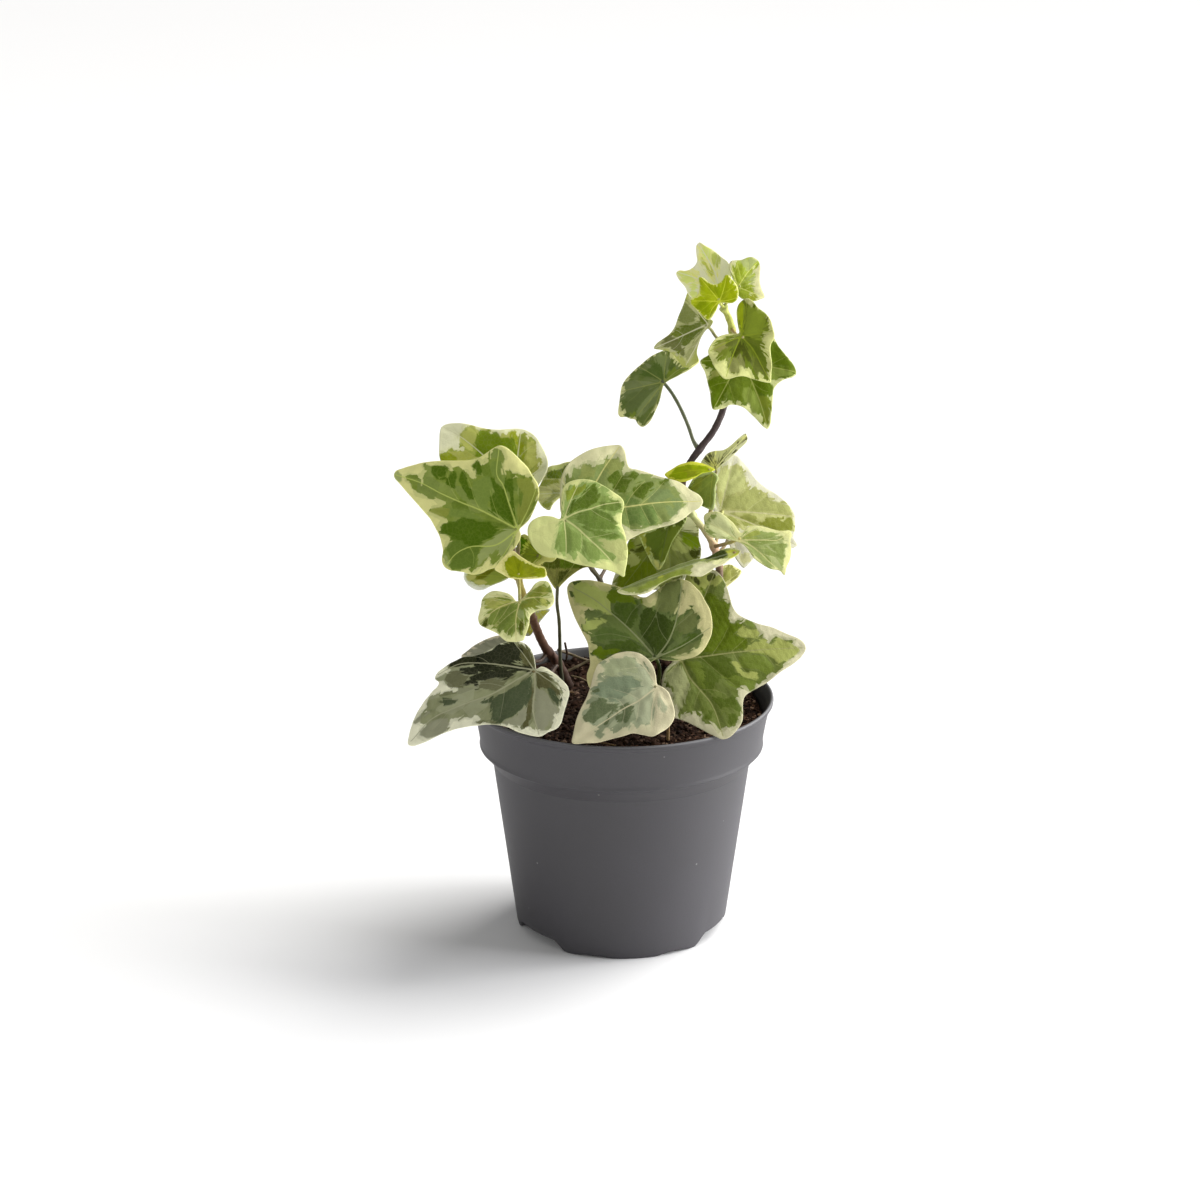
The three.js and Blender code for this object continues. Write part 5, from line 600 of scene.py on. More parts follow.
        "stalk_path": [(0.18, 0.78, 0.00), (1.26, 3.45, -5.40), (3.12, 9.10, -11.69)],
        "outline": [(-0.95,8.15),(-3.51,6.61),(-5.58,5.07),(-4.27,2.91),(-2.62,0.67),(-0.58,-0.49),(2.53,-1.58),(5.8,-2.37),(7.56,-2.11),(8.3,-0.24),(8.16,1.1),(6.36,2),(4.31,4.15),(2.44,6.72),(1.16,8.87)],
        "veins": [[(0,0),(8.01,0.45)], [(0,0),(0.9,8.58)], [(0,0),(-4.86,5.03)]],
        "sides": [],
        "green": [[(-2.97,3.52),(-2.44,5.79),(-0.51,6.86),(0.81,7.1),(2.22,5.15),(5.72,1.34),(8.27,0.73),(7.44,-2.26),(0.15,-0.41),(-2.42,0.9)]],
        "darks": [[(2.81,4.25),(5.16,1.49),(4.09,-1.35),(1.23,-0.79)]],
        "lights": [],
        "holes": []},
    "left_leaf_under": {
        "at": (-32.89, -13.15, 113.01),
        "rot": (0.7930, -0.1334, 3.0248),
        "reach": 13.49, "dome": 0.1, "fold": 0.1,
        "on": "stem_left", "end": (-30.25, -12.21, 113.72),
        "margin": 1,
        "cream": (239, 239, 227),
        "mid": (140, 148, 70),
        "dark": (118, 124, 59),
        "light": (160, 169, 80),
        "vein": (175, 188, 72),
        "XC": (135, 152, 68),
        "stalk": ((140, 140, 70), (110, 90, 50)), "stalk_r": 0.5,
        "jag": 0.7,
        "vs": 0.3,
        "stalk_path": [(0.80, 0.08, 0.00), (-0.70, -0.93, -0.47), (-2.44, -1.45, -0.52)],
        "outline": [(12.8,1.9),(11.13,3.61),(8.87,4.69),(6.81,4.44),(4.95,3.1),(2.32,1.77),(0.42,0.61),(-0.27,-0.66),(2.43,-2.77),(5.49,-3.2),(8.5,-3.05),(11.54,-2.81),(13.28,-1.92),(13.82,-0.19)],
        "veins": [[(0,0),(13.58,-0.66)], [(0,0),(6.86,4.51)], [(0,0),(6.66,-2.87)]],
        "sides": [],
        "green": [[(12.16,-2.83),(9.77,-3.39),(5.47,-3.04),(1.46,-2.17),(-0,0),(2.44,1.77),(5.24,3.17),(7.66,3.18),(11.53,1.75),(12.49,-0.61)]],
        "darks": [],
        "lights": [],
        "holes": [],
        "patches": [((107, 109, 11), [[(10.19,0.45),(8.79,-0.5),(6.82,-1.76),(5.69,-2.4),(4.49,-2.41),(4.97,-1.45),(6.36,-0.49),(7.7,0.82),(9.48,1.13)]]),
            ((148, 161, 68), [[(6.32,-0.16),(5.27,-1.45),(3.51,-1.79),(1.6,-0.9),(0.3,0.01),(1.94,1.08),(3.58,2.14),(5.29,2.84),(6.89,2.17),(6.78,0.83)]]),
            ((190, 187, 109), [[(10.35,1.45),(8.56,1.15),(6.69,1.5),(6.49,2.84),(8.26,3.17),(10.2,2.46)], [(13.11,-0.64),(11.25,-0.57),(9.97,-0.21),(10.4,1.11),(11.89,1.4),(12.97,0.34)]])]},
    "left_leaf_small": {
        "at": (-29.33, -29.53, 111.14),
        "rot": (0.9836, 0.0000, -1.6581),
        "reach": 13.52, "dome": 0.2, "fold": 0.04,
        "on": "stem_left", "end": (-30.19, -12.01, 113.22),
        "margin": 1,
        "cream": (215, 216, 156),
        "mid": (117, 134, 56),
        "dark": (79, 101, 17),
        "light": (137, 147, 71),
        "vein": (200, 193, 126),
        "XC": (111, 143, 58),
        "stalk": ((176, 172, 96), (160, 150, 80)), "stalk_r": 0.55,
        "stalk_path": [(0.80, -0.02, 0.00), (-4.21, -0.66, -5.04), (-8.59, -1.35, -11.07), (-11.32, -1.85, -13.43)],
        "outline": [(0.24,-1.04),(-1.07,-2.26),(-1.95,-3.79),(-2.34,-6),(-2.26,-8.16),(-1.27,-9.87),(0.42,-10.98),(2.29,-11.06),(4.1,-11.36),(5.9,-11.59),(7.65,-10.85),(8.47,-9.33),(9.32,-7.08),(9.94,-5.58),(10.9,-4.4),(11.84,-2.88),(11.89,-1.09),(11.64,0.7),(11.09,2.09),(9.68,2.49),(8.25,2.91),(6.11,3.26),(4.33,3.28),(3.13,4.26),(2.38,5.97),(1.75,8.07),(0.43,9.38),(-1.32,9.83),(-3.5,9.11),(-5.33,8.51),(-6.73,7.28),(-6.77,5.49),(-5.49,3.8),(-3.42,2.56),(-1.77,1.27),(-0.48,0.39)],
        "veins": [[(0,0),(5.17,-0.67),(11.54,-0.11)], [(0,0),(2.33,-5.55),(6.52,-10.66)], [(0,0),(-1.49,4.47),(-1.16,8.81)], [(0,0),(-0.7,-4.39),(-1.11,-9.06)], [(0,0),(-3.82,3.38),(-6.1,6.62)]],
        "sides": [],
        "green": [[(2.19,-10.49),(0.71,-10.34),(0.07,-8.08),(-0.32,-5.8),(-0.17,-3.47),(0.59,-1.67),(0.76,-0.22),(-1.19,1.62),(-2.81,2.61),(-4.53,4.18),(-6.06,6.34),(-4.98,7.59),(-3.57,8.58),(-2.27,8.13),(-1.18,6.79),(-0.15,8.04),(0.82,7.55),(1.62,5.9),(1.82,4.2),(2.23,3.08),(2.92,2),(5.5,2.23),(7.77,2.15),(9.2,1.7),(9.54,0.87),(8.49,0.2),(6.86,-0.52),(9.13,-0.9),(10.57,-1.63),(10.36,-2.51),(9.07,-3.78),(9.69,-4.88),(8.33,-5.58),(7.82,-6.49),(8.42,-7.59),(7.89,-8.51),(8.47,-9.33),(7.37,-10.59),(5.94,-9.56),(4.78,-8.79),(3.62,-8.61),(2.71,-7.54),(2.76,-9.27)]],
        "darks": [],
        "lights": [],
        "holes": [],
        "patches": [((162, 166, 82), [[(0.42,-10.37),(0.07,-8.08),(-0.06,-5.2),(0.68,-2.82),(1.64,-3.88),(2.38,-6.7),(2.77,-9.56)], [(-0.77,5.97),(-0.99,7.67),(0.82,7.55),(1.59,6.19)]]),
            ((140, 152, 93), [[(2.57,-0.62),(2.66,1.69),(4.95,1.9),(5.67,0.23),(4.03,-0.78)]]),
            ((119, 127, 45), [[(-1.55,2.16),(-3.54,3.7),(-5.32,5.54),(-4.63,7.34),(-2.84,7.79),(-1.93,5.57),(-1.06,3.35)], [(0.98,0.67),(-0.41,2.84),(-1.19,4.49),(-0.4,5.43),(1.69,5.33),(2.23,3.08),(2.15,0.78)]]),
            ((103, 119, 48), [[(2.56,-4.37),(1.52,-2.16),(1.98,-0.68),(4.63,-1.01),(6.3,-0.57),(8.86,-0.92),(10.32,-1.94),(8.77,-3.52),(9.41,-4.9),(6.66,-5.73),(3.78,-5.41)]]),
            ((65, 73, 4), [[(7.36,-10.3),(5.65,-9.29),(6.19,-8.37),(7.61,-8.53),(8.47,-9.62)], [(6.21,0.57),(5.8,1.97),(8.32,2.2),(9.52,1.15),(7.89,0.72)]])]},
    "left_leaf_behind_stem": {
        "at": (-25.52, 8.86, 96.62),
        "rot": (1.1570, 0.1482, -1.9061),
        "reach": 9.26, "dome": 0.06, "fold": 0.1,
        "on": "stem_left", "end": (-26.42, -1.04, 96.54),
        "margin": 0.4,
        "cream": (194, 194, 184),
        "mid": (193, 192, 75),
        "dark": (141, 143, 47),
        "light": (194, 194, 137),
        "vein": (194, 194, 152),
        "XC": (120, 128, 34),
        "stalk": ((120, 100, 60), (110, 80, 55)), "stalk_r": 0.5,
        "vs": 0.3,
        "stalk_path": [(0.78, -0.16, 0.00), (1.49, -0.84, 5.28), (4.56, -0.76, 8.80)],
        "outline": [(0.2,-3.14),(1.71,-5.49),(4.02,-6.59),(6.43,-5.39),(8.05,-2.88),(9.18,-0.38),(8.82,1.08),(6.97,1.84),(5.08,2.27),(3.13,2.84),(1.12,3.56),(-0.71,4.19),(0.34,1.71),(1.49,-0.59)],
        "veins": [[(0,0),(9.03,0.05)], [(0,0),(4.93,-5.62)], [(0,0),(-0.46,3.96)]],
        "sides": [],
        "green": [],
        "darks": [],
        "lights": [],
        "holes": []},
    "left_leaf_underside": {
        "at": (-19.39, 9.57, 102.04),
        "rot": (1.5016, 0.1445, 0.9576),
        "reach": 18.26, "dome": 0.06, "fold": 0.1,
        "on": "soil", "end": (-17.25, 18.99, 65.06),
        "margin": 1,
        "cream": (228, 218, 119),
        "mid": (138, 140, 71),
        "dark": (117, 117, 61),
        "light": (159, 159, 81),
        "vein": (239, 239, 143),
        "XC": (84, 80, 38),
        "stalk": ((96, 96, 62), (78, 80, 62)), "stalk_r": 0.62,
        "vs": 0.16,
        "stalk_path": [(0.78, 0.17, 0.00), (-3.44, -2.58, 0.06), (-7.62, -6.50, -1.51), (-12.90, -10.87, -3.88), (-18.28, -15.17, -6.24), (-24.01, -20.54, -9.33), (-25.83, -22.38, -10.49), (-27.43, -24.00, -11.52)],
        "outline": [(1.92,5.06),(0.62,2.48),(-0.09,-0.14),(2.45,-0.67),(5.72,-1.48),(9.8,-3.27),(11.17,-4.52),(14.1,-5.44),(17.23,-4.78),(18.12,-1.27),(17.41,2.68),(14.66,5.98),(10.98,7.87),(6.78,8.27),(2.86,8.86)],
        "veins": [[(0,0),(17.46,-0.25)], [(0,0),(3.38,8.49)], [(0,0),(14.59,-5.1)]],
        "sides": [],
        "green": [[(9.63,12.82),(19.03,-2.11),(4.14,-12.29),(-5.48,2.23)]],
        "darks": [],
        "lights": [],
        "holes": [],
        "patches": [((79, 91, 13), [[(5.61,7.83),(7.08,6.64),(8.45,3.89),(9.24,1.47),(9.63,-0.84),(10.13,-2.68),(9.14,-2.27),(7.28,0.85),(5.54,3.34),(4.25,5.4),(3.44,6.68),(2.81,8.82)]]),
            ((92, 115, 16), [[(8.13,4.41),(9.04,2.08),(9.47,-0.59),(9.51,-2.01),(7.61,0.33),(6.15,2.66)]]),
            ((65, 73, 8), [[(4.95,2.55),(6.13,1.53),(7.44,-0.52),(8.39,-1.69),(6.57,-1.12),(4.33,-0.47),(2.09,0.17),(1.34,0.76),(3.37,2.18)]])]},
    "low_leaf_left": {
        "at": (-25.44, -22.93, 87.76),
        "rot": (0.6733, -0.0667, -2.5574),
        "reach": 43.42, "dome": 0.2, "fold": 0.12,
        "on": "stem_left", "end": (-19.30, 18.25, 75.63),
        "margin": 1,
        # painted light and sheen: the cream is raised to the 239 cap, and the greyish mid, light, vein and XC tones
        # carry a painted sheen
        "cream": (239, 238, 208),
        "mid": (141, 145, 107),
        "dark": (46, 52, 10),
        "light": (170, 172, 142),
        "vein": (168, 167, 136),
        "XC": (128, 140, 98),
        "stalk": ((110, 100, 60), (80, 60, 45)), "stalk_r": 0.7,
        "stalk_path": [(0.65, 0.47, 0.00), (-2.47, -3.27, -8.72), (-6.62, -8.27, -21.30), (-11.35, -13.70, -31.06), (-16.74, -18.46, -35.49)],
        "outline": [(41.72,-4.43),(41.02,-3.03),(38.95,-2.08),(36.01,-1.1),(32.97,-0.3),(30.14,0.83),(27.52,2.28),(25,3.86),(23.46,4.92),(20.66,6.69),(18.05,9.43),(16.79,11.53),(15.21,14.45),(13.01,17.72),(11.02,19.96),(8.29,20.44),(5.6,20.91),(3.75,20.11),(1.14,17.45),(-2.02,14.57),(-3.63,13.12),(-4.6,10.62),(-4.34,7.71),(-4.06,4.76),(-3.4,1.74),(-2.27,0.14),(-0.66,0.05),(-0.99,-0.83),(-2.06,-3.1),(-2.7,-5.21),(-2.95,-7.57),(-2.36,-9.34),(-0.75,-11.05),(0.91,-12.37),(3.41,-13.27),(5.91,-13.46),(8.82,-13.67),(12,-14.9),(14.56,-16.39),(17.74,-16.94),(20.71,-17.12),(23.5,-16.9),(24.72,-15.83),(24.46,-14.01),(25.41,-13.25),(27.39,-12.94),(30.55,-12.19),(33.41,-11.2),(36.18,-9.69),(38.53,-7.86),(40.38,-6.13)],
        "veins": [[(0,0),(4.89,-0.23),(10.01,-0.4),(14.88,-0.96),(20.69,-2.82),(26.6,-4.59),(32.15,-5.88),(40.57,-4.53)], [(0,0),(4.12,-4.07),(9.48,-9.26),(16.41,-14.88),(23.33,-16.22)], [(0,0),(3.7,6.06),(7.85,11.42),(10.9,19.26)], [(0,0),(-1.22,5.41),(-3.35,11.74)], [(0,0),(-0.19,-5.89),(-0.01,-10.99)]],
        "sides": [[(10.01,-0.4),(12.99,-3.85),(16.47,-6.58),(20.26,-8.88)], [(14.88,-0.96),(18.1,1.86),(21.67,3.05)], [(20.69,-2.82),(23.78,-6.18),(27.18,-9.13)], [(10.01,-0.4),(13.39,3.81),(16.78,7.45)], [(26.6,-4.59),(30.06,-3.64),(33.95,-3.15)], [(9.48,-9.26),(10.73,-12.76),(12.68,-15.2)]],
        "green": [[(36.6,-8.38),(35.56,-9.43),(33.33,-8.99),(30.94,-8.83),(30.33,-10.32),(29.04,-11.21),(27.18,-10.78),(24.47,-10.03),(21.86,-8.6),(22.43,-9.9),(22.92,-12.43),(22.86,-13.64),(24.21,-14.85),(21.71,-14.32),(20.1,-14.62),(20.3,-16.53),(18.32,-17.41),(15.15,-16.85),(12.5,-15.49),(8.48,-13.54),(4.39,-13.37),(0.57,-12.25),(-2.41,-9.31),(-2.56,-6.32),(-1.7,-2.87),(-0.12,0.09),(-1.33,1.44),(-2.42,4.08),(-2.32,8),(-1.98,11.19),(0.25,14.62),(2.41,16.34),(4.84,17.41),(7.13,19.32),(8.82,19.25),(10.44,18.03),(11.57,15.53),(13.35,14.53),(15.22,12.59),(16.5,10.26),(19.81,7.81),(23.61,3.89),(21.58,4.02),(21.71,2.56),(23.43,1.39),(24.19,-0.17),(25.82,-0.38),(27.96,-1.43),(29.63,-0.51),(31.97,-0.2),(34.8,-0.78),(36.91,-1.91),(37.83,-4.32),(35.74,-4.77),(33.86,-5.44),(35.1,-7.38)]],
        "darks": [],
        "lights": [],
        "holes": [],
        "patches": [((104, 105, 75), [[(21.36,-14.87),(18.74,-13.44),(16.98,-10.69),(16.58,-9.12),(18.2,-8.8),(19.46,-9.03),(20.15,-7.97),(22.43,-9.9),(22.92,-12.43),(22.68,-13.91)], [(14.97,-6.19),(12.01,-4.29),(9.43,-2.36),(7.72,-2.29),(5.95,-1.8),(9.24,-1.03),(12.63,-1.2),(15.19,-3.17),(16.35,-4.08)], [(23.44,3.62),(20.65,5.31),(18.74,6.16),(17.49,8.56),(19.81,7.81),(22.29,5.12)]]),
            ((148, 149, 122), [[(3.7,6.06),(2.08,7.31),(1.53,10.75),(1.84,13.88),(2.41,16.34),(4.66,17.13),(6.96,19.05),(8.82,19.25),(10.26,17.76),(9.77,14.9),(6.9,10.48)], [(16.54,9.8),(13.8,10.41),(10.91,10.24),(8.64,9.95),(10.67,12.54),(12.95,14.44),(14.77,12.96),(16.22,10.92)], [(37.66,-4.57),(35.13,-4.61),(32.19,-4.73),(30.51,-4.03),(28.7,-2.46),(29.24,-0.56),(31.41,-0.5),(34.02,-0.87),(36.3,-1.75)], [(36.6,-8.38),(33.89,-8.69),(31.27,-8.32),(32.32,-7.25),(35.16,-7.84)]]),
            ((82, 80, 46), [[(-1.15,-10.6),(-2.51,-8.4),(-2.25,-5.31),(-1.58,-2.15),(-0.12,0.09),(1.67,-1.97),(1.61,-4.72),(-0.39,-7.8)], [(0.03,0.85),(-1.64,2.59),(-1.92,5.94),(-1.65,10.1),(-0.49,13.49),(0.36,11.61),(0.03,8.43),(1.47,6.91),(2.86,5.83)], [(2.19,0.97),(4.16,5.69),(7.17,9.83),(9.62,12.54),(11.86,14.9),(12.95,14.44),(10.54,11.81),(7.91,8.82),(5.31,4.78)]]),
            # painted shade: the dark green of the upper lobe, painted darker still as shade from the leaves above
            ((22, 25, 4), [[(20.35,-17.01),(18.32,-17.41),(15.15,-16.85),(12.5,-15.49),(10.47,-14.26),(12.04,-11.27),(14.65,-12.12),(17.57,-14.15),(19.85,-16.13)]]),
            ((69, 80, 53), [[(13,1),(10.32,0.62),(7.75,0.97),(5.59,1.4),(3.03,1.21),(1.72,1.34),(4.62,5.33),(7.91,8.82),(10.73,9.96),(13.62,10.13),(16.19,9.25),(18.56,8.05),(19.72,6.59),(17.49,4.2),(16.04,1.92)], [(28.87,-9.82),(27.01,-9.39),(24.92,-7.15),(22.87,-5.41),(23.67,-5.28),(25.76,-5.86),(27.51,-6.98),(28.47,-8.24)], [(18.22,-1.22),(16.27,-0.45),(14.77,-0.06),(16.12,0.95),(17.6,0.53),(18.73,-0.44)], [(0.27,8.26),(-0.29,9.54),(-0.29,11.67),(-0.49,13.49),(1.45,15.4),(1.79,14.33),(1.15,12.3),(0.97,9.89)]]),
            # painted shade: more of the upper lobe, painted near-black as shade from the leaves above
            ((14, 19, 4), [[(17.57,-14.15),(11.99,-10.81),(6.79,-6.41),(2.39,-4.06),(-0.25,-0.65),(1.15,0.44),(4.83,-2.99),(8.2,-5.84),(12.06,-7.97),(15.88,-10.2),(18.46,-12.78)], [(11.12,-14.35),(8.48,-13.54),(6.12,-13.41),(3.5,-13.13),(0.94,-11.67),(-0.59,-9.73),(-0.63,-7.63),(1.43,-5),(4.3,-5.41),(6.79,-6.41),(9.66,-8.98),(12.27,-11.45)], [(16.41,-9.39),(13.23,-8.88),(10.08,-7.25),(7.2,-4.69),(4.29,-2.21),(6.43,-2.14),(8.78,-2.27),(12.47,-4.65),(14.8,-6.46),(16.65,-7.94)], [(19.29,-9.3),(17.74,-8.43),(16.41,-7.75),(15.43,-6.56),(16.41,-4.53),(17.27,-4.82),(16.88,-6.5),(19.23,-7.21),(19.98,-8.24)]])]},
    "low_leaf_left_back": {
        "at": (-32.51, -2.47, 84.40),
        "rot": (1.0592, -0.1460, 3.0747),
        "reach": 15.33, "dome": 0.12, "fold": -0.1,
        "on": "stem_left", "end": (-22.13, 13.25, 81.29),
        "margin": 0.5,
        "cream": (210, 198, 170),
        "mid": (144, 144, 124),
        "dark": (116, 117, 97),
        "light": (168, 167, 147),
        "vein": (168, 167, 147),
        "XC": (138, 142, 118),
        "stalk": ((110, 90, 60), (80, 60, 45)), "stalk_r": 0.6,
        "vs": 0.3,
        "stalk_path": [(0.72, -0.34, 0.00), (-2.03, -1.33, -5.22), (-4.14, -1.19, -10.74), (-6.11, -2.33, -14.96), (-7.70, -5.51, -16.58)],
        "outline": [(11.91,1.47),(7.79,2.6),(4.38,3.11),(1.06,2.71),(-1.89,1.41),(-3.54,-0.77),(-3.29,-3.53),(-1.28,-5.62),(1.87,-6.75),(4.69,-6.86),(8.06,-5.78),(11,-4.17),(13.92,-2.01),(15.72,-0.17)],
        "veins": [[(0,0),(15.35,-0.32)], [(0,0),(4.28,-6.52)], [(0,0),(5.93,2.86)]],
        "sides": [],
        "green": [],
        "darks": [],
        "lights": [],
        "holes": []},
    "low_leaf_centre": {
        "at": (9.82, -25.16, 92.21),
        "rot": (0.9929, -0.0482, 2.4193),
        "reach": 33.98, "dome": 0.12, "fold": 0.1,
        "on": "soil", "end": (9.76, -0.32, 65.52),
        "margin": 1,
        "cream": (196, 190, 136),
        "mid": (92, 105, 57),
        "dark": (41, 59, 13),
        "light": (113, 130, 63),
        "vein": (144, 150, 106),
        "XC": (96, 120, 60),
        "stalk": ((70, 82, 30), (70, 78, 34)), "stalk_r": 0.65,
        "stalk_path": [(0.73, -0.33, 0.00), (-0.88, 0.06, -5.90), (-1.69, 0.96, -11.93), (-2.78, 3.53, -20.90), (-3.50, 5.90, -29.24), (-4.10, 7.04, -32.99), (-4.48, 7.76, -35.35)],
        "outline": [(33.33,1.51),(30.64,3.47),(26.15,6.07),(21.82,7.96),(18.11,9.56),(15.31,11.9),(13.13,14.05),(11.8,16.87),(10.09,18.57),(7.5,19.53),(4.25,17.96),(1.75,14.66),(0.45,10),(0.25,5.85),(0.31,2.28),(-0.42,0.04),(-2.47,-1.13),(-4.74,-2.94),(-6.97,-5.54),(-8.55,-8.14),(-8.87,-10.68),(-8.36,-13.49),(-7.47,-16.02),(-5.31,-18.74),(-2.52,-20.98),(0.11,-22.02),(3.05,-23.19),(5.68,-23.55),(8.13,-23.48),(10.31,-22.44),(11.79,-20.45),(12.64,-18.45),(13.12,-16.04),(13.63,-13.83),(14.22,-11.84),(15.41,-10.99),(17.38,-10.57),(20.65,-9.85),(24.21,-8.68),(27.53,-7.27),(31.1,-5.32),(33.81,-3.19),(34.93,-1.46),(34.69,0.01)],
        "veins": [[(0,0),(7.09,-1.05),(13.45,-1.66),(19.49,-1.87),(25.4,-1.9),(34.2,-0.64)], [(0,0),(0.44,-5.81),(1.84,-10.07),(4.11,-14.45),(9.25,-22.11)], [(0,0),(4.87,5.86),(8.1,18.86)], [(0,0),(-3.68,-8.14),(-6.06,-16.89)]],
        "sides": [[(9.73,0.36),(14.98,3.2),(18.15,6.66)], [(13.45,-1.66),(14.44,-5.9),(14.23,-9.2)], [(19.49,-1.87),(22.43,-3.43),(24.12,-4.45)], [(7.09,-1.05),(7.93,-7.32),(9.52,-12.68)], [(19.49,-1.87),(20.96,0.88),(22.38,3.69)], [(1.84,-10.07),(1.2,-13.76),(0.78,-17.7)], [(0.44,-5.81),(4.56,-7),(9.02,-10.33)]],
        "green": [[(34.2,-0.64),(33.81,-2.88),(31.64,-4.91),(29.19,-4.82),(27.19,-4.8),(24.42,-6.56),(24.1,-7.98),(22.51,-8.84),(20.77,-8.65),(18.12,-9.19),(16.14,-9.61),(14.81,-10.3),(13.35,-9.52),(11.79,-10.4),(10.84,-11.97),(9.76,-12.08),(11.15,-14.1),(12.76,-15.94),(13.06,-18.5),(12.33,-20.32),(10.11,-22.2),(8.44,-21.18),(5.84,-17.76),(5.1,-15.59),(4.16,-13.62),(3.14,-12.9),(2.39,-15.12),(2.25,-17.63),(1.4,-17.97),(-0.25,-17.4),(-1.7,-17.06),(-3.45,-14.6),(-5.88,-13.56),(-6.22,-12.29),(-6.73,-10.38),(-6.35,-7.71),(-5.11,-4.72),(-3.04,-1.81),(-2.06,0.59),(-1.52,3.49),(2.87,8.13),(8.07,10.99),(11.9,11.05),(13.59,10.47),(14.91,11.17),(15.27,9.89),(14.79,8.68),(15.83,7.95),(17.57,8.19),(19.24,6.76),(21.65,7.13),(23.13,5.92),(23.71,3.96),(25.22,3.16),(24.24,0.73),(26,0.53),(29.17,2.28),(30.7,1.47),(32.46,0.41)]],
        "darks": [],
        "lights": [],
        "holes": [],
        "patches": [((167, 177, 98), [[(33.96,-0.82),(31.43,-4.67),(27.19,-4.8),(24.21,-6.33),(23.02,-4.53),(20.24,-3.61),(18.83,-2.01),(20.87,-0.78),(24.87,0.03),(29.17,2.28),(31.13,0.99)], [(23.55,5.46),(22.8,3.22),(20.34,1.59),(18.36,1.16),(18.87,3.22),(19.43,6.11),(21.42,6.95)], [(30.55,-4.57),(32.68,-2.95),(32.32,-1.66),(30.46,-2.69)]]),
            ((103, 111, 61), [[(-3.77,-6.27),(-5,-9.27),(-6.22,-12.29),(-6.73,-10.38),(-6.1,-7.12),(-4.87,-4.12),(-3.79,-3.59)], [(11.15,-14.1),(12.94,-16.59),(12.82,-19.1),(10.11,-22.2),(7.45,-19.6),(5.48,-16.46),(5,-13.7),(6.38,-11.74),(8.99,-10.75),(10.21,-11.7)], [(2.28,-13.23),(1.7,-16.11),(1.4,-17.97),(-1.48,-16.87),(-3.45,-14.6),(-3.11,-12.34),(-1.35,-10.83),(0.56,-10.37)]]),
            ((83, 101, 45), [[(19.01,6.57),(17.98,2.47),(14.88,0.68),(10.53,-0.55),(9.28,-0.02),(11.97,3.08),(14.67,6.18),(16.01,7.3)]]),
            ((90, 109, 7), [[(23.72,-7.11),(22.51,-8.84),(20.11,-8.78),(17.46,-9.33),(15.03,-10.11),(14.2,-9.61),(16.91,-7.81),(19.66,-5.62),(21.94,-4.21),(23.45,-4.58)], [(14.89,10.76),(14.34,8.31),(11.67,6.06),(9.49,5.01),(10.04,7.89),(11.7,11.28)]]),
            ((67, 85, 25), [[(20.41,-4.25),(18.74,-6.35),(15.54,-8.92),(13.08,-7),(11.54,-4.36),(11.72,-1.91),(15.99,-2.33),(18.8,-2.42)], [(-2.5,-5.97),(-2.91,-9.03),(-3.3,-12.11),(-4.81,-13.03),(-4.42,-9.94),(-4.26,-7.47),(-3.71,-5.45)], [(13.84,6.68),(11.77,3.32),(8.68,0.67),(5.7,0.53),(5.57,2.44),(9.49,5.01),(12.8,7.41)]]),
            ((50, 65, 13), [[(12.03,-6.69),(11.41,-9.53),(9.02,-10.33),(5.54,-11.66),(3.02,-11.43),(1.5,-8.8),(0.44,-5.81),(-0.61,-2.83),(-1.66,0.14),(1.39,-1.15),(4.51,-1.64),(7.42,-2.32),(9.9,-3.38)]])]},
    "low_leaf_front": {
        "at": (10.13, -34.74, 87.00),
        "rot": (0.7461, 0.0000, -2.4919),
        "reach": 30.65, "dome": 0.12, "fold": 0.06,
        "on": "soil", "end": (6.72, -3.44, 66.54),
        "margin": 1,
        # painted sheen: the greyish cream, mid, light and XC tones carry the leaf's sheen as a paler grey
        "cream": (197, 190, 155),
        "mid": (146, 153, 122),
        "dark": (92, 104, 70),
        "light": (169, 173, 135),
        "vein": (198, 191, 154),
        "XC": (127, 154, 126),
        "stalk": ((120, 120, 70), (90, 80, 45)), "stalk_r": 0.65,
        "stalk_path": [(0.77, -0.20, 0.00), (-0.94, -1.72, -8.66), (-1.77, -4.93, -19.55), (-2.60, -8.02, -31.65), (-2.69, -8.64, -33.86), (-2.79, -9.30, -36.27)],
        "outline": [(27.36,0.8),(24.6,2.7),(21.2,4.5),(17.8,6.34),(14.65,7.67),(12.76,9.9),(10.84,12.08),(8.06,12.39),(4.91,12.19),(2.61,11.18),(0.95,9.13),(-0.46,6.15),(-1.3,3.38),(-0.89,0.97),(-0.33,-0.56),(-1.48,-2.62),(-2.84,-5.66),(-3.06,-9.06),(-2.14,-11.85),(0.18,-14.33),(2.82,-15.63),(5.57,-16.02),(8.78,-16.24),(11.85,-14.58),(14.83,-12.18),(17.95,-10.01),(20.91,-8.48),(24.13,-6.59),(27.58,-3.64),(29.64,-1.4)],
        "veins": [[(0,0),(6.71,0.48),(11.6,-0.21),(16.79,-0.48),(28.38,-1.31)], [(0,0),(6.01,5.2),(10.8,11.41)], [(0,0),(-0.66,-6.75),(-0.25,-13.31)], [(0,0),(0.68,4.87),(1.69,8.97)]],
        "sides": [[(6.71,0.48),(8.27,-3.14),(10.65,-6.65)], [(11.6,-0.21),(11.66,-3.44),(13.51,-5.74)], [(6.71,0.48),(9.5,3.17),(11.87,5.32)], [(11.6,-0.21),(13.35,1.61),(15.32,3.24)], [(-0.66,-6.75),(1.86,-8.67),(5.43,-10.65)]],
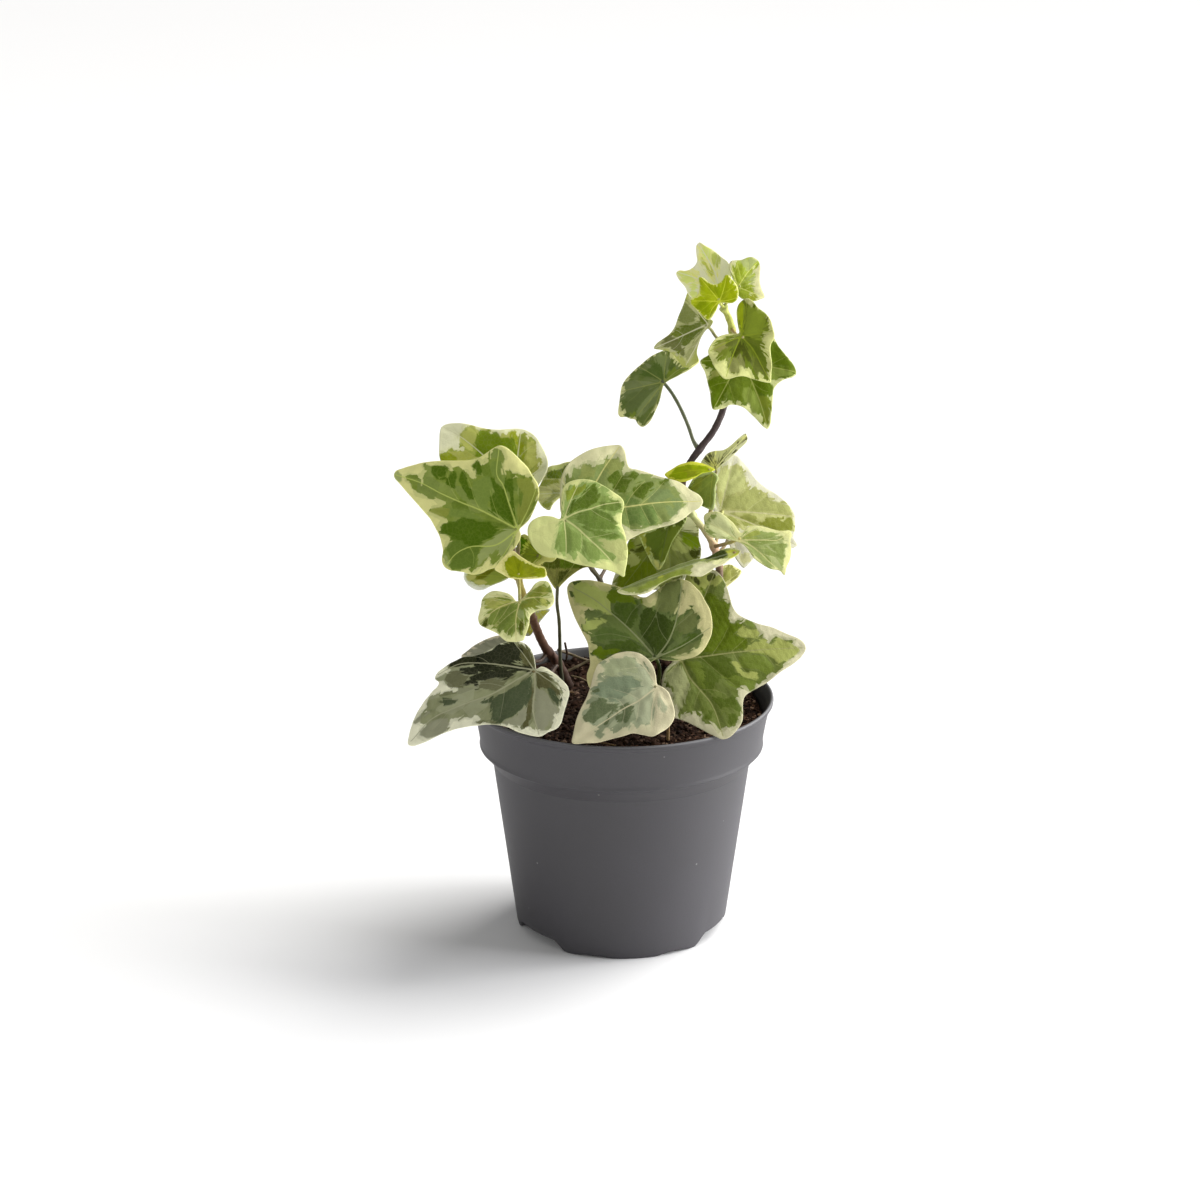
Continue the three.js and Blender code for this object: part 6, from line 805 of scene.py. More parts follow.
        "green": [[(8.47,-15.69),(6.54,-15.37),(5.03,-14.97),(3.43,-13.26),(1.22,-12.35),(-0.8,-11.19),(-0.25,-9.53),(-1.23,-7.96),(-1.35,-6.23),(-0.23,-3.83),(0.87,-1.46),(2.44,0.58),(3.59,3),(5.56,5.55),(7.17,6.71),(8.55,8.03),(9.09,9.2),(10.62,8.37),(11.34,6.98),(12.77,7.42),(12.86,6.13),(13.13,5.09),(14.52,5.96),(16.27,4.48),(17.73,4.04),(19.24,2.73),(19.73,1.48),(20.91,2.09),(22.51,2.31),(22.99,1.05),(21.63,0.21),(22.21,-1.87),(22.79,-3.95),(22.13,-5.77),(21.21,-6.99),(19.97,-6.73),(18.85,-8.2),(17.41,-8.2),(15.97,-8.2),(16.28,-9.69),(15.52,-10.69),(13.85,-10.52),(13.08,-11.53),(11.15,-10.74),(11.26,-12.5),(9.59,-12.79),(8.25,-11.69),(8.8,-13.83)]],
        "darks": [],
        "lights": [],
        "holes": [],
        "patches": [((159, 164, 132), [[(-0.31,-8.66),(-1.35,-6.23),(0.32,-2.64),(2.44,0.58),(3.99,3.51),(6.34,6.56),(9.16,8.35),(10.49,7.27),(10.67,4.69),(10,1.94),(8.06,-0.59),(7.44,-3.28),(4.86,-2.88),(2.39,-4.2),(1.28,-6.59)], [(1.27,2.34),(1.34,4.77),(2.24,7.34),(4.09,8.33),(4.41,6.87),(3.09,4.23)]]),
            ((148, 155, 118), [[(8.67,-15.43),(5.23,-14.71),(1.88,-12.44),(-0.2,-10.4),(1.74,-6.94),(3.5,-7.48),(5.37,-9.78),(8.4,-10.56),(11.01,-11.88),(8.75,-12.94)], [(6.04,-10.32),(4.41,-8.19),(3.83,-6.11),(3.05,-4.29),(4.22,-5.6),(5.7,-8.39)]]),
            ((116, 129, 101), [[(13.05,-11.09),(10.07,-10.26),(7.05,-9.47),(4.54,-7.07),(3.24,-4.04),(3.94,-2.18),(7.06,-3.78),(9.56,-3.35),(12.03,-2.94),(13.89,-5.25),(15.09,-7.46),(15.84,-9.32),(14.04,-10.27)]]),
            ((87, 99, 65), [[(18.23,-8.08),(15.28,-7.21),(14.01,-4.14),(11.96,-2.09),(15.24,-1.58),(18.12,-1.58),(20.17,-1.72),(21.77,-1.5),(22.72,-3.1),(22.5,-5.29),(21.18,-6.56),(19.56,-6.79)], [(12.11,-1.42),(9.98,-0.91),(9.28,0.05),(9.61,1.43),(11.85,2.47),(13.63,3.85),(14.47,3.55),(13.79,1.24)], [(14.16,-1.1),(13.68,-0.31),(15.37,2.37),(16.02,1.81)], [(18.85,-0.62),(17.23,-0.85),(19.51,1.67),(20.16,1.1)], [(15.33,-10.95),(14.04,-10.27),(14.36,-8.89),(15.84,-9.32)]])]},
    "low_leaf_right": {
        "at": (17.15, -21.94, 90.80),
        "rot": (0.8255, 0.0906, 0.1308),
        "reach": 37.13, "dome": 0.1, "fold": 0.06,
        "on": "soil", "end": (14.57, 4.75, 65.51),
        "margin": 1,
        "cream": (178, 174, 142),
        "mid": (87, 98, 40),
        "dark": (67, 81, 15),
        "light": (100, 110, 57),
        "vein": (135, 136, 84),
        "XC": (110, 140, 58),
        "stalk": ((110, 120, 60), (90, 80, 45)), "stalk_r": 0.65,
        "stalk_path": [(0.80, -0.08, 0.00), (0.95, 0.77, -10.01), (0.82, 0.07, -20.29), (0.63, -0.33, -32.66), (0.66, -0.43, -34.36), (0.69, -0.58, -36.85)],
        "outline": [(-2.75,-0.7),(-5.15,-3.04),(-6.43,-5.8),(-6.82,-8.63),(-6.15,-12.18),(-5.18,-15.72),(-4.36,-18.28),(-2.42,-19.09),(0.55,-20.9),(3.78,-23.01),(5.94,-24.4),(8.4,-25.8),(10.82,-25.36),(13.17,-23.39),(14.99,-21.05),(15.69,-18.32),(16.14,-15.23),(16.67,-13.69),(17.75,-12.49),(20.37,-11.04),(24.6,-8.98),(28.68,-6.21),(32.76,-3.7),(36.31,-0.8),(37.96,1.75),(37.07,3.97),(33.1,6.22),(28.56,8.53),(24.2,9.93),(20.82,11.66),(18.41,13.71),(17.55,16.03),(17.35,18.67),(17.16,21.34),(16.43,24.4),(14.75,27.19),(11.72,29.08),(8.38,28.95),(5.69,27.1),(4.3,23.84),(4.25,19.51),(4.17,14.92),(3.1,9.52),(0.98,4.94),(-0.99,1.35)],
        "veins": [[(0,0),(5.65,0.16),(14.7,0.82),(23.82,1.36),(36.72,1.75)], [(0,0),(1.74,-6.29),(4.1,-10.31),(6.93,-15.25),(8.82,-24.92)], [(0,0),(5.82,11.88),(13.75,26.57)], [(0,0),(-2.45,-2.67),(-4.8,-4.69)]],
        "sides": [[(15.59,0.77),(16.64,-2.18),(18.22,-5.5)], [(5.65,0.16),(11.21,-6.38),(14.57,-9.78)], [(23.82,1.36),(25.84,-1.26),(27.23,-3.91)], [(14.7,0.82),(18.78,4.08),(22.25,7.11)], [(9.27,0.53),(12.9,5.02),(15.24,8.7)], [(4.1,-10.31),(7.61,-10.59),(11.54,-12.13)], [(1.74,-6.29),(-0.55,-9.9),(-2.24,-13.52)], [(4.1,-10.31),(2.49,-13.32),(1.56,-15.74)], [(23.82,1.36),(27.73,3.14),(30.92,4.02)]],
        "green": [[(4.25,19.51),(4.59,23.81),(5.94,26.75),(8.58,28.26),(11.62,28.4),(14.35,26.54),(16.08,24.08),(16.81,21.02),(15.55,18.76),(16.25,17.41),(16.25,17.41),(17.2,15.72),(16.26,13.48),(15.67,11.57),(16.42,10.56),(17.52,9.87),(18.52,10.46),(19.32,9.79),(20.02,10.4),(21.62,10.98),(23.29,9.96),(24.05,8.97),(24.11,7.37),(25.18,6.38),(24.03,4.82),(25.5,4.46),(26.57,3.48),(27.72,5.04),(29.33,5.64),(30.71,4.66),(32.15,4),(34.65,4.29),(34.2,3.35),(32.87,2.73),(32.98,1.47),(36.06,1.44),(35.91,0.49),(34.16,-0.78),(31.81,-2.06),(30.37,-3.34),(28.29,-4.91),(26.87,-6.16),(25.46,-7.41),(23.25,-7.97),(21.61,-8.86),(20.51,-10.09),(18.83,-11.28),(17.78,-10.28),(16.55,-10.53),(14.92,-11.39),(14.8,-14.21),(15.71,-16.14),(15.39,-18.3),(14.08,-19.15),(13.81,-20.98),(12.84,-21.53),(11.54,-22.37),(10.03,-22.57),(8.15,-23.35),(7.15,-22.06),(5.86,-20.73),(4.45,-20.31),(3.58,-20.24),(3.33,-17.76),(1.92,-17.32),(0.18,-17.17),(-1.02,-17.37),(-2.88,-18.12),(-3.24,-16.53),(-3.48,-14.02),(-3.62,-10.86),(-4.52,-8.87),(-5.98,-6.81),(-5.62,-4.28),(-2.99,-2.29),(-0.38,-0.61),(2.8,1.02),(6.39,5.45),(5.29,18.44)]],
        "darks": [],
        "lights": [],
        "holes": [],
        "patches": [((138, 144, 74), [[(21.83,4.27),(25.5,4.46),(27.13,3.15),(29.85,4.99),(32.15,4),(33.84,3.03),(35.39,1.13),(32.52,-1.42),(30.43,-3.01),(28.34,-4.59),(26.94,-1.95),(25.39,-0.28),(21.32,0.82),(19.36,1.85)], [(15.25,-1.45),(16.54,-2.83),(17.38,-5.14),(19.66,-5.89),(22,-6.32),(23,-7.64),(21.36,-8.53),(18.77,-7.78),(16.54,-6.7),(15.4,-4.38)], [(17.15,7.33),(19.48,8.82),(21.74,7.77),(23.9,8.01),(24.87,6.39),(23.43,4.84),(20.81,5.57),(19.01,5.65)], [(4.91,27.85),(9.82,28.51),(13.85,27.24),(15.83,24.43),(13.72,22.52),(10.63,22.04),(8.44,19.53),(6.47,18.35),(4.3,19.84)]]),
            ((138, 142, 97), [[(-5.71,-4.92),(-3.03,-2.61),(-1.1,-1.51),(0.27,-4.22),(1.55,-7.55),(0.61,-10.01),(-0.99,-13.01),(-1.34,-15.47),(-2.67,-16.59),(-3.44,-13.71),(-3.54,-10.24),(-4.72,-8.22)]]),
            ((91, 105, 34), [[(0.4,-1.32),(4.24,-1.34),(6.1,-2.78),(6.5,-6.04),(6.24,-9.85),(5.07,-9.76),(3.39,-7.07),(2.11,-3.75)], [(17.53,-0.28),(22.43,0.15),(25.09,-0.27),(26.04,-1.92),(27.43,-4.56),(26.62,-5.83),(24.36,-6.73),(22.76,-5.38),(19.81,-4.93),(17.63,-3.53),(16.74,-1.54)], [(13.17,-5.22),(15.94,-6.67),(18.72,-8.09),(21.36,-8.53),(20.51,-10.09),(18.83,-11.28),(17.19,-10.25),(14.52,-10.1),(12.05,-8.67),(11.16,-6.7)], [(20.97,10.68),(22.78,10.62),(23.75,8.98),(22.35,7.74),(21.33,9.06)]]),
            ((68, 82, 18), [[(5.74,0.78),(10.2,0.78),(13.91,-0.41),(14.75,-2.73),(15.4,-6.32),(12.79,-7.76),(11.21,-6.38),(9.06,-8.79),(7.43,-11.84),(5.27,-10.41),(5.92,-5.99),(5.32,-2.07)], [(7.29,-12.77),(10.09,-13.91),(13.31,-12.24),(14.8,-14.21),(15.71,-16.14),(15.39,-18.3),(13.96,-17.91),(11.58,-15.89),(9.14,-16.35),(7.56,-14.98)], [(3.96,-17.5),(6.58,-17.71),(6.32,-19.54),(4.45,-20.31),(3.28,-20.22)], [(11.14,-18.96),(13.58,-18.5),(13.81,-20.98),(11.54,-22.37),(10.49,-21.38)]]),
            ((78, 94, 4), [[(8.84,22.16),(10.43,20.72),(11.72,19.31),(13.61,17.88),(15.95,17.42),(17.2,15.72),(15.96,13.5),(15.37,11.59),(16.37,10.25),(18.52,10.46),(19.23,9.15),(17.79,7.61),(16.66,6.08),(18.62,5.03),(20.37,4.64),(20.48,3.37),(19.1,2.17),(16.32,1.68),(12.41,1.58),(8.22,1.54),(6.46,1.67),(9.64,5.22),(10.78,8.96),(10.93,14.11),(9.73,18.12)]]),
            ((45, 50, 4), [[(6.68,25.67),(8.26,26.24),(9.55,24.8),(9.64,23.44),(8.3,22.53),(7.26,23.61)], [(11.14,25.37),(12.49,26.3),(13.39,26.25),(13.18,24.91),(11.58,24.33)]])]},
    "low_leaf_pale": {
        "at": (28.03, 12.34, 100.84),
        "rot": (1.0592, 0.0977, 0.6348),
        "reach": 10.05, "dome": 0.06, "fold": 0.08,
        "on": "stem_right", "end": (28.43, 6.26, 102.95),
        "margin": 0.6,
        "cream": (225, 223, 154),
        "mid": (156, 158, 82),
        "dark": (147, 151, 66),
        "light": (204, 204, 134),
        "vein": (209, 209, 134),
        "XC": (160, 166, 88),
        "stalk": ((150, 150, 80), (110, 90, 60)), "stalk_r": 0.5,
        "stalk_path": [(0.67, 0.43, 0.00), (0.02, 0.09, 2.58), (-0.85, -0.78, 6.34)],
        "outline": [(-0.06,4.49),(-2.85,2.75),(-4.21,0.39),(-3.61,-2.31),(-1.24,-3.64),(1.28,-2.8),(3.57,-1.39),(5.79,-1.17),(8.04,-0.94),(10.2,-0.04),(9.3,2.35),(8.61,3.63),(6.41,4.63),(3.64,4.89)],
        "veins": [[(0,0),(9.95,0.05)], [(0,0),(-1.24,-3.64)], [(0,0),(4.42,4.92)]],
        "sides": [],
        "green": [],
        "darks": [],
        "lights": [],
        "holes": []},
    "back_leaf_centre": {
        "at": (5.79, 24.76, 80.84),
        "rot": (1.5481, 0.0955, 0.9209),
        "reach": 14.78, "dome": 0.16, "fold": 0.08,
        "on": "soil", "end": (7.59, 17.67, 66.23),
        "margin": 2.2,
        "cream": (214, 212, 156),
        "mid": (98, 126, 50),
        "dark": (74, 100, 30),
        "light": (128, 152, 84),
        "vein": (150, 170, 100),
        "XC": (98, 126, 50),
        "stalk": ((110, 110, 60), (90, 70, 45)), "stalk_r": 0.55,
        "stalk_path": [(0.60, 0.53, 0.00), (-4.00, -3.72, -1.98), (-8.31, -7.48, 0.30), (-10.15, -9.06, 4.71), (-11.06, -9.84, 6.91)],
        "outline": [(2.08,10.01),(-1.37,10.45),(-5.51,9.58),(-7.34,6.66),(-7.05,3.04),(-5.4,-0.31),(-2.03,-1.55),(0.32,-2.06),(1.59,-4.96),(2.4,-9.03),(4.43,-12.22),(7.8,-12.82),(10.14,-9.44),(11.25,-5.47),(13.46,-2.3),(13.78,1.02),(10.92,4.34),(8.39,5.94),(8.5,9.44),(5.74,11.2)],
        "veins": [[(0,0),(13.74,-0.56)], [(0,0),(7.47,-12.27)], [(0,0),(-7.34,6.66)], [(0,0),(7.3,10.08)]],
        "sides": [],
        "green": [],
        "darks": [],
        "lights": [],
        "holes": []},
    "back_leaf_right": {
        "at": (35.82, 41.79, 120.29),
        "rot": (1.5016, -0.0485, -0.2711),
        "reach": 15.15, "dome": 0.16, "fold": 0.08,
        "on": "stem_right", "end": (28.29, 7.33, 113.50),
        "margin": 2,
        "cream": (222, 224, 156),
        "mid": (112, 142, 58),
        "dark": (86, 116, 34),
        "light": (146, 168, 100),
        "vein": (164, 182, 112),
        "XC": (112, 142, 58),
        "stalk": ((150, 140, 80), (110, 90, 60)), "stalk_r": 0.55,
        "stalk_path": [(0.79, -0.14, 0.00), (-0.09, -3.97, 4.10), (-0.50, -9.72, 15.88), (-3.21, -10.40, 34.24)],
        "outline": [(-4.55,2.56),(-3.23,-0.95),(-1.02,-4.19),(1.42,-7.11),(3.78,-9.79),(6.62,-9.7),(8.18,-6.28),(10.42,-4.09),(13.62,-3.02),(15.3,-0.05),(12.69,2.32),(8.32,4.21),(4.37,5.78),(1.45,8.19),(-1.74,8.24),(-3.95,5.98)],
        "veins": [[(0,0),(14.79,-0.49)], [(0,0),(-2.25,7.77)], [(0,0),(5.05,-9.78)]],
        "sides": [],
        "green": [],
        "darks": [],
        "lights": [],
        "holes": []},
    "back_leaf_middle": {
        "at": (-6.40, 26.48, 118.48),
        "rot": (1.4540, 0.0000, 0.3794),
        "reach": 19.12, "dome": 0.16, "fold": 0.08,
        "on": "stem_centre", "end": (-6.54, -2.33, 108.92),
        "margin": 2.2,
        "cream": (218, 214, 160),
        "mid": (100, 130, 62),
        "dark": (78, 104, 36),
        "light": (134, 158, 98),
        "vein": (152, 172, 108),
        "XC": (100, 130, 62),
        "stalk": ((120, 120, 60), (90, 70, 45)), "stalk_r": 0.55,
        "stalk_path": [(0.44, 0.67, 0.00), (-0.61, -8.02, 6.63), (-1.56, -10.37, 14.28), (-4.89, -11.89, 27.50)],
        "outline": [(-1.15,10.95),(-3.11,8.47),(-5.94,6.29),(-7.48,3.24),(-6.03,0.37),(-3.26,-0.03),(-1.01,-0.91),(0.44,-3.78),(3.91,-4.86),(7.83,-3.2),(12.05,-2.38),(15.94,-2.45),(18.98,-0.54),(16.83,3.09),(13.29,5.65),(10.02,8.04),(10.29,11.16),(8.83,14.01),(4.71,15.05),(0.52,13.51)],
        "veins": [[(0,0),(18.04,-0.44)], [(0,0),(8.16,13.97)], [(0,0),(-6.29,3.79)], [(0,0),(2.24,-4.18)]],
        "sides": [],
        "green": [],
        "darks": [],
        "lights": [],
        "holes": []},
    "back_leaf_left": {
        "at": (-36.40, 20.73, 120.20),
        "rot": (1.5016, -0.1445, 2.6702),
        "reach": 15.80, "dome": 0.16, "fold": 0.08,
        "on": "stem_left", "end": (-30.16, -11.88, 112.91),
        "margin": 2.2,
        "cream": (216, 212, 154),
        "mid": (112, 138, 56),
        "dark": (84, 112, 26),
        "light": (144, 164, 96),
        "vein": (160, 176, 104),
        "XC": (112, 138, 56),
        "stalk": ((140, 140, 70), (110, 80, 55)), "stalk_r": 0.5,
        "stalk_path": [(0.52, -0.61, 0.00), (-4.17, 2.89, 7.03), (-9.17, 3.20, 21.63), (-13.94, 3.59, 30.79)],
        "outline": [(14.69,-4.01),(15.91,-0.78),(15.04,2.87),(11.46,4.88),(8.57,7.75),(5.3,9.39),(1.66,8.33),(-0.61,5.27),(-0.83,1.64),(-0.93,-0.87),(-3.21,-1.05),(-4.77,-4),(-4.44,-7.98),(-1.99,-10.78),(1.25,-11.77),(4.24,-13.5),(7.74,-12.9),(10.95,-10.39),(13.35,-6.92)],
        "veins": [[(0,0),(14.79,0.63)], [(0,0),(6.79,-13.09)], [(0,0),(-3.9,-8.38)], [(0,0),(2.6,8.52)]],
        "sides": [],
        "green": [],
        "darks": [],
        "lights": [],
        "holes": []},
}

# Each stem: x, y, z and radius in mm, from the soil up.
STEMS = {
    "stem_right": [(21.31, 7.77, 67.35, 1.35), (22.73, 7.77, 77.07, 1.30), (23.54, 7.71, 86.60, 1.25), (26.40, 6.87, 96.96, 1.20), (28.83, 6.23, 104.68, 1.15), (28.95, 6.93, 110.07, 1.10), (27.73, 7.53, 115.17, 1.05), (24.58, 8.31, 120.82, 1.00), (20.40, 9.00, 126.18, 0.95), (18.16, 9.87, 132.09, 0.95), (18.58, 10.47, 137.15, 0.95), (20.33, 11.17, 140.94, 1.00), (23.72, 12.15, 145.56, 1.00), (26.52, 13.24, 148.93, 1.00), (28.59, 14.43, 152.58, 1.00), (30.21, 15.71, 156.52, 1.00), (31.69, 17.71, 162.69, 1.00), (32.58, 20.00, 169.71, 1.00), (32.64, 19.69, 175.24, 1.00), (32.25, 18.61, 180.03, 1.00), (31.00, 17.75, 183.84, 0.95), (29.77, 16.96, 186.27, 0.80)],
    "stem_right_side": [(25.23, 10.36, 121.60, 0.60), (26.72, 12.34, 126.74, 0.65), (27.10, 11.80, 131.53, 0.65), (27.21, 11.65, 134.96, 0.60), (27.04, 11.58, 136.37, 0.45)],
    "stem_left": [(-16.48, 22.86, 67.85, 1.55), (-18.55, 19.39, 74.00, 1.50), (-20.91, 15.69, 78.80, 1.40), (-22.94, 11.32, 83.16, 1.35), (-24.34, 6.57, 87.94, 1.30), (-25.71, 1.51, 93.40, 1.25), (-26.79, -2.23, 98.07, 1.20), (-28.43, -6.66, 103.86, 1.10), (-29.64, -10.15, 109.30, 1.00), (-30.28, -12.31, 113.97, 0.90), (-30.54, -13.11, 116.36, 0.70)],
    "twig": [(13.43, -26.03, 67.22, 0.50), (13.47, -25.88, 70.58, 0.45), (13.52, -26.23, 75.97, 0.35)],
    "stem_centre": [(2.20, 9.60, 67.49, 0.85), (-0.10, 7.48, 77.81, 0.80), (-2.22, 4.76, 88.86, 0.75), (-4.18, 0.49, 99.98, 0.70), (-6.25, -2.07, 108.26, 0.65), (-9.04, -4.18, 113.09, 0.65), (-10.80, -5.23, 116.34, 0.50)],
}

# Bark colour along each stem: how far along it, and the colour.
TINTS = {
    "stem_right": [(0.000, (64, 46, 34)), (0.234, (66, 48, 36)), (0.297, (84, 64, 46)), (0.340, (110, 86, 62)), (0.381, (196, 156, 128)), (0.431, (206, 190, 140)), (0.484, (198, 204, 140)), (0.534, (140, 122, 90)), (0.574, (88, 72, 62)), (0.607, (64, 51, 50)), (0.755, (64, 50, 48)), (0.807, (92, 78, 52)), (0.908, (130, 128, 60)), (0.946, (166, 170, 80)), (0.978, (176, 180, 84)), (1.000, (190, 196, 112))],
    "stem_right_side": [(0.000, (176, 160, 110)), (0.685, (150, 140, 80)), (1.000, (150, 150, 80))],
    "stem_left": [(0.000, (52, 36, 26)), (0.325, (88, 60, 46)), (0.435, (107, 76, 58)), (0.653, (104, 76, 54)), (0.772, (132, 116, 60)), (0.877, (150, 138, 64)), (0.960, (156, 144, 70)), (1.000, (160, 150, 84))],
    "twig": [(0.000, (168, 140, 96)), (1.000, (150, 120, 80))],
    "stem_centre": [(0.000, (70, 60, 50)), (0.421, (84, 78, 66)), (0.816, (78, 70, 58)), (1.000, (110, 104, 70))],
}
# Thin dry roots and fibres lying on the soil: x and y in mm, and height above the soil.
FIBRES = [
    [(-15, -26, 0.1), (-11, -27.5, 0.6), (-6, -27.2, 0.4), (-1, -29, 0.1)],
    [(-13, -18, 0.0), (-9, -16.5, 0.8), (-4, -17, 0.7), (1, -15.5, 0.1)],
    [(26, -20, 0.0), (28.5, -17.5, 0.5), (30, -13, 0.1)],
    [(-24, 14, 0.0), (-19, 17, 0.7), (-13, 16.5, 0.1)],
    [(6, 26, 0.0), (11, 24, 0.6), (15, 25.5, 0.1)],
]
WORLD = 0.31
# name, place, aimed at, size, power, colour
LIGHTS = [
    ("fill_right", (1.5, -0.05, 0.45), (0.0, 0.0, 0.08), (1.0, 0.7), 32.0, (0.975, 0.98, 1.0)),
    ("fill_left", (-1.2, -1.1, 0.48), (0.0, 0.0, 0.14), (1.2, 1.2), 6.0, (1.0, 0.995, 0.985)),
]
# the key light: strength, angular size, then azimuth from +X and elevation in degrees, colour
SUN = (3.75, 52.0, 34.0, 41.0, (1.0, 0.99, 0.975))

# thin dry stalks low between the stems: colour, radius, path in mm
TWIGS = [
    ((104, 90, 68), 0.46, [(-19.35, 35.36, 74.00), (-17.83, 36.86, 73.00), (-15.67, 37.39, 72.00), (-12.58, 36.50, 71.00), (-9.49, 36.56, 70.00), (-6.40, 37.56, 69.00)]),
    ((92, 80, 58), 0.44, [(-18.70, 30.53, 67.20), (-16.57, 32.44, 68.00), (-14.11, 33.31, 69.00), (-11.34, 34.67, 70.00), (-8.87, 35.08, 71.00), (-6.40, 35.49, 72.00)]),
    ((70, 52, 40), 0.36, [(-17.16, 33.23, 77.00), (-16.87, 34.34, 75.00), (-16.58, 35.43, 73.00), (-16.92, 37.51, 70.00), (-17.87, 38.60, 67.00)]),
    ((84, 60, 44), 0.7, [(-22.19, 39.30, 72.00), (-21.25, 37.51, 70.00), (-20.30, 35.28, 67.50), (-19.65, 32.09, 66.00)]),
    ((58, 42, 32), 0.4, [(-24.01, 35.72, 68.00), (-20.86, 31.18, 68.60), (-17.76, 29.03, 67.40), (-15.28, 25.40, 66.40)]),
    ((120, 104, 76), 0.3, [(-15.33, 31.10, 67.00), (-12.54, 28.10, 67.40), (-9.46, 25.75, 66.60)]),
]


POT_OUT = [(31.2, 0.0), (31.45, 0.35), (31.7, 1.2), (34.2, 20.0), (36.5, 37.0), (38.5, 51.9), (38.62, 52.6), (38.72, 52.8), (38.98, 52.95), (39.2, 53.25),
           (39.6, 53.85), (40.6, 55.2), (41.5, 56.4), (41.82, 56.78), (42.22, 57.0), (42.46, 57.22), (42.5, 57.5), (42.34, 58.05), (42.34, 58.6), (42.6, 60.8), (43.4, 65.5), (44.2, 69.0), (44.45, 69.9),
           (44.7, 70.25), (45.1, 70.45), (45.32, 70.8), (45.4, 71.4), (45.3, 71.9), (45.0, 72.1)]
POT_IN = [(44.65, 72.1), (44.45, 71.85), (44.2, 71.0), (43.6, 70.2), (43.1, 68.5), (42.4, 65.5), (41.6, 61.0), (41.1, 58.1), (40.6, 57.0),
          (38.6, 54.5), (37.6, 52.8), (35.5, 37.0), (33.2, 20.0), (30.7, 2.6), (30.0, 1.6), (28.6, 1.3), (0.0, 1.3)]
# raised pockets in the foot: angle from the front, width, rise
DRAINS = ((-55.0, 37.0, 3.2), (67.0, 36.0, 3.3), (186.0, 36.0, 3.2), (-16.0, 14.0, 0.55), (30.0, 14.0, 0.7))
SOIL_TOP = 66.1


# ---------------------------------------------------------------- helpers
def srgb(c, gain=1.0):
    out = []
    for v in c:
        v = max(0.0, v / 255.0)
        v = v / 12.92 if v <= 0.04045 else ((v + 0.055) / 1.055) ** 2.4
        out.append(min(1.0, v * gain))
    return out


def rgba(c, gain=1.0):
    return tuple(srgb(c, gain)) + (1.0,)


def curve_points(pts, step, closed=False):
    """A centripetal Catmull-Rom curve through pts, sampled about every step."""
    P = np.asarray(pts, float)
    if closed:
        Q = np.vstack([P[-1], P, P[0], P[1]])
    else:
        Q = np.vstack([2 * P[0] - P[1], P, 2 * P[-1] - P[-2]])
    k = 3 if Q.shape[1] >= 4 else Q.shape[1]
    out = []
    for i in range(1, len(Q) - 2):
        p0, p1, p2, p3 = Q[i - 1:i + 3]
        t1 = max(1e-6, np.linalg.norm((p1 - p0)[:k])) ** 0.5
        t2 = t1 + max(1e-6, np.linalg.norm((p2 - p1)[:k])) ** 0.5
        t3 = t2 + max(1e-6, np.linalg.norm((p3 - p2)[:k])) ** 0.5
        n = max(1, int(round(np.linalg.norm((p2 - p1)[:k]) / step)))
        for j in range(n):
            t = t1 + (t2 - t1) * j / n
            A1 = (t1 - t) / t1 * p0 + t / t1 * p1
            A2 = (t2 - t) / (t2 - t1) * p1 + (t - t1) / (t2 - t1) * p2
            A3 = (t3 - t) / (t3 - t2) * p2 + (t - t2) / (t3 - t2) * p3
            B1 = (t2 - t) / t2 * A1 + t / t2 * A2
            B2 = (t3 - t) / (t3 - t1) * A2 + (t - t1) / (t3 - t1) * A3
            out.append((t2 - t) / (t2 - t1) * B1 + (t - t1) / (t2 - t1) * B2)
    if not closed:
        out.append(P[-1])
    return np.array(out)


def turned(rx, ry, rz):
    """Rotation about the blade's own x, then its y, then its z axis."""
    a, b = math.cos(rx), math.sin(rx)
    c, d = math.cos(ry), math.sin(ry)
    e, f = math.cos(rz), math.sin(rz)
    X = np.array([[1, 0, 0], [0, a, -b], [0, b, a]])
    Y = np.array([[c, 0, d], [0, 1, 0], [-d, 0, c]])
    Z = np.array([[e, -f, 0], [f, e, 0], [0, 0, 1]])
    return X @ Y @ Z


def seg_dist(P, A, B):
    """Distance from each of P to each segment A-B, and the place along it."""
    d = B - A
    L = np.maximum((d * d).sum(1), 1e-12)
    t = np.clip(((P[:, None, :] - A[None]) * d[None]).sum(2) / L[None], 0, 1)
    q = A[None] + t[..., None] * d[None]
    return np.sqrt(((P[:, None, :] - q) ** 2).sum(2)), t


def inside_poly(P, poly):
    x, y = P[:, 0], P[:, 1]
    c = np.zeros(len(P), bool)
    j = len(poly) - 1
    for i in range(len(poly)):
        xi, yi = poly[i]
        xj, yj = poly[j]
        if yi != yj:
            c ^= ((yi > y) != (yj > y)) & (x < (xj - xi) * (y - yi) / (yj - yi) + xi)
        j = i
    return c


def signed(P, polys, none=-9.0):
    """Signed distance to the union of polygons: positive inside."""
    best = np.full(len(P), none)
    for poly in polys:
        A = np.asarray(poly, float)
        d, _ = seg_dist(P, A, np.roll(A, -1, 0))
        d = d.min(1)
        s = np.where(inside_poly(P, A), d, -d)
        best = np.maximum(best, s)
    return np.clip(best, -9.0, 9.0)


def line_dist(P, line):
    A = np.asarray(line, float)
    d, t = seg_dist(P, A[:-1], A[1:])
    k = d.argmin(1)
    r = np.arange(len(P))
    seg = np.linalg.norm(A[1:] - A[:-1], axis=1)
    start = np.concatenate([[0], np.cumsum(seg)[:-1]])
    along = (start[k] + t[r, k] * seg[k]) / max(seg.sum(), 1e-9)
    return d[r, k], along


def smooth(a, b, x):
    t = np.clip((x - a) / (b - a), 0, 1)
    return t * t * (3 - 2 * t)


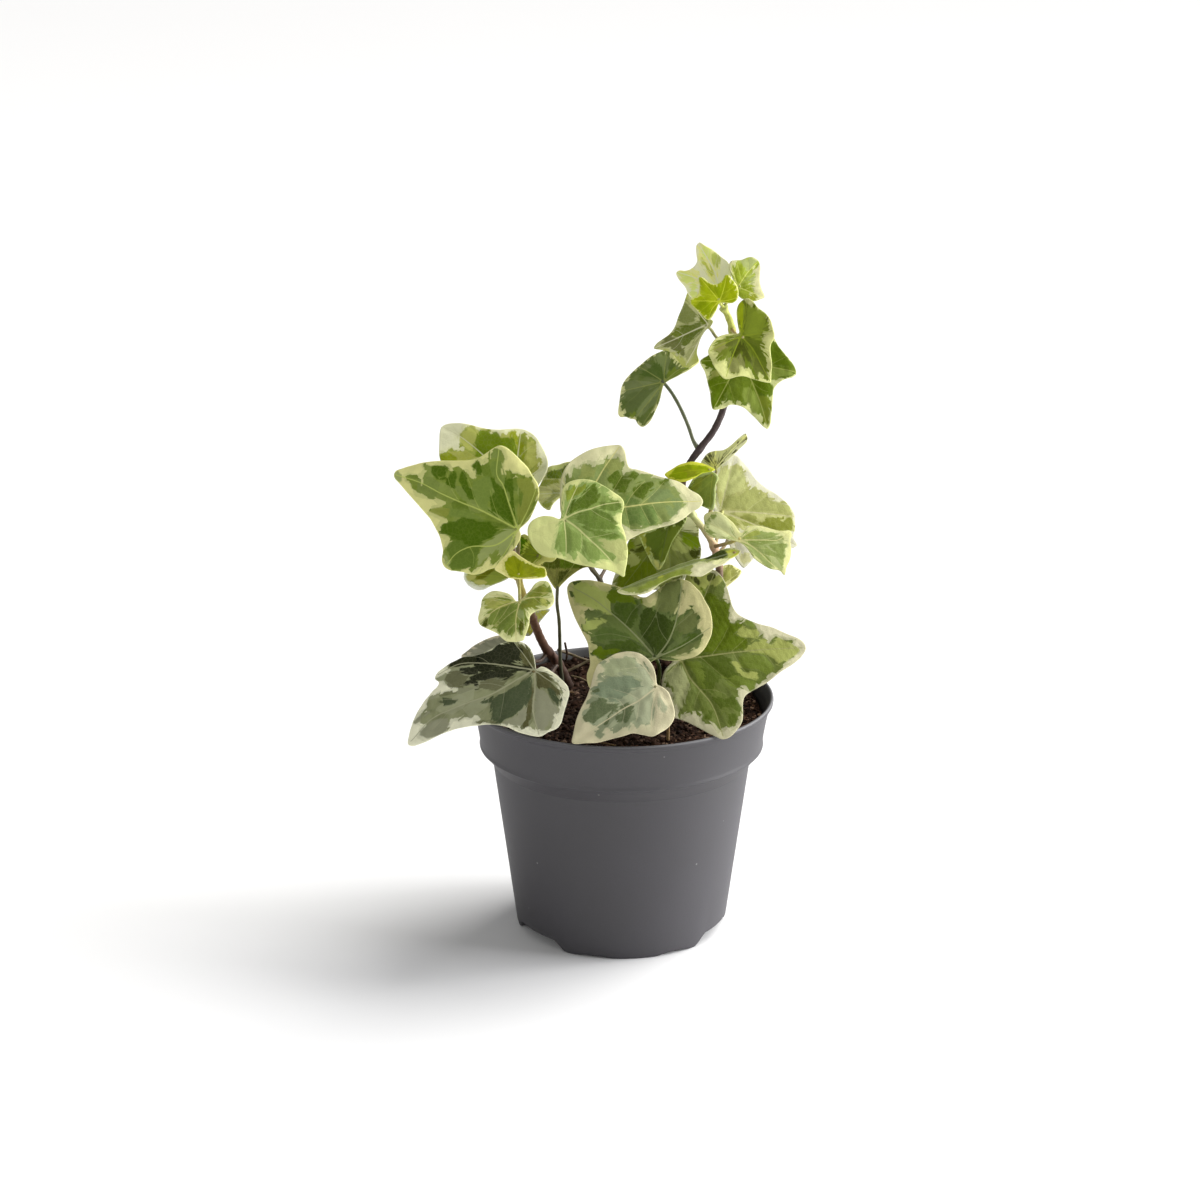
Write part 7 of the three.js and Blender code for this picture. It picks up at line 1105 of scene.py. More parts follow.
class Waves:
    """A smooth seeded field made of a few sine waves."""

    def __init__(self, seed, scale, n=7):
        r = random.Random(seed)
        self.w = []
        for i in range(n):
            a = r.uniform(0, 2 * math.pi)
            k = 2 * math.pi / (scale * r.uniform(0.6, 1.7))
            self.w.append((math.cos(a) * k, math.sin(a) * k, r.uniform(0, 6.283)))

    def __call__(self, P):
        s = 0
        for kx, ky, ph in self.w:
            s = s + np.sin(P[:, 0] * kx + P[:, 1] * ky + ph)
        return s / len(self.w) ** 0.5


def new_object(name, verts, faces, mats, midx=None, attrs=None, vec=None, col=None):
    me = bpy.data.meshes.new(name)
    me.from_pydata([tuple(v) for v in verts], [], [tuple(int(i) for i in f) for f in faces])
    for m in mats:
        me.materials.append(m)
    if midx is not None:
        me.polygons.foreach_set("material_index", np.asarray(midx, np.int32))
    for k, a in (attrs or {}).items():
        at = me.attributes.new(k, "FLOAT", "POINT")
        at.data.foreach_set("value", np.asarray(a, np.float32))
    for k, a in (vec or {}).items():
        at = me.attributes.new(k, "FLOAT_VECTOR", "POINT")
        at.data.foreach_set("vector", np.asarray(a, np.float32).ravel())
    for k, a in (col or {}).items():
        at = me.attributes.new(k, "FLOAT_COLOR", "POINT")
        a = np.asarray(a, np.float32)
        at.data.foreach_set("color", np.hstack([a, np.ones((len(a), 1), np.float32)]).ravel())
    me.update()
    me.validate()
    ob = bpy.data.objects.new(name, me)
    SCENE.collection.objects.link(ob)
    for p in me.polygons:
        p.use_smooth = True
    return ob


def tube(path, radii, sides, cap=True, wobble=None):
    """A round closed tube: vertices, faces and how far along each vertex is."""
    P = np.asarray(path, float)
    n = len(P)
    T = np.gradient(P, axis=0)
    T /= np.linalg.norm(T, axis=1)[:, None]
    a = np.cross(T[0], [0.31, 0.52, 0.79])
    a /= np.linalg.norm(a)
    V, along = [], []
    seg = np.concatenate([[0], np.cumsum(np.linalg.norm(P[1:] - P[:-1], axis=1))])
    for i in range(n):
        a = a - (a @ T[i]) * T[i]
        a /= np.linalg.norm(a)
        b = np.cross(T[i], a)
        for k in range(sides):
            an = 2 * math.pi * k / sides
            r = radii[i]
            if wobble:
                r *= wobble(seg[i], an)
            V.append(P[i] + r * (math.cos(an) * a + math.sin(an) * b))
            along.append(seg[i] / seg[-1])
    F = []
    for i in range(n - 1):
        for k in range(sides):
            k2 = (k + 1) % sides
            F.append((i * sides + k, i * sides + k2, (i + 1) * sides + k2, (i + 1) * sides + k))
    c0, c1 = len(V), len(V) + 1
    V.append(P[0] - T[0] * radii[0] * 0.45)
    V.append(P[-1] + T[-1] * radii[-1] * 0.45)
    along += [0.0, 1.0]
    for k in range(sides):
        k2 = (k + 1) % sides
        F.append((c0, k2, k))
        F.append((c1, (n - 1) * sides + k, (n - 1) * sides + k2))
    return np.array(V), F, np.array(along)


# ---------------------------------------------------------------- materials
class Nodes:
    """Small helper that adds and links shader nodes."""

    def __init__(self, name):
        self.mat = bpy.data.materials.new(name)
        self.mat.use_nodes = True
        self.t = self.mat.node_tree
        self.t.nodes.clear()
        self.out = self.t.nodes.new("ShaderNodeOutputMaterial")
        self.bsdf = self.t.nodes.new("ShaderNodeBsdfPrincipled")
        self.t.links.new(self.bsdf.outputs[0], self.out.inputs[0])

    def put(self, sock, v):
        if isinstance(v, bpy.types.NodeSocket):
            self.t.links.new(v, sock)
        else:
            sock.default_value = v

    def attr(self, name, out="Fac"):
        n = self.t.nodes.new("ShaderNodeAttribute")
        n.attribute_type = "GEOMETRY"
        n.attribute_name = name
        return n.outputs[out]

    def math(self, op, a, b=None, c=None, clamp=False):
        n = self.t.nodes.new("ShaderNodeMath")
        n.operation = op
        n.use_clamp = clamp
        for i, v in enumerate((a, b, c)):
            if v is not None:
                self.put(n.inputs[i], v)
        return n.outputs[0]

    def step(self, x, a, b, lo=0.0, hi=1.0):
        n = self.t.nodes.new("ShaderNodeMapRange")
        n.interpolation_type = "SMOOTHSTEP"
        self.put(n.inputs[0], x)
        n.inputs[1].default_value = a
        n.inputs[2].default_value = b
        n.inputs[3].default_value = lo
        n.inputs[4].default_value = hi
        return n.outputs[0]

    def mix(self, f, a, b, mode="MIX"):
        n = self.t.nodes.new("ShaderNodeMix")
        n.data_type = "RGBA"
        n.blend_type = mode
        self.put(n.inputs[0], f)
        self.put(n.inputs[6], a)
        self.put(n.inputs[7], b)
        return n.outputs[2]

    def noise(self, vec, scale, detail=3.0, rough=0.55, dist=0.0):
        n = self.t.nodes.new("ShaderNodeTexNoise")
        n.noise_dimensions = "3D"
        self.put(n.inputs["Vector"], vec)
        n.inputs["Scale"].default_value = scale
        n.inputs["Detail"].default_value = detail
        n.inputs["Roughness"].default_value = rough
        n.inputs["Distortion"].default_value = dist
        return n.outputs[0]

    def voronoi(self, vec, scale, feature="F1", out=0):
        n = self.t.nodes.new("ShaderNodeTexVoronoi")
        n.feature = feature
        self.put(n.inputs["Vector"], vec)
        n.inputs["Scale"].default_value = scale
        return n.outputs[out]

    def coords(self):
        n = self.t.nodes.new("ShaderNodeTexCoord")
        return n.outputs["Object"]

    def bump(self, height, strength, distance):
        n = self.t.nodes.new("ShaderNodeBump")
        n.inputs["Strength"].default_value = strength
        n.inputs["Distance"].default_value = distance
        self.put(n.inputs["Height"], height)
        self.t.links.new(n.outputs[0], self.bsdf.inputs["Normal"])

    def split(self, color):
        """The three parts of a colour."""
        n = self.t.nodes.new("ShaderNodeSeparateColor")
        self.put(n.inputs[0], color)
        return n.outputs

    def finish(self, color, rough, spec=0.5, sss=0.0, radius=(0.0012, 0.0009, 0.0004)):
        b = self.bsdf
        self.put(b.inputs["Base Color"], color)
        self.put(b.inputs["Roughness"], rough)
        b.inputs["Specular IOR Level"].default_value = spec
        if sss:
            b.inputs["Subsurface Weight"].default_value = sss
            b.inputs["Subsurface Radius"].default_value = radius
            b.inputs["Subsurface Scale"].default_value = 1.0
        return self.mat


def leaf_material(name, d):
    g = Nodes("leaf_" + name)
    GN = d.get("gain", 1.0)
    cream, mid, dark, light, vein = (rgba(d[k], GN) for k in ("cream", "mid", "dark", "light", "vein"))
    extra = rgba(d["XC"], GN)
    uvw = g.attr("leafspace", "Vector")
    ray = g.attr("rays", "Vector")
    green, darks, lights, holes = g.attr("green"), g.attr("darks"), g.attr("lights"), g.attr("holes")
    main, rib, edge, under = g.attr("veins"), g.attr("ribs"), g.attr("rim"), g.attr("under")
    # jagged borders: blocky along the veins, with a finer wobble
    n1 = g.noise(ray, 1.0, 2.0, 0.6)
    n2 = g.noise(uvw, 1.3, 3.0, 0.6)
    n3 = g.noise(uvw, 0.35, 2.0, 0.5)
    soft = g.math("MULTIPLY_ADD", g.math("SUBTRACT", n1, 0.5), 1.1, g.math("MULTIPLY", g.math("SUBTRACT", n2, 0.5), 0.9))
    # stepped teeth, longer along the veins than across them
    teeth = g.split(g.voronoi(ray, 1.9, "F1", 1))
    blocks = g.split(g.voronoi(ray, 0.85, "F1", 1))
    jag = g.math("MULTIPLY_ADD", g.math("SUBTRACT", teeth[0], 0.5), d.get("jag", 1.6), soft)
    jag2 = g.math("MULTIPLY_ADD", g.math("SUBTRACT", teeth[1], 0.5), d.get("jag", 1.6) * 0.8, g.math("MULTIPLY", soft, 0.8))
    gm = g.step(g.math("ADD", green, jag), -0.16, 0.16)
    halo = g.step(g.math("ADD", green, jag2), -1.0, -0.5)
    dm = g.step(g.math("MULTIPLY_ADD", jag, 1.3, darks), -0.35, 0.35)
    lm = g.step(g.math("MULTIPLY_ADD", jag, -1.3, lights), -0.45, 0.45)
    xm = g.step(g.math("MULTIPLY_ADD", jag, 0.9, holes), -0.25, 0.25)
    base = g.mix(g.math("MULTIPLY", dm, 0.92), mid, dark)
    base = g.mix(g.math("MULTIPLY", lm, 0.9), base, light)
    # soft drifts of tone and fine mottling inside the green
    base = g.mix(g.step(n3, 0.42, 0.72, 0.0, 0.25), base, light)
    base = g.mix(g.step(n3, 0.5, 0.24, 0.0, 0.25), base, dark)
    base = g.mix(g.step(blocks[0], 0.72, 0.80, 0.0, 0.38), base, dark)
    base = g.mix(g.step(blocks[1], 0.72, 0.80, 0.0, 0.34), base, light)
    fine = g.noise(uvw, 5.0, 4.0, 0.65)
    # cream: slightly greener or warmer in places
    cr2 = g.mix(0.25, cream, light)
    cr = g.mix(g.step(n3, 0.45, 0.8, 0.0, 0.8), cream, cr2)
    cr = g.mix(g.math("MULTIPLY", halo, 0.34), cr, light)
    col = g.mix(gm, cr, base)
    for i, (tone, _) in enumerate(d.get("patches", ())):
        m = g.step(g.math("MULTIPLY_ADD", jag2, 0.9 if i % 2 else -0.9, g.attr("patch%d" % i)), -0.28, 0.28)
        col = g.mix(g.math("MULTIPLY", m, 0.93), col, rgba(tone, GN))
    col = g.mix(g.math("MULTIPLY", xm, 0.95), col, extra)
    # veins: pale lines, the side ones thinner and fainter
    col = g.mix(g.step(main, 1.02, 0.42, 0.0, d.get("vs", 0.84)), col, vein)
    col = g.mix(g.step(rib, 0.95, 0.3, 0.0, d.get("vs", 0.84) * 0.42), col, vein)
    cells = g.voronoi(uvw, 0.85, "DISTANCE_TO_EDGE")
    col = g.mix(g.step(cells, 0.10, 0.02, 0.0, 0.06), col, vein)
    shade = g.math("MULTIPLY_ADD", fine, 0.26, 0.87)
    comb = g.t.nodes.new("ShaderNodeCombineColor")
    for i in range(3):
        g.put(comb.inputs[i], shade)
    col = g.mix(1.0, col, comb.outputs[0], "MULTIPLY")
    # thin pale rim
    col = g.mix(g.step(edge, 0.32, 0.1, 0.0, 0.35), col, cream)
    # the underside is paler, greyer and duller
    dull = g.mix(0.45, col, rgba((168, 178, 140), GN * 0.8))
    col = g.mix(g.math("MULTIPLY", under, 0.75), col, dull)
    h = g.math("ADD", g.math("MULTIPLY", fine, 0.5), g.math("MULTIPLY", g.step(cells, 0.0, 0.16), 0.5))
    g.bump(h, 0.35, 0.00012)
    rough = g.math("MULTIPLY_ADD", fine, 0.16, d.get("rough", 0.42))
    return g.finish(col, rough, d.get("spec", 0.06), d.get("sss", 0.0))


def stalk_material(name, d):
    g = Nodes("stalk_" + name)
    a, b = (rgba(c, 1.0) for c in d["stalk"])
    co = g.coords()
    n = g.noise(co, 900.0, 3.0, 0.6)
    f = g.step(g.attr("along"), 0.15, 0.85)
    col = g.mix(f, a, b)
    col = g.mix(g.step(n, 0.35, 0.75, 0.0, 0.4), col, rgba([v * 0.62 for v in d["stalk"][1]]))
    g.bump(g.noise(co, 2200.0, 2.0), 0.4, 0.0001)
    return g.finish(col, 0.5, 0.4, 0.06)


def stem_material():
    g = Nodes("stem_bark")
    co = g.coords()
    tint = g.attr("tint", "Color")
    n = g.noise(co, 650.0, 4.0, 0.6)
    fleck = g.voronoi(co, 1500.0)
    col = g.mix(g.step(n, 0.4, 0.75, 0.0, 0.45), tint, g.mix(1.0, tint, (0.42, 0.38, 0.36, 1), "MULTIPLY"))
    col = g.mix(g.step(fleck, 0.16, 0.05, 0.0, 0.35), col, rgba((190, 170, 140)))
    g.bump(g.math("ADD", n, g.math("MULTIPLY", fleck, 0.5)), 0.5, 0.00015)
    return g.finish(col, 0.58, 0.35)


def pot_material():
    g = Nodes("pot_plastic")
    co = g.coords()
    big = g.noise(co, 26.0, 3.0, 0.5)
    grain = g.noise(co, 2600.0, 2.0, 0.6)
    base = g.mix(g.step(big, 0.35, 0.7), rgba((53, 51, 55)), rgba((57, 55, 60)))
    base = g.mix(g.step(grain, 0.3, 0.75, 0.0, 0.25), base, rgba((43, 42, 44)))
    # a few pale specks of dust, and a painted highlight along the lip
    dust = g.voronoi(co, 130.0)
    base = g.mix(g.step(dust, 0.052, 0.02, 0.0, 0.45), base, rgba((150, 150, 148)))
    lip_painted_highlight = g.step(g.attr("lip_painted_highlight"), 0.2, 1.0, 0.0, 0.35)
    base = g.mix(lip_painted_highlight, base, rgba((128, 128, 130)))
    # painted shade: the inner wall is darkened from the rim down towards the soil, a little unevenly
    painted_shade_mottle = g.step(g.noise(co, 160.0, 4.0, 0.6), 0.25, 0.7, 0.72, 1.0)
    base = g.mix(g.math("MULTIPLY", g.attr("inner_wall_painted_shade"), painted_shade_mottle), base, rgba((20, 16, 14)))
    g.bump(grain, 0.22, 0.00008)
    rough = g.math("MULTIPLY_ADD", big, 0.10, 0.56)
    return g.finish(base, rough, 0.72)


def soil_material():
    g = Nodes("potting_soil")
    co = g.coords()
    n = g.noise(co, 240.0, 5.0, 0.65)
    c = g.voronoi(co, 900.0, "F1", 1)
    fleck = g.voronoi(co, 620.0)
    col = g.mix(g.step(n, 0.35, 0.68), rgba((20, 12, 8)), rgba((58, 38, 27)))
    tone = g.split(c)
    col = g.mix(g.step(tone[0], 0.72, 0.9, 0.0, 0.7), col, rgba((104, 74, 58)))
    col = g.mix(g.step(tone[1], 0.86, 0.97, 0.0, 0.75), col, rgba((168, 138, 116)))
    col = g.mix(g.step(fleck, 0.2, 0.06, 0.0, 0.3), col, rgba((130, 98, 82)))
    # painted shade: soil away from the front-right rim is darkened towards (26, 15, 9)
    col = g.mix(g.step(g.attr("soil_painted_light"), 0.0, 1.0, 0.66, 0.0), col, rgba((26, 15, 9)))
    g.bump(n, 0.7, 0.0006)
    return g.finish(col, 0.92, 0.06)


def crumb_material():
    g = Nodes("soil_crumbs")
    co = g.coords()
    n = g.noise(co, 900.0, 3.0, 0.6)
    t = g.attr("tone")
    col = g.mix(g.step(t, 0.1, 0.55), rgba((24, 15, 10)), rgba((62, 40, 28)))
    col = g.mix(g.step(t, 0.70, 0.86), col, rgba((92, 68, 55)))
    col = g.mix(g.step(t, 0.93, 0.99), col, rgba((176, 146, 122)))
    col = g.mix(g.step(n, 0.4, 0.7, 0.0, 0.5), col, rgba((24, 16, 12)))
    # painted shade: crumbs away from the front-right rim are darkened towards (28, 16, 10)
    col = g.mix(g.step(g.attr("soil_painted_light"), 0.0, 1.0, 0.62, 0.0), col, rgba((28, 16, 10)))
    g.bump(n, 0.6, 0.0003)
    return g.finish(col, 0.9, 0.07)


# ---------------------------------------------------------------- leaves
BLADE = 0.36


def side_veins(main, outline, seed):
    """Side veins that leave a main vein at about 45 degrees and bend forward."""
    r = random.Random(seed)
    out = []
    for line in main:
        A = np.asarray(line)
        seg = np.linalg.norm(A[1:] - A[:-1], axis=1)
        tot = seg.sum()
        if tot < 6:
            continue
        cum = np.concatenate([[0], np.cumsum(seg)])
        s = max(2.2, 0.22 * tot)
        sgn = r.choice((-1, 1))
        while s < tot * 0.86:
            p = np.array([np.interp(s, cum, A[:, k]) for k in (0, 1)])
            q = np.array([np.interp(min(tot, s + 0.8), cum, A[:, k]) for k in (0, 1)])
            d = (q - p) / np.linalg.norm(q - p)
            ang = math.radians(r.uniform(38, 52)) * sgn
            pts = [p]
            step = 0.8
            x = p.copy()
            for k in range(14):
                c, sn = math.cos(ang), math.sin(ang)
                x = x + step * np.array([c * d[0] - sn * d[1], sn * d[0] + c * d[1]])
                ang *= 0.955
                if not inside_poly(x[None], outline)[0]:
                    break
                if k > 1:
                    near = [line_dist(x[None], m)[0][0] for m in main if m is not line]
                    if near and min(near) < 0.9:
                        break
                pts.append(x.copy())
            keep = pts[:max(0, len(pts) - 1)]
            if len(keep) >= 3:
                out.append(np.array(keep))
            s += r.uniform(1.5, 2.3)
            sgn = -sgn
    return out


def build_leaf(idx, name, d):
    seed = 1000 + idx * 17
    outline = curve_points(d["outline"], 0.55, closed=True)
    if d.get("serr"):
        outline = outline + 0.0
    M = turned(*d["rot"])
    J = np.array(d["at"])
    reach, dome, fold = d["reach"], d["dome"], d["fold"]
    main = [curve_points(v, 0.55) if len(v) > 2 else np.array([np.array(v[0]) + (np.array(v[-1]) - np.array(v[0])) * k for k in np.linspace(0, 1, max(3, int(np.linalg.norm(np.array(v[-1]) - np.array(v[0])) / 0.55)))]) for v in d["veins"]]
    main = [np.array([p for p in m if inside_poly(p[None], outline)[0]]) for m in main]
    main = [m for m in main if len(m) >= 3]
    ribs = [curve_points(v, 0.55) for v in d["sides"]] if d["sides"] else side_veins(main, outline, seed)
    ribs = [np.array([p for p in m if inside_poly(p[None], outline)[0]]) for m in ribs]
    ribs = [m for m in ribs if len(m) >= 3]
    # points of the blade
    nb = len(outline)
    tang = np.roll(outline, -1, 0) - np.roll(outline, 1, 0)
    tang /= np.maximum(np.linalg.norm(tang, axis=1), 1e-9)[:, None]
    inward = np.stack([-tang[:, 1], tang[:, 0]], 1)
    area = 0.5 * np.sum(outline[:, 0] * np.roll(outline[:, 1], -1) - outline[:, 1] * np.roll(outline[:, 0], -1))
    if area < 0:
        outline = outline[::-1]
        inward = inward[::-1]
    B0, B1 = outline, np.roll(outline, -1, 0)
    extra = []
    for off in (0.12, 0.34):
        q = outline + inward * off
        dd = seg_dist(q, B0, B1)[0].min(1)
        ok = (dd > off * 0.9) & inside_poly(q, outline)
        extra.append(q[ok])
    G = d.get("grid", 0.62)
    lo, hi = outline.min(0), outline.max(0)
    rows = []
    j = 0
    y = lo[1]
    while y <= hi[1]:
        xs = np.arange(lo[0] + (0.5 * G if j % 2 else 0), hi[0], G)
        rows.append(np.stack([xs, np.full(len(xs), y)], 1))
        y += G * 0.866
        j += 1
    grid = np.vstack(rows)
    grid = grid[inside_poly(grid, outline)]
    dd = seg_dist(grid, B0, B1)[0].min(1)
    grid = grid[dd > 0.52]
    for m in main + ribs:
        grid = grid[line_dist(grid, m)[0] > 0.24]
        for k in range(len(extra)):
            extra[k] = extra[k][line_dist(extra[k], m)[0] > 0.16]
    pts = [Vector(p) for p in outline]
    edges = [(i, (i + 1) % nb) for i in range(nb)]
    for m in main + ribs:
        s = len(pts)
        pts += [Vector(p) for p in m]
        edges += [(s + i, s + i + 1) for i in range(len(m) - 1)]
    for e in extra:
        pts += [Vector(p) for p in e]
    pts += [Vector(p) for p in grid]
    res = delaunay_2d_cdt(pts, edges, [], 0, 1e-4, False)
    V2 = np.array([tuple(v) for v in res[0]])
    tri = []
    for f in res[2]:
        f = list(f)
        for k in range(1, len(f) - 1):
            tri.append((f[0], f[k], f[k + 1]))
    tri = np.array(tri)
    cen = V2[tri].mean(1)
    tri = tri[inside_poly(cen, outline)]
    a = V2[tri]
    ar = 0.5 * ((a[:, 1, 0] - a[:, 0, 0]) * (a[:, 2, 1] - a[:, 0, 1]) - (a[:, 2, 0] - a[:, 0, 0]) * (a[:, 1, 1] - a[:, 0, 1]))
    tri[ar < 0] = tri[ar < 0][:, ::-1]
    tri = tri[np.abs(ar) > 1e-7]
    used = np.unique(tri)
    remap = -np.ones(len(V2), int)
    remap[used] = np.arange(len(used))
    V2, tri = V2[used], remap[tri]
    ek = {}
    for t in tri:
        for p, q in ((t[0], t[1]), (t[1], t[2]), (t[2], t[0])):
            ek[(min(p, q), max(p, q))] = ek.get((min(p, q), max(p, q)), 0) + 1
    rim = np.zeros(len(V2), bool)
    for (p, q), c in ek.items():
        if c == 1:
            rim[p] = rim[q] = True
    # distances
    de = np.concatenate([seg_dist(V2[i:i + 800], B0, B1)[0].min(1) for i in range(0, len(V2), 800)])
    de[rim] = 0.0
    vm = np.full(len(V2), 9.0)
    dmain = np.full(len(V2), 9.0)
    taper = np.zeros(len(V2))
    for m in main:
        dist, al = line_dist(V2, m)
        L = np.linalg.norm(m[1:] - m[:-1], axis=1).sum()
        wv = (0.23 * (1 - 0.72 * al) + 0.06) * min(1.25, 0.55 + L / 32.0)
        vm = np.minimum(vm, dist / wv)
        nearer = dist < dmain
        taper = np.where(nearer, 1 - 0.8 * al, taper)
        dmain = np.minimum(dmain, dist)
    vr = np.full(len(V2), 9.0)
    drib = np.full(len(V2), 9.0)
    for m in ribs:
        dist, al = line_dist(V2, m)
        vr = np.minimum(vr, dist / (0.13 * (1 - 0.6 * al) + 0.05))
        drib = np.minimum(drib, dist)
    # the blade's own surface
    u, v = V2[:, 0], V2[:, 1]
    r = np.hypot(u, v)
    w = -dome * (u * u + v * v) / reach + fold * (np.sqrt(v * v + 1) - 1)
    W1, W2 = Waves(seed, 11.0), Waves(seed + 3, 5.0)
    hub = smooth(0.5, 5.0, r)
    near_edge = np.exp(-de / 3.2)
    q = d.get("wave", 1.0)
    wave = (0.26 * W1(V2) * near_edge + 0.10 * W2(V2) * near_edge) * hub * q
    crease = -0.20 * np.exp(-(dmain / 0.8) ** 2) * taper
    puff = 0.26 * (1 - np.exp(-(np.minimum(dmain, drib * 1.3) / 1.3) ** 2)) * smooth(0.0, 2.5, de) * d.get("puff", 1.0)
    bumpy = 0.05 * Waves(seed + 9, 2.4)(V2) * smooth(0.2, 1.5, de)
    top = w + wave + crease + puff + bumpy
    half = 0.5 * BLADE * np.sqrt(np.clip(1 - (1 - np.minimum(de, 0.32) / 0.32) ** 2, 0, 1))
    ridge = 0.26 * np.exp(-(dmain / 0.42) ** 2) * taper * smooth(0.0, 1.5, de)
    wt = top + half
    wb = top - half - ridge
    n = len(V2)
    bot = -np.ones(n, int)
    inner = np.where(~rim)[0]
    bot[rim] = np.where(rim)[0]
    bot[inner] = n + np.arange(len(inner))
    loc = np.vstack([np.stack([u, v, wt], 1), np.stack([u[inner], v[inner], wb[inner]], 1)])
    faces = [tuple(t) for t in tri] + [(bot[t[0]], bot[t[2]], bot[t[1]]) for t in tri]
    world = J + loc @ M.T
    # coloured areas
    uv = np.vstack([V2, V2[inner]])
    if d["green"]:
        green = signed(V2, d["green"])
    else:
        green = de - d["margin"] * (1.0 + 0.45 * Waves(seed + 21, 7.0)(V2))
    darks, lights, holes = signed(V2, d["darks"]), signed(V2, d["lights"]), signed(V2, d["holes"])
    patches = [signed(V2, polys) for _, polys in d.get("patches", ())]
    th = np.arctan2(v, u)
    rays = np.stack([np.cos(th) * 7.0, np.sin(th) * 7.0, r * 0.16 + seed], 1)
    space = np.stack([u, v, np.full(n, float(seed % 97))], 1)

    def both(x):
        return np.concatenate([x, x[inner]])

    # the stalk, from under the blade to the stem that carries it
    path = np.array(d["stalk_path"])
    pw = J + path @ M.T
    pts3 = curve_points(pw, 0.7)
    m = len(pts3)
    s = np.linspace(0, 1, m)
    R = d["stalk_r"]
    rad = R * (0.82 + 0.12 * s + 0.38 * smooth(0.86, 1.0, s))
    rad *= 1 + 0.03 * np.sin(s * m * 0.9 + idx)
    sv, sf, sa = tube(pts3, rad, 12)
    off = len(world)
    verts = np.vstack([world, sv]) * MM
    faces += [tuple(i + off for i in f) for f in sf]
    midx = [0] * (2 * len(tri)) + [1] * len(sf)
    z = np.zeros(len(sv))

    def full(x, fill=0.0):
        return np.concatenate([x, z + fill])

    attrs = {
        "green": full(both(green)), "darks": full(both(darks)), "lights": full(both(lights)),
        "holes": full(both(holes), -9.0), "veins": full(both(vm), 9.0), "ribs": full(both(vr), 9.0),
        "rim": full(both(de)), "under": np.concatenate([np.zeros(n), np.ones(len(inner)), z]),
        "along": np.concatenate([np.zeros(n + len(inner)), sa]),
    }
    for i, pd in enumerate(patches):
        attrs["patch%d" % i] = full(both(pd), -9.0)
    vec = {
        "leafspace": np.vstack([space, space[inner], np.zeros((len(sv), 3))]),
        "rays": np.vstack([rays, rays[inner], np.zeros((len(sv), 3))]),
    }
    ob = new_object("ivy_" + name, verts, faces, [leaf_material(name, d), stalk_material(name, d)], midx, attrs, vec)
    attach(ob, "root")
    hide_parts(name)
    return ob


# ---------------------------------------------------------------- stems
def build_stem(idx, name, pts, keys, mat):
    P = curve_points(pts, 0.5)
    path, rad = P[:, :3].copy(), P[:, 3].copy()
    if name != "twig" and path[0][2] < 70:
        d0 = path[0] - path[1]
        d0 /= np.linalg.norm(d0)
        path = np.vstack([path[0] + d0 * 2.2, path])
        rad = np.concatenate([[rad[0] * 1.12], rad])
    seg = np.concatenate([[0], np.cumsum(np.linalg.norm(path[1:] - path[:-1], axis=1))])
    # a swelling where each stalk leaves the stem
    for n, d in LEAVES.items():
        if d["on"] == name:
            e = np.array(d["end"])
            dist = np.linalg.norm(path - e, axis=1)
            k = dist.argmin()
            rad = rad * (1 + 0.20 * np.exp(-((seg - seg[k]) / 1.1) ** 2))
    r = random.Random(77 + idx)
    ph = [r.uniform(0, 6.28) for _ in range(6)]

    def wob(s, an):
        return 1 + 0.035 * math.sin(s * 1.7 + ph[0] + 2 * an) + 0.03 * math.sin(s * 0.63 + ph[1] - an) + 0.02 * math.sin(s * 3.9 + ph[2] + 3 * an)

    sides = 18
    V, F, al = tube(path, rad, sides, wobble=wob)
    ks = np.array([k[0] for k in keys])
    cs = np.array([srgb(k[1]) for k in keys])
    tint = np.stack([np.interp(al, ks, cs[:, j]) for j in range(3)], 1)
    ob = new_object("ivy_" + name, V * MM, F, [mat], attrs={"along": al}, col={"tint": tint})
    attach(ob, "root")
    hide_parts(name)
    return ob


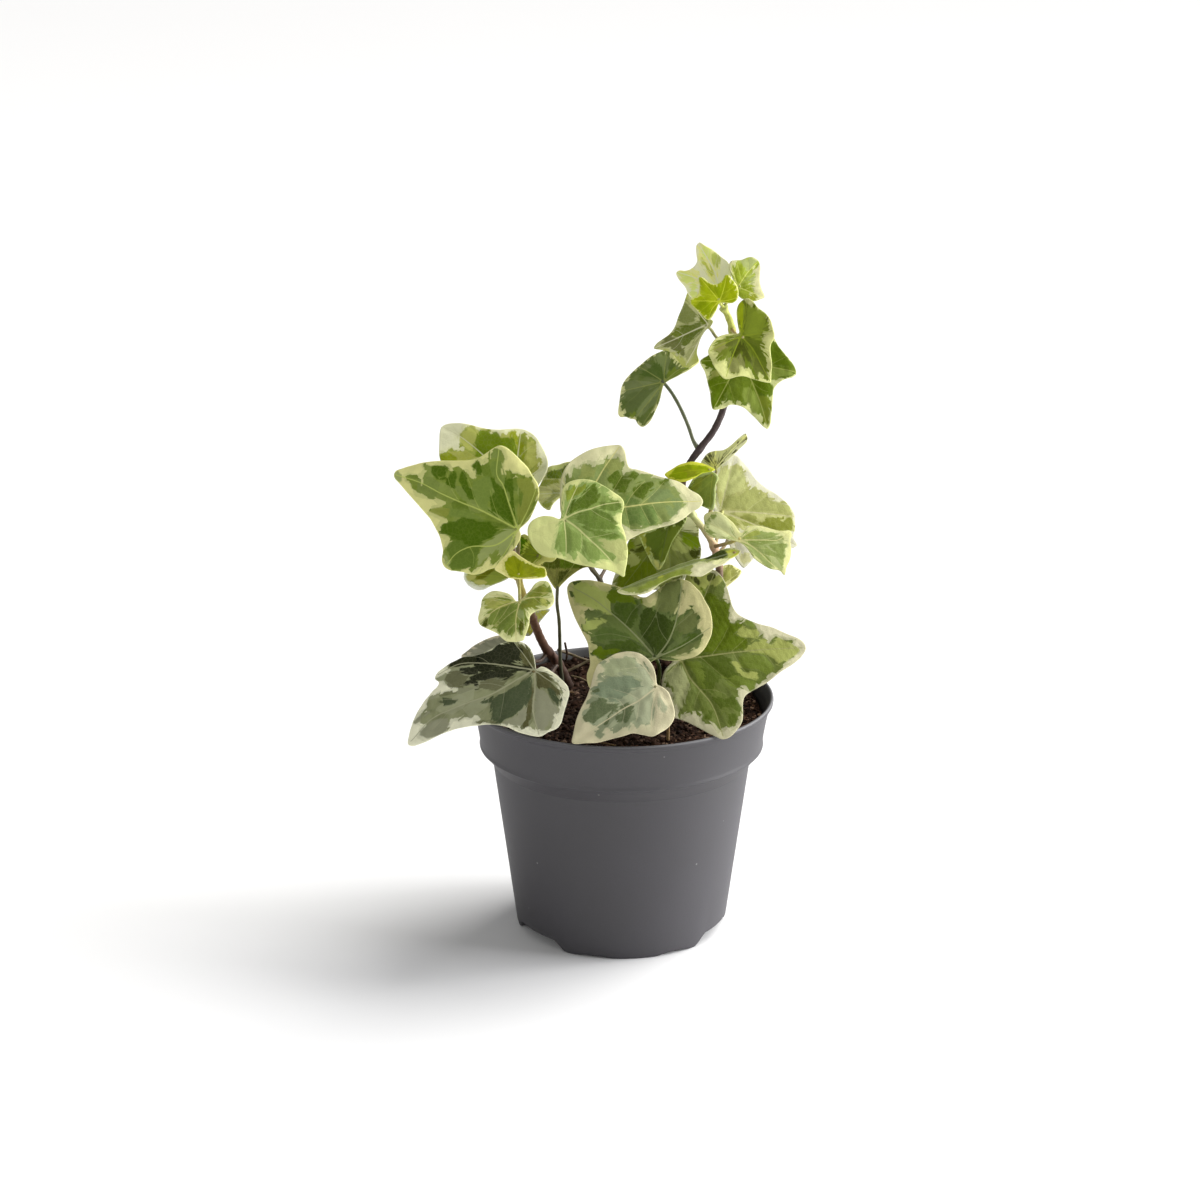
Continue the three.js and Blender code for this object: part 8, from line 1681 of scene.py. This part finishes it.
# ---------------------------------------------------------------- pot and soil
def build_pot():
    sides = 240
    prof_out, prof_in = POT_OUT, POT_IN
    foot = [(0.0, 0.0), (12.0, 0.0), (23.4, 0.0), (24.0, 0.05), (24.6, 0.0), (28.0, 0.0), (30.6, 0.0)]
    ring = foot[1:] + prof_out + prof_in[:-1]
    V, F, lip_painted_highlight = [], [], []
    n = len(ring)

    def lift(x, y):
        """How far the foot is raised at a drain pocket."""
        rr = math.hypot(x, y)
        best = 0.0
        for a, spread, rise in DRAINS:
            # angles are counted from the front, clockwise seen from above
            t = math.degrees(math.atan2(-x, -y))
            dlt = abs((t - (-a) + 180) % 360 - 180)
            k = 1 - smooth(spread / 2 - 4.0, spread / 2 + 5.0, dlt)
            best = max(best, rise * float(k) * float(smooth(23.0, 24.6, rr)))
        return best

    inner_wall_painted_shade = []
    n_out = len(foot) - 1 + len(prof_out)
    for ir, (r, z) in enumerate(ring):
        for k in range(sides):
            a = 2 * math.pi * k / sides
            x, y = r * math.cos(a), r * math.sin(a)
            h = lift(x, y)
            zz = z
            if z < 20:
                zz = z + h * max(0.0, 1 - z / 7.0)
                if r > 31.0:
                    # a raised point stays on the slope of the wall
                    x, y = x * (r + 0.133 * (zz - z)) / r, y * (r + 0.133 * (zz - z)) / r
            V.append((x, y, zz))
            # painted highlight: a band along the top of the lip
            lip_painted_highlight.append(max(0.0, 1 - abs(z - 71.9) / 0.5))
            # painted shade: the inner wall darkens from the rim down towards the soil
            inner_wall_painted_shade.append(float(smooth(72.2, 69.9, z)) if ir >= n_out else 0.0)
    for i in range(n - 1):
        for k in range(sides):
            k2 = (k + 1) % sides
            F.append((i * sides + k, i * sides + k2, (i + 1) * sides + k2, (i + 1) * sides + k))
    c0, c1 = len(V), len(V) + 1
    V += [(0, 0, 0), (0, 0, prof_in[-1][1])]
    lip_painted_highlight += [0, 0]
    inner_wall_painted_shade += [0, 0]
    for k in range(sides):
        k2 = (k + 1) % sides
        F.append((c0, k2, k))
        F.append((c1, (n - 1) * sides + k, (n - 1) * sides + k2))
    ob = new_object("pot_shell", np.array(V) * MM, F, [pot_material()], attrs={"lip_painted_highlight": lip_painted_highlight, "inner_wall_painted_shade": inner_wall_painted_shade})
    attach(ob, "root")
    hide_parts("pot")
    return ob


def soil_height(x, y):
    r = math.hypot(x, y)
    k = max(0.0, 1 - (r / 42.0) ** 2)
    # banked up against the wall at the back
    bank = 4.0 * float(smooth(32.0, 41.0, r)) * float(smooth(2.0, 26.0, y))
    return SOIL_TOP + bank + 0.5 * k + 0.18 * math.sin(x * 0.31 + 0.7) * math.cos(y * 0.27 - 0.4)


def soil_painted_light_at(x, y):
    """Painted light and shade on the soil: 1 near the front rim and to the right, falling towards 0 elsewhere, where
    the soil is painted darker as shade.
    """
    rim = float(smooth(20.0, 36.0, math.hypot(x, y)))
    side = float(smooth(-14.0, 12.0, x))
    front = float(smooth(16.0, -14.0, y))
    return rim * (0.25 + 0.75 * side) * (0.25 + 0.75 * front)


def build_soil():
    r = random.Random(5)
    waves = [(r.uniform(-1, 1), r.uniform(-1, 1), r.uniform(0, 6.28), r.uniform(0.7, 1.3)) for _ in range(26)]

    def rough(x, y):
        s = 0
        for i, (a, b, p, w) in enumerate(waves):
            f = 0.35 * 1.12 ** i
            s += w * math.sin((a * x + b * y) * f + p) / (1 + 0.10 * i)
        return s * 0.085

    R = 42.15
    rings = 84
    V, F = [(0, 0, soil_height(0, 0) + rough(0, 0))], []
    starts = []
    for i in range(1, rings + 1):
        rr = R * i / rings
        m = 180
        starts.append(len(V))
        for k in range(m):
            a = 2 * math.pi * (k + 0.5 * (i % 2)) / m
            x, y = rr * math.cos(a), rr * math.sin(a)
            e = max(0.0, (rr - 40.2) / 2.0)
            V.append((x, y, soil_height(x, y) + rough(x, y) * (1 - 0.6 * e) - 0.5 * e))
    m = 180
    for k in range(m):
        F.append((0, starts[0] + k, starts[0] + (k + 1) % m))
    for i in range(rings - 1):
        a, b = starts[i], starts[i + 1]
        sh = 1 if (i + 1) % 2 else 0
        for k in range(m):
            k2 = (k + 1) % m
            F.append((a + k, b + k, b + k2, a + k2))
    lower = [(41.55, 61.4), (40.4, 57.6), (37.2, 52.9), (35.1, 37.0), (32.8, 20.0), (29.9, 5.2)]
    prev = starts[-1]
    for (rr, zz) in lower:
        s = len(V)
        for k in range(m):
            a = 2 * math.pi * k / m
            V.append((rr * math.cos(a), rr * math.sin(a), zz))
        for k in range(m):
            k2 = (k + 1) % m
            F.append((prev + k, s + k, s + k2, prev + k2))
        prev = s
    c = len(V)
    V.append((0, 0, 5.2))
    for k in range(m):
        F.append((c, prev + (k + 1) % m, prev + k))
    ob = new_object("soil_body", np.array(V) * MM, F, [soil_material()], attrs={"soil_painted_light": [soil_painted_light_at(v[0], v[1]) for v in V]})
    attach(ob, "root")
    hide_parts("soil")
    # crumbs, each a small uneven lump that sits in the surface
    import bmesh
    bm = bmesh.new()
    bmesh.ops.create_icosphere(bm, subdivisions=2, radius=1.0)
    base = np.array([v.co for v in bm.verts])
    bf = [tuple(v.index for v in f.verts) for f in bm.faces]
    bm.free()
    bm = bmesh.new()
    bmesh.ops.create_icosphere(bm, subdivisions=1, radius=1.0)
    base1 = np.array([v.co for v in bm.verts])
    bf1 = [tuple(v.index for v in f.verts) for f in bm.faces]
    bm.free()
    V, F, tone, soil_painted_light = [], [], [], []
    for i in range(4200):
        rr = 41.2 * math.sqrt(r.random())
        a = r.uniform(0, 2 * math.pi)
        x, y = rr * math.cos(a), rr * math.sin(a)
        s = min(1.35, 0.22 + r.expovariate(4.4))
        if rr + s > 41.6:
            continue
        big = s > 0.7
        b, f = (base, bf) if big else (base1, bf1)
        sc = np.array([r.uniform(0.7, 1.35), r.uniform(0.6, 1.1), r.uniform(0.45, 0.85)]) * s
        ph = [r.uniform(0, 6.28) for _ in range(4)]
        dd = 1 + 0.22 * np.sin(b[:, 0] * 3.1 + ph[0]) * np.cos(b[:, 1] * 2.7 + ph[1]) + 0.14 * np.sin(b[:, 2] * 5.3 + b[:, 0] * 4.1 + ph[2])
        q = b * dd[:, None] * sc
        e = np.array(Euler((r.uniform(-0.5, 0.5), r.uniform(-0.5, 0.5), ph[3]), "XYZ").to_matrix())
        q = q @ e.T
        z = soil_height(x, y) + rough(x, y) + sc[2] * r.uniform(-0.25, 0.35)
        o = len(V)
        V += [(x + p[0], y + p[1], z + p[2]) for p in q]
        F += [tuple(k + o for k in t) for t in f]
        tone += [r.random()] * len(q)
        # each crumb gets the painted shade of the soil where it lies
        soil_painted_light += [soil_painted_light_at(x, y)] * len(q)
    ob2 = new_object("soil_crumbs", np.array(V) * MM, F, [crumb_material()], attrs={"tone": tone, "soil_painted_light": soil_painted_light})
    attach(ob2, "root")
    # a few thin dry roots and fibres lying on the soil
    V, F, off = [], [], 0
    al = []
    for pts in FIBRES:
        P = np.array([(x, y, soil_height(x, y) + dz) for x, y, dz in pts])
        P = curve_points(P, 0.5)
        rad = 0.22 + 0.06 * np.sin(np.linspace(0, 7, len(P)))
        v, f, a = tube(P, rad, 8)
        V.append(v)
        F += [tuple(k + off for k in t) for t in f]
        off += len(v)
        al.append(a)
    V = np.vstack(V)
    tint = np.tile(srgb((142, 112, 74)), (len(V), 1))
    ob3 = new_object("soil_fibres", V * MM, F, [stem_material()], attrs={"along": np.concatenate(al)}, col={"tint": tint})
    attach(ob3, "root")
    V, F, off, al, tint = [], [], 0, [], []
    for k, (c, rad, pts) in enumerate(TWIGS):
        P = curve_points(pts, 0.4)
        t = np.linspace(0, 1, len(P))
        v, f, a = tube(P, rad * (1.05 - 0.25 * t + 0.06 * np.sin(t * 31 + k)), 10)
        V.append(v)
        F += [tuple(q + off for q in tt) for tt in f]
        off += len(v)
        al.append(a)
        tint.append(np.tile(srgb(c), (len(v), 1)))
    ob4 = new_object("soil_twigs", np.vstack(V) * MM, F, [stem_material()], attrs={"along": np.concatenate(al)}, col={"tint": np.vstack(tint)})
    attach(ob4, "root")


# ---------------------------------------------------------------- build
for i, (name, d) in enumerate(LEAVES.items()):
    build_leaf(i, name, d)
bark = stem_material()
for i, (name, pts) in enumerate(STEMS.items()):
    build_stem(i, name, pts, TINTS[name], bark)
build_pot()
build_soil()

# ---------------------------------------------------------------- stage
def stage_material(name, c, rough):
    g = Nodes(name)
    n = g.noise(g.coords(), 3.0, 3.0)
    col = g.mix(g.step(n, 0.3, 0.7, 0.0, 0.25), tuple(c) + (1,), tuple(v * 0.985 for v in c) + (1,))
    return g.finish(col, rough, 0.2)


fl = bpy.data.meshes.new("floor")
S = 9.0
fl.from_pydata([(-S, -S, 0), (S, -S, 0), (S, S, 0), (-S, S, 0)], [], [(0, 1, 2, 3)])
floor = bpy.data.objects.new("floor", fl)
SCENE.collection.objects.link(floor)
floor.data.materials.append(stage_material("floor_white", (0.90, 0.90, 0.90), 0.6))

world = SCENE.world or bpy.data.worlds.new("studio")
SCENE.world = world
world.use_nodes = True
bg = world.node_tree.nodes.get("Background") or world.node_tree.nodes.new("ShaderNodeBackground")
bg.inputs[0].default_value = (1.0, 1.0, 1.0, 1.0)
bg.inputs[1].default_value = WORLD


def area(name, loc, target, size, power, color=(1, 1, 1)):
    L = bpy.data.lights.new(name, "AREA")
    L.shape = "RECTANGLE"
    L.size, L.size_y = size
    L.energy = power
    L.color = color
    o = bpy.data.objects.new(name, L)
    o.location = loc
    o.rotation_euler = (Vector(target) - Vector(loc)).to_track_quat("-Z", "Y").to_euler()
    SCENE.collection.objects.link(o)
    return o


for l in LIGHTS:
    area(*l)
sun = bpy.data.lights.new("key_sun", "SUN")
sun.energy = SUN[0]
sun.angle = math.radians(SUN[1])
sun.color = SUN[4]
so = bpy.data.objects.new("key_sun", sun)
az, el = math.radians(SUN[2]), math.radians(SUN[3])
so.rotation_euler = Vector((math.cos(el) * math.cos(az), math.cos(el) * math.sin(az), math.sin(el))).to_track_quat("Z", "Y").to_euler()
SCENE.collection.objects.link(so)

cam = bpy.data.cameras.new("camera")
cam.sensor_width = 36.0
cam.lens = 101.4
cam.clip_start, cam.clip_end = 0.05, 50.0
co = bpy.data.objects.new("camera", cam)
co.location = (-0.0064, -0.95106, 0.41072)
co.rotation_euler = (math.radians(72.0), 0, 0)
SCENE.collection.objects.link(co)
SCENE.camera = co
SCENE.view_settings.view_transform = "Standard"
SCENE.view_settings.look = "None"
SCENE.view_settings.exposure = 0.0
SCENE.view_settings.gamma = 1.0

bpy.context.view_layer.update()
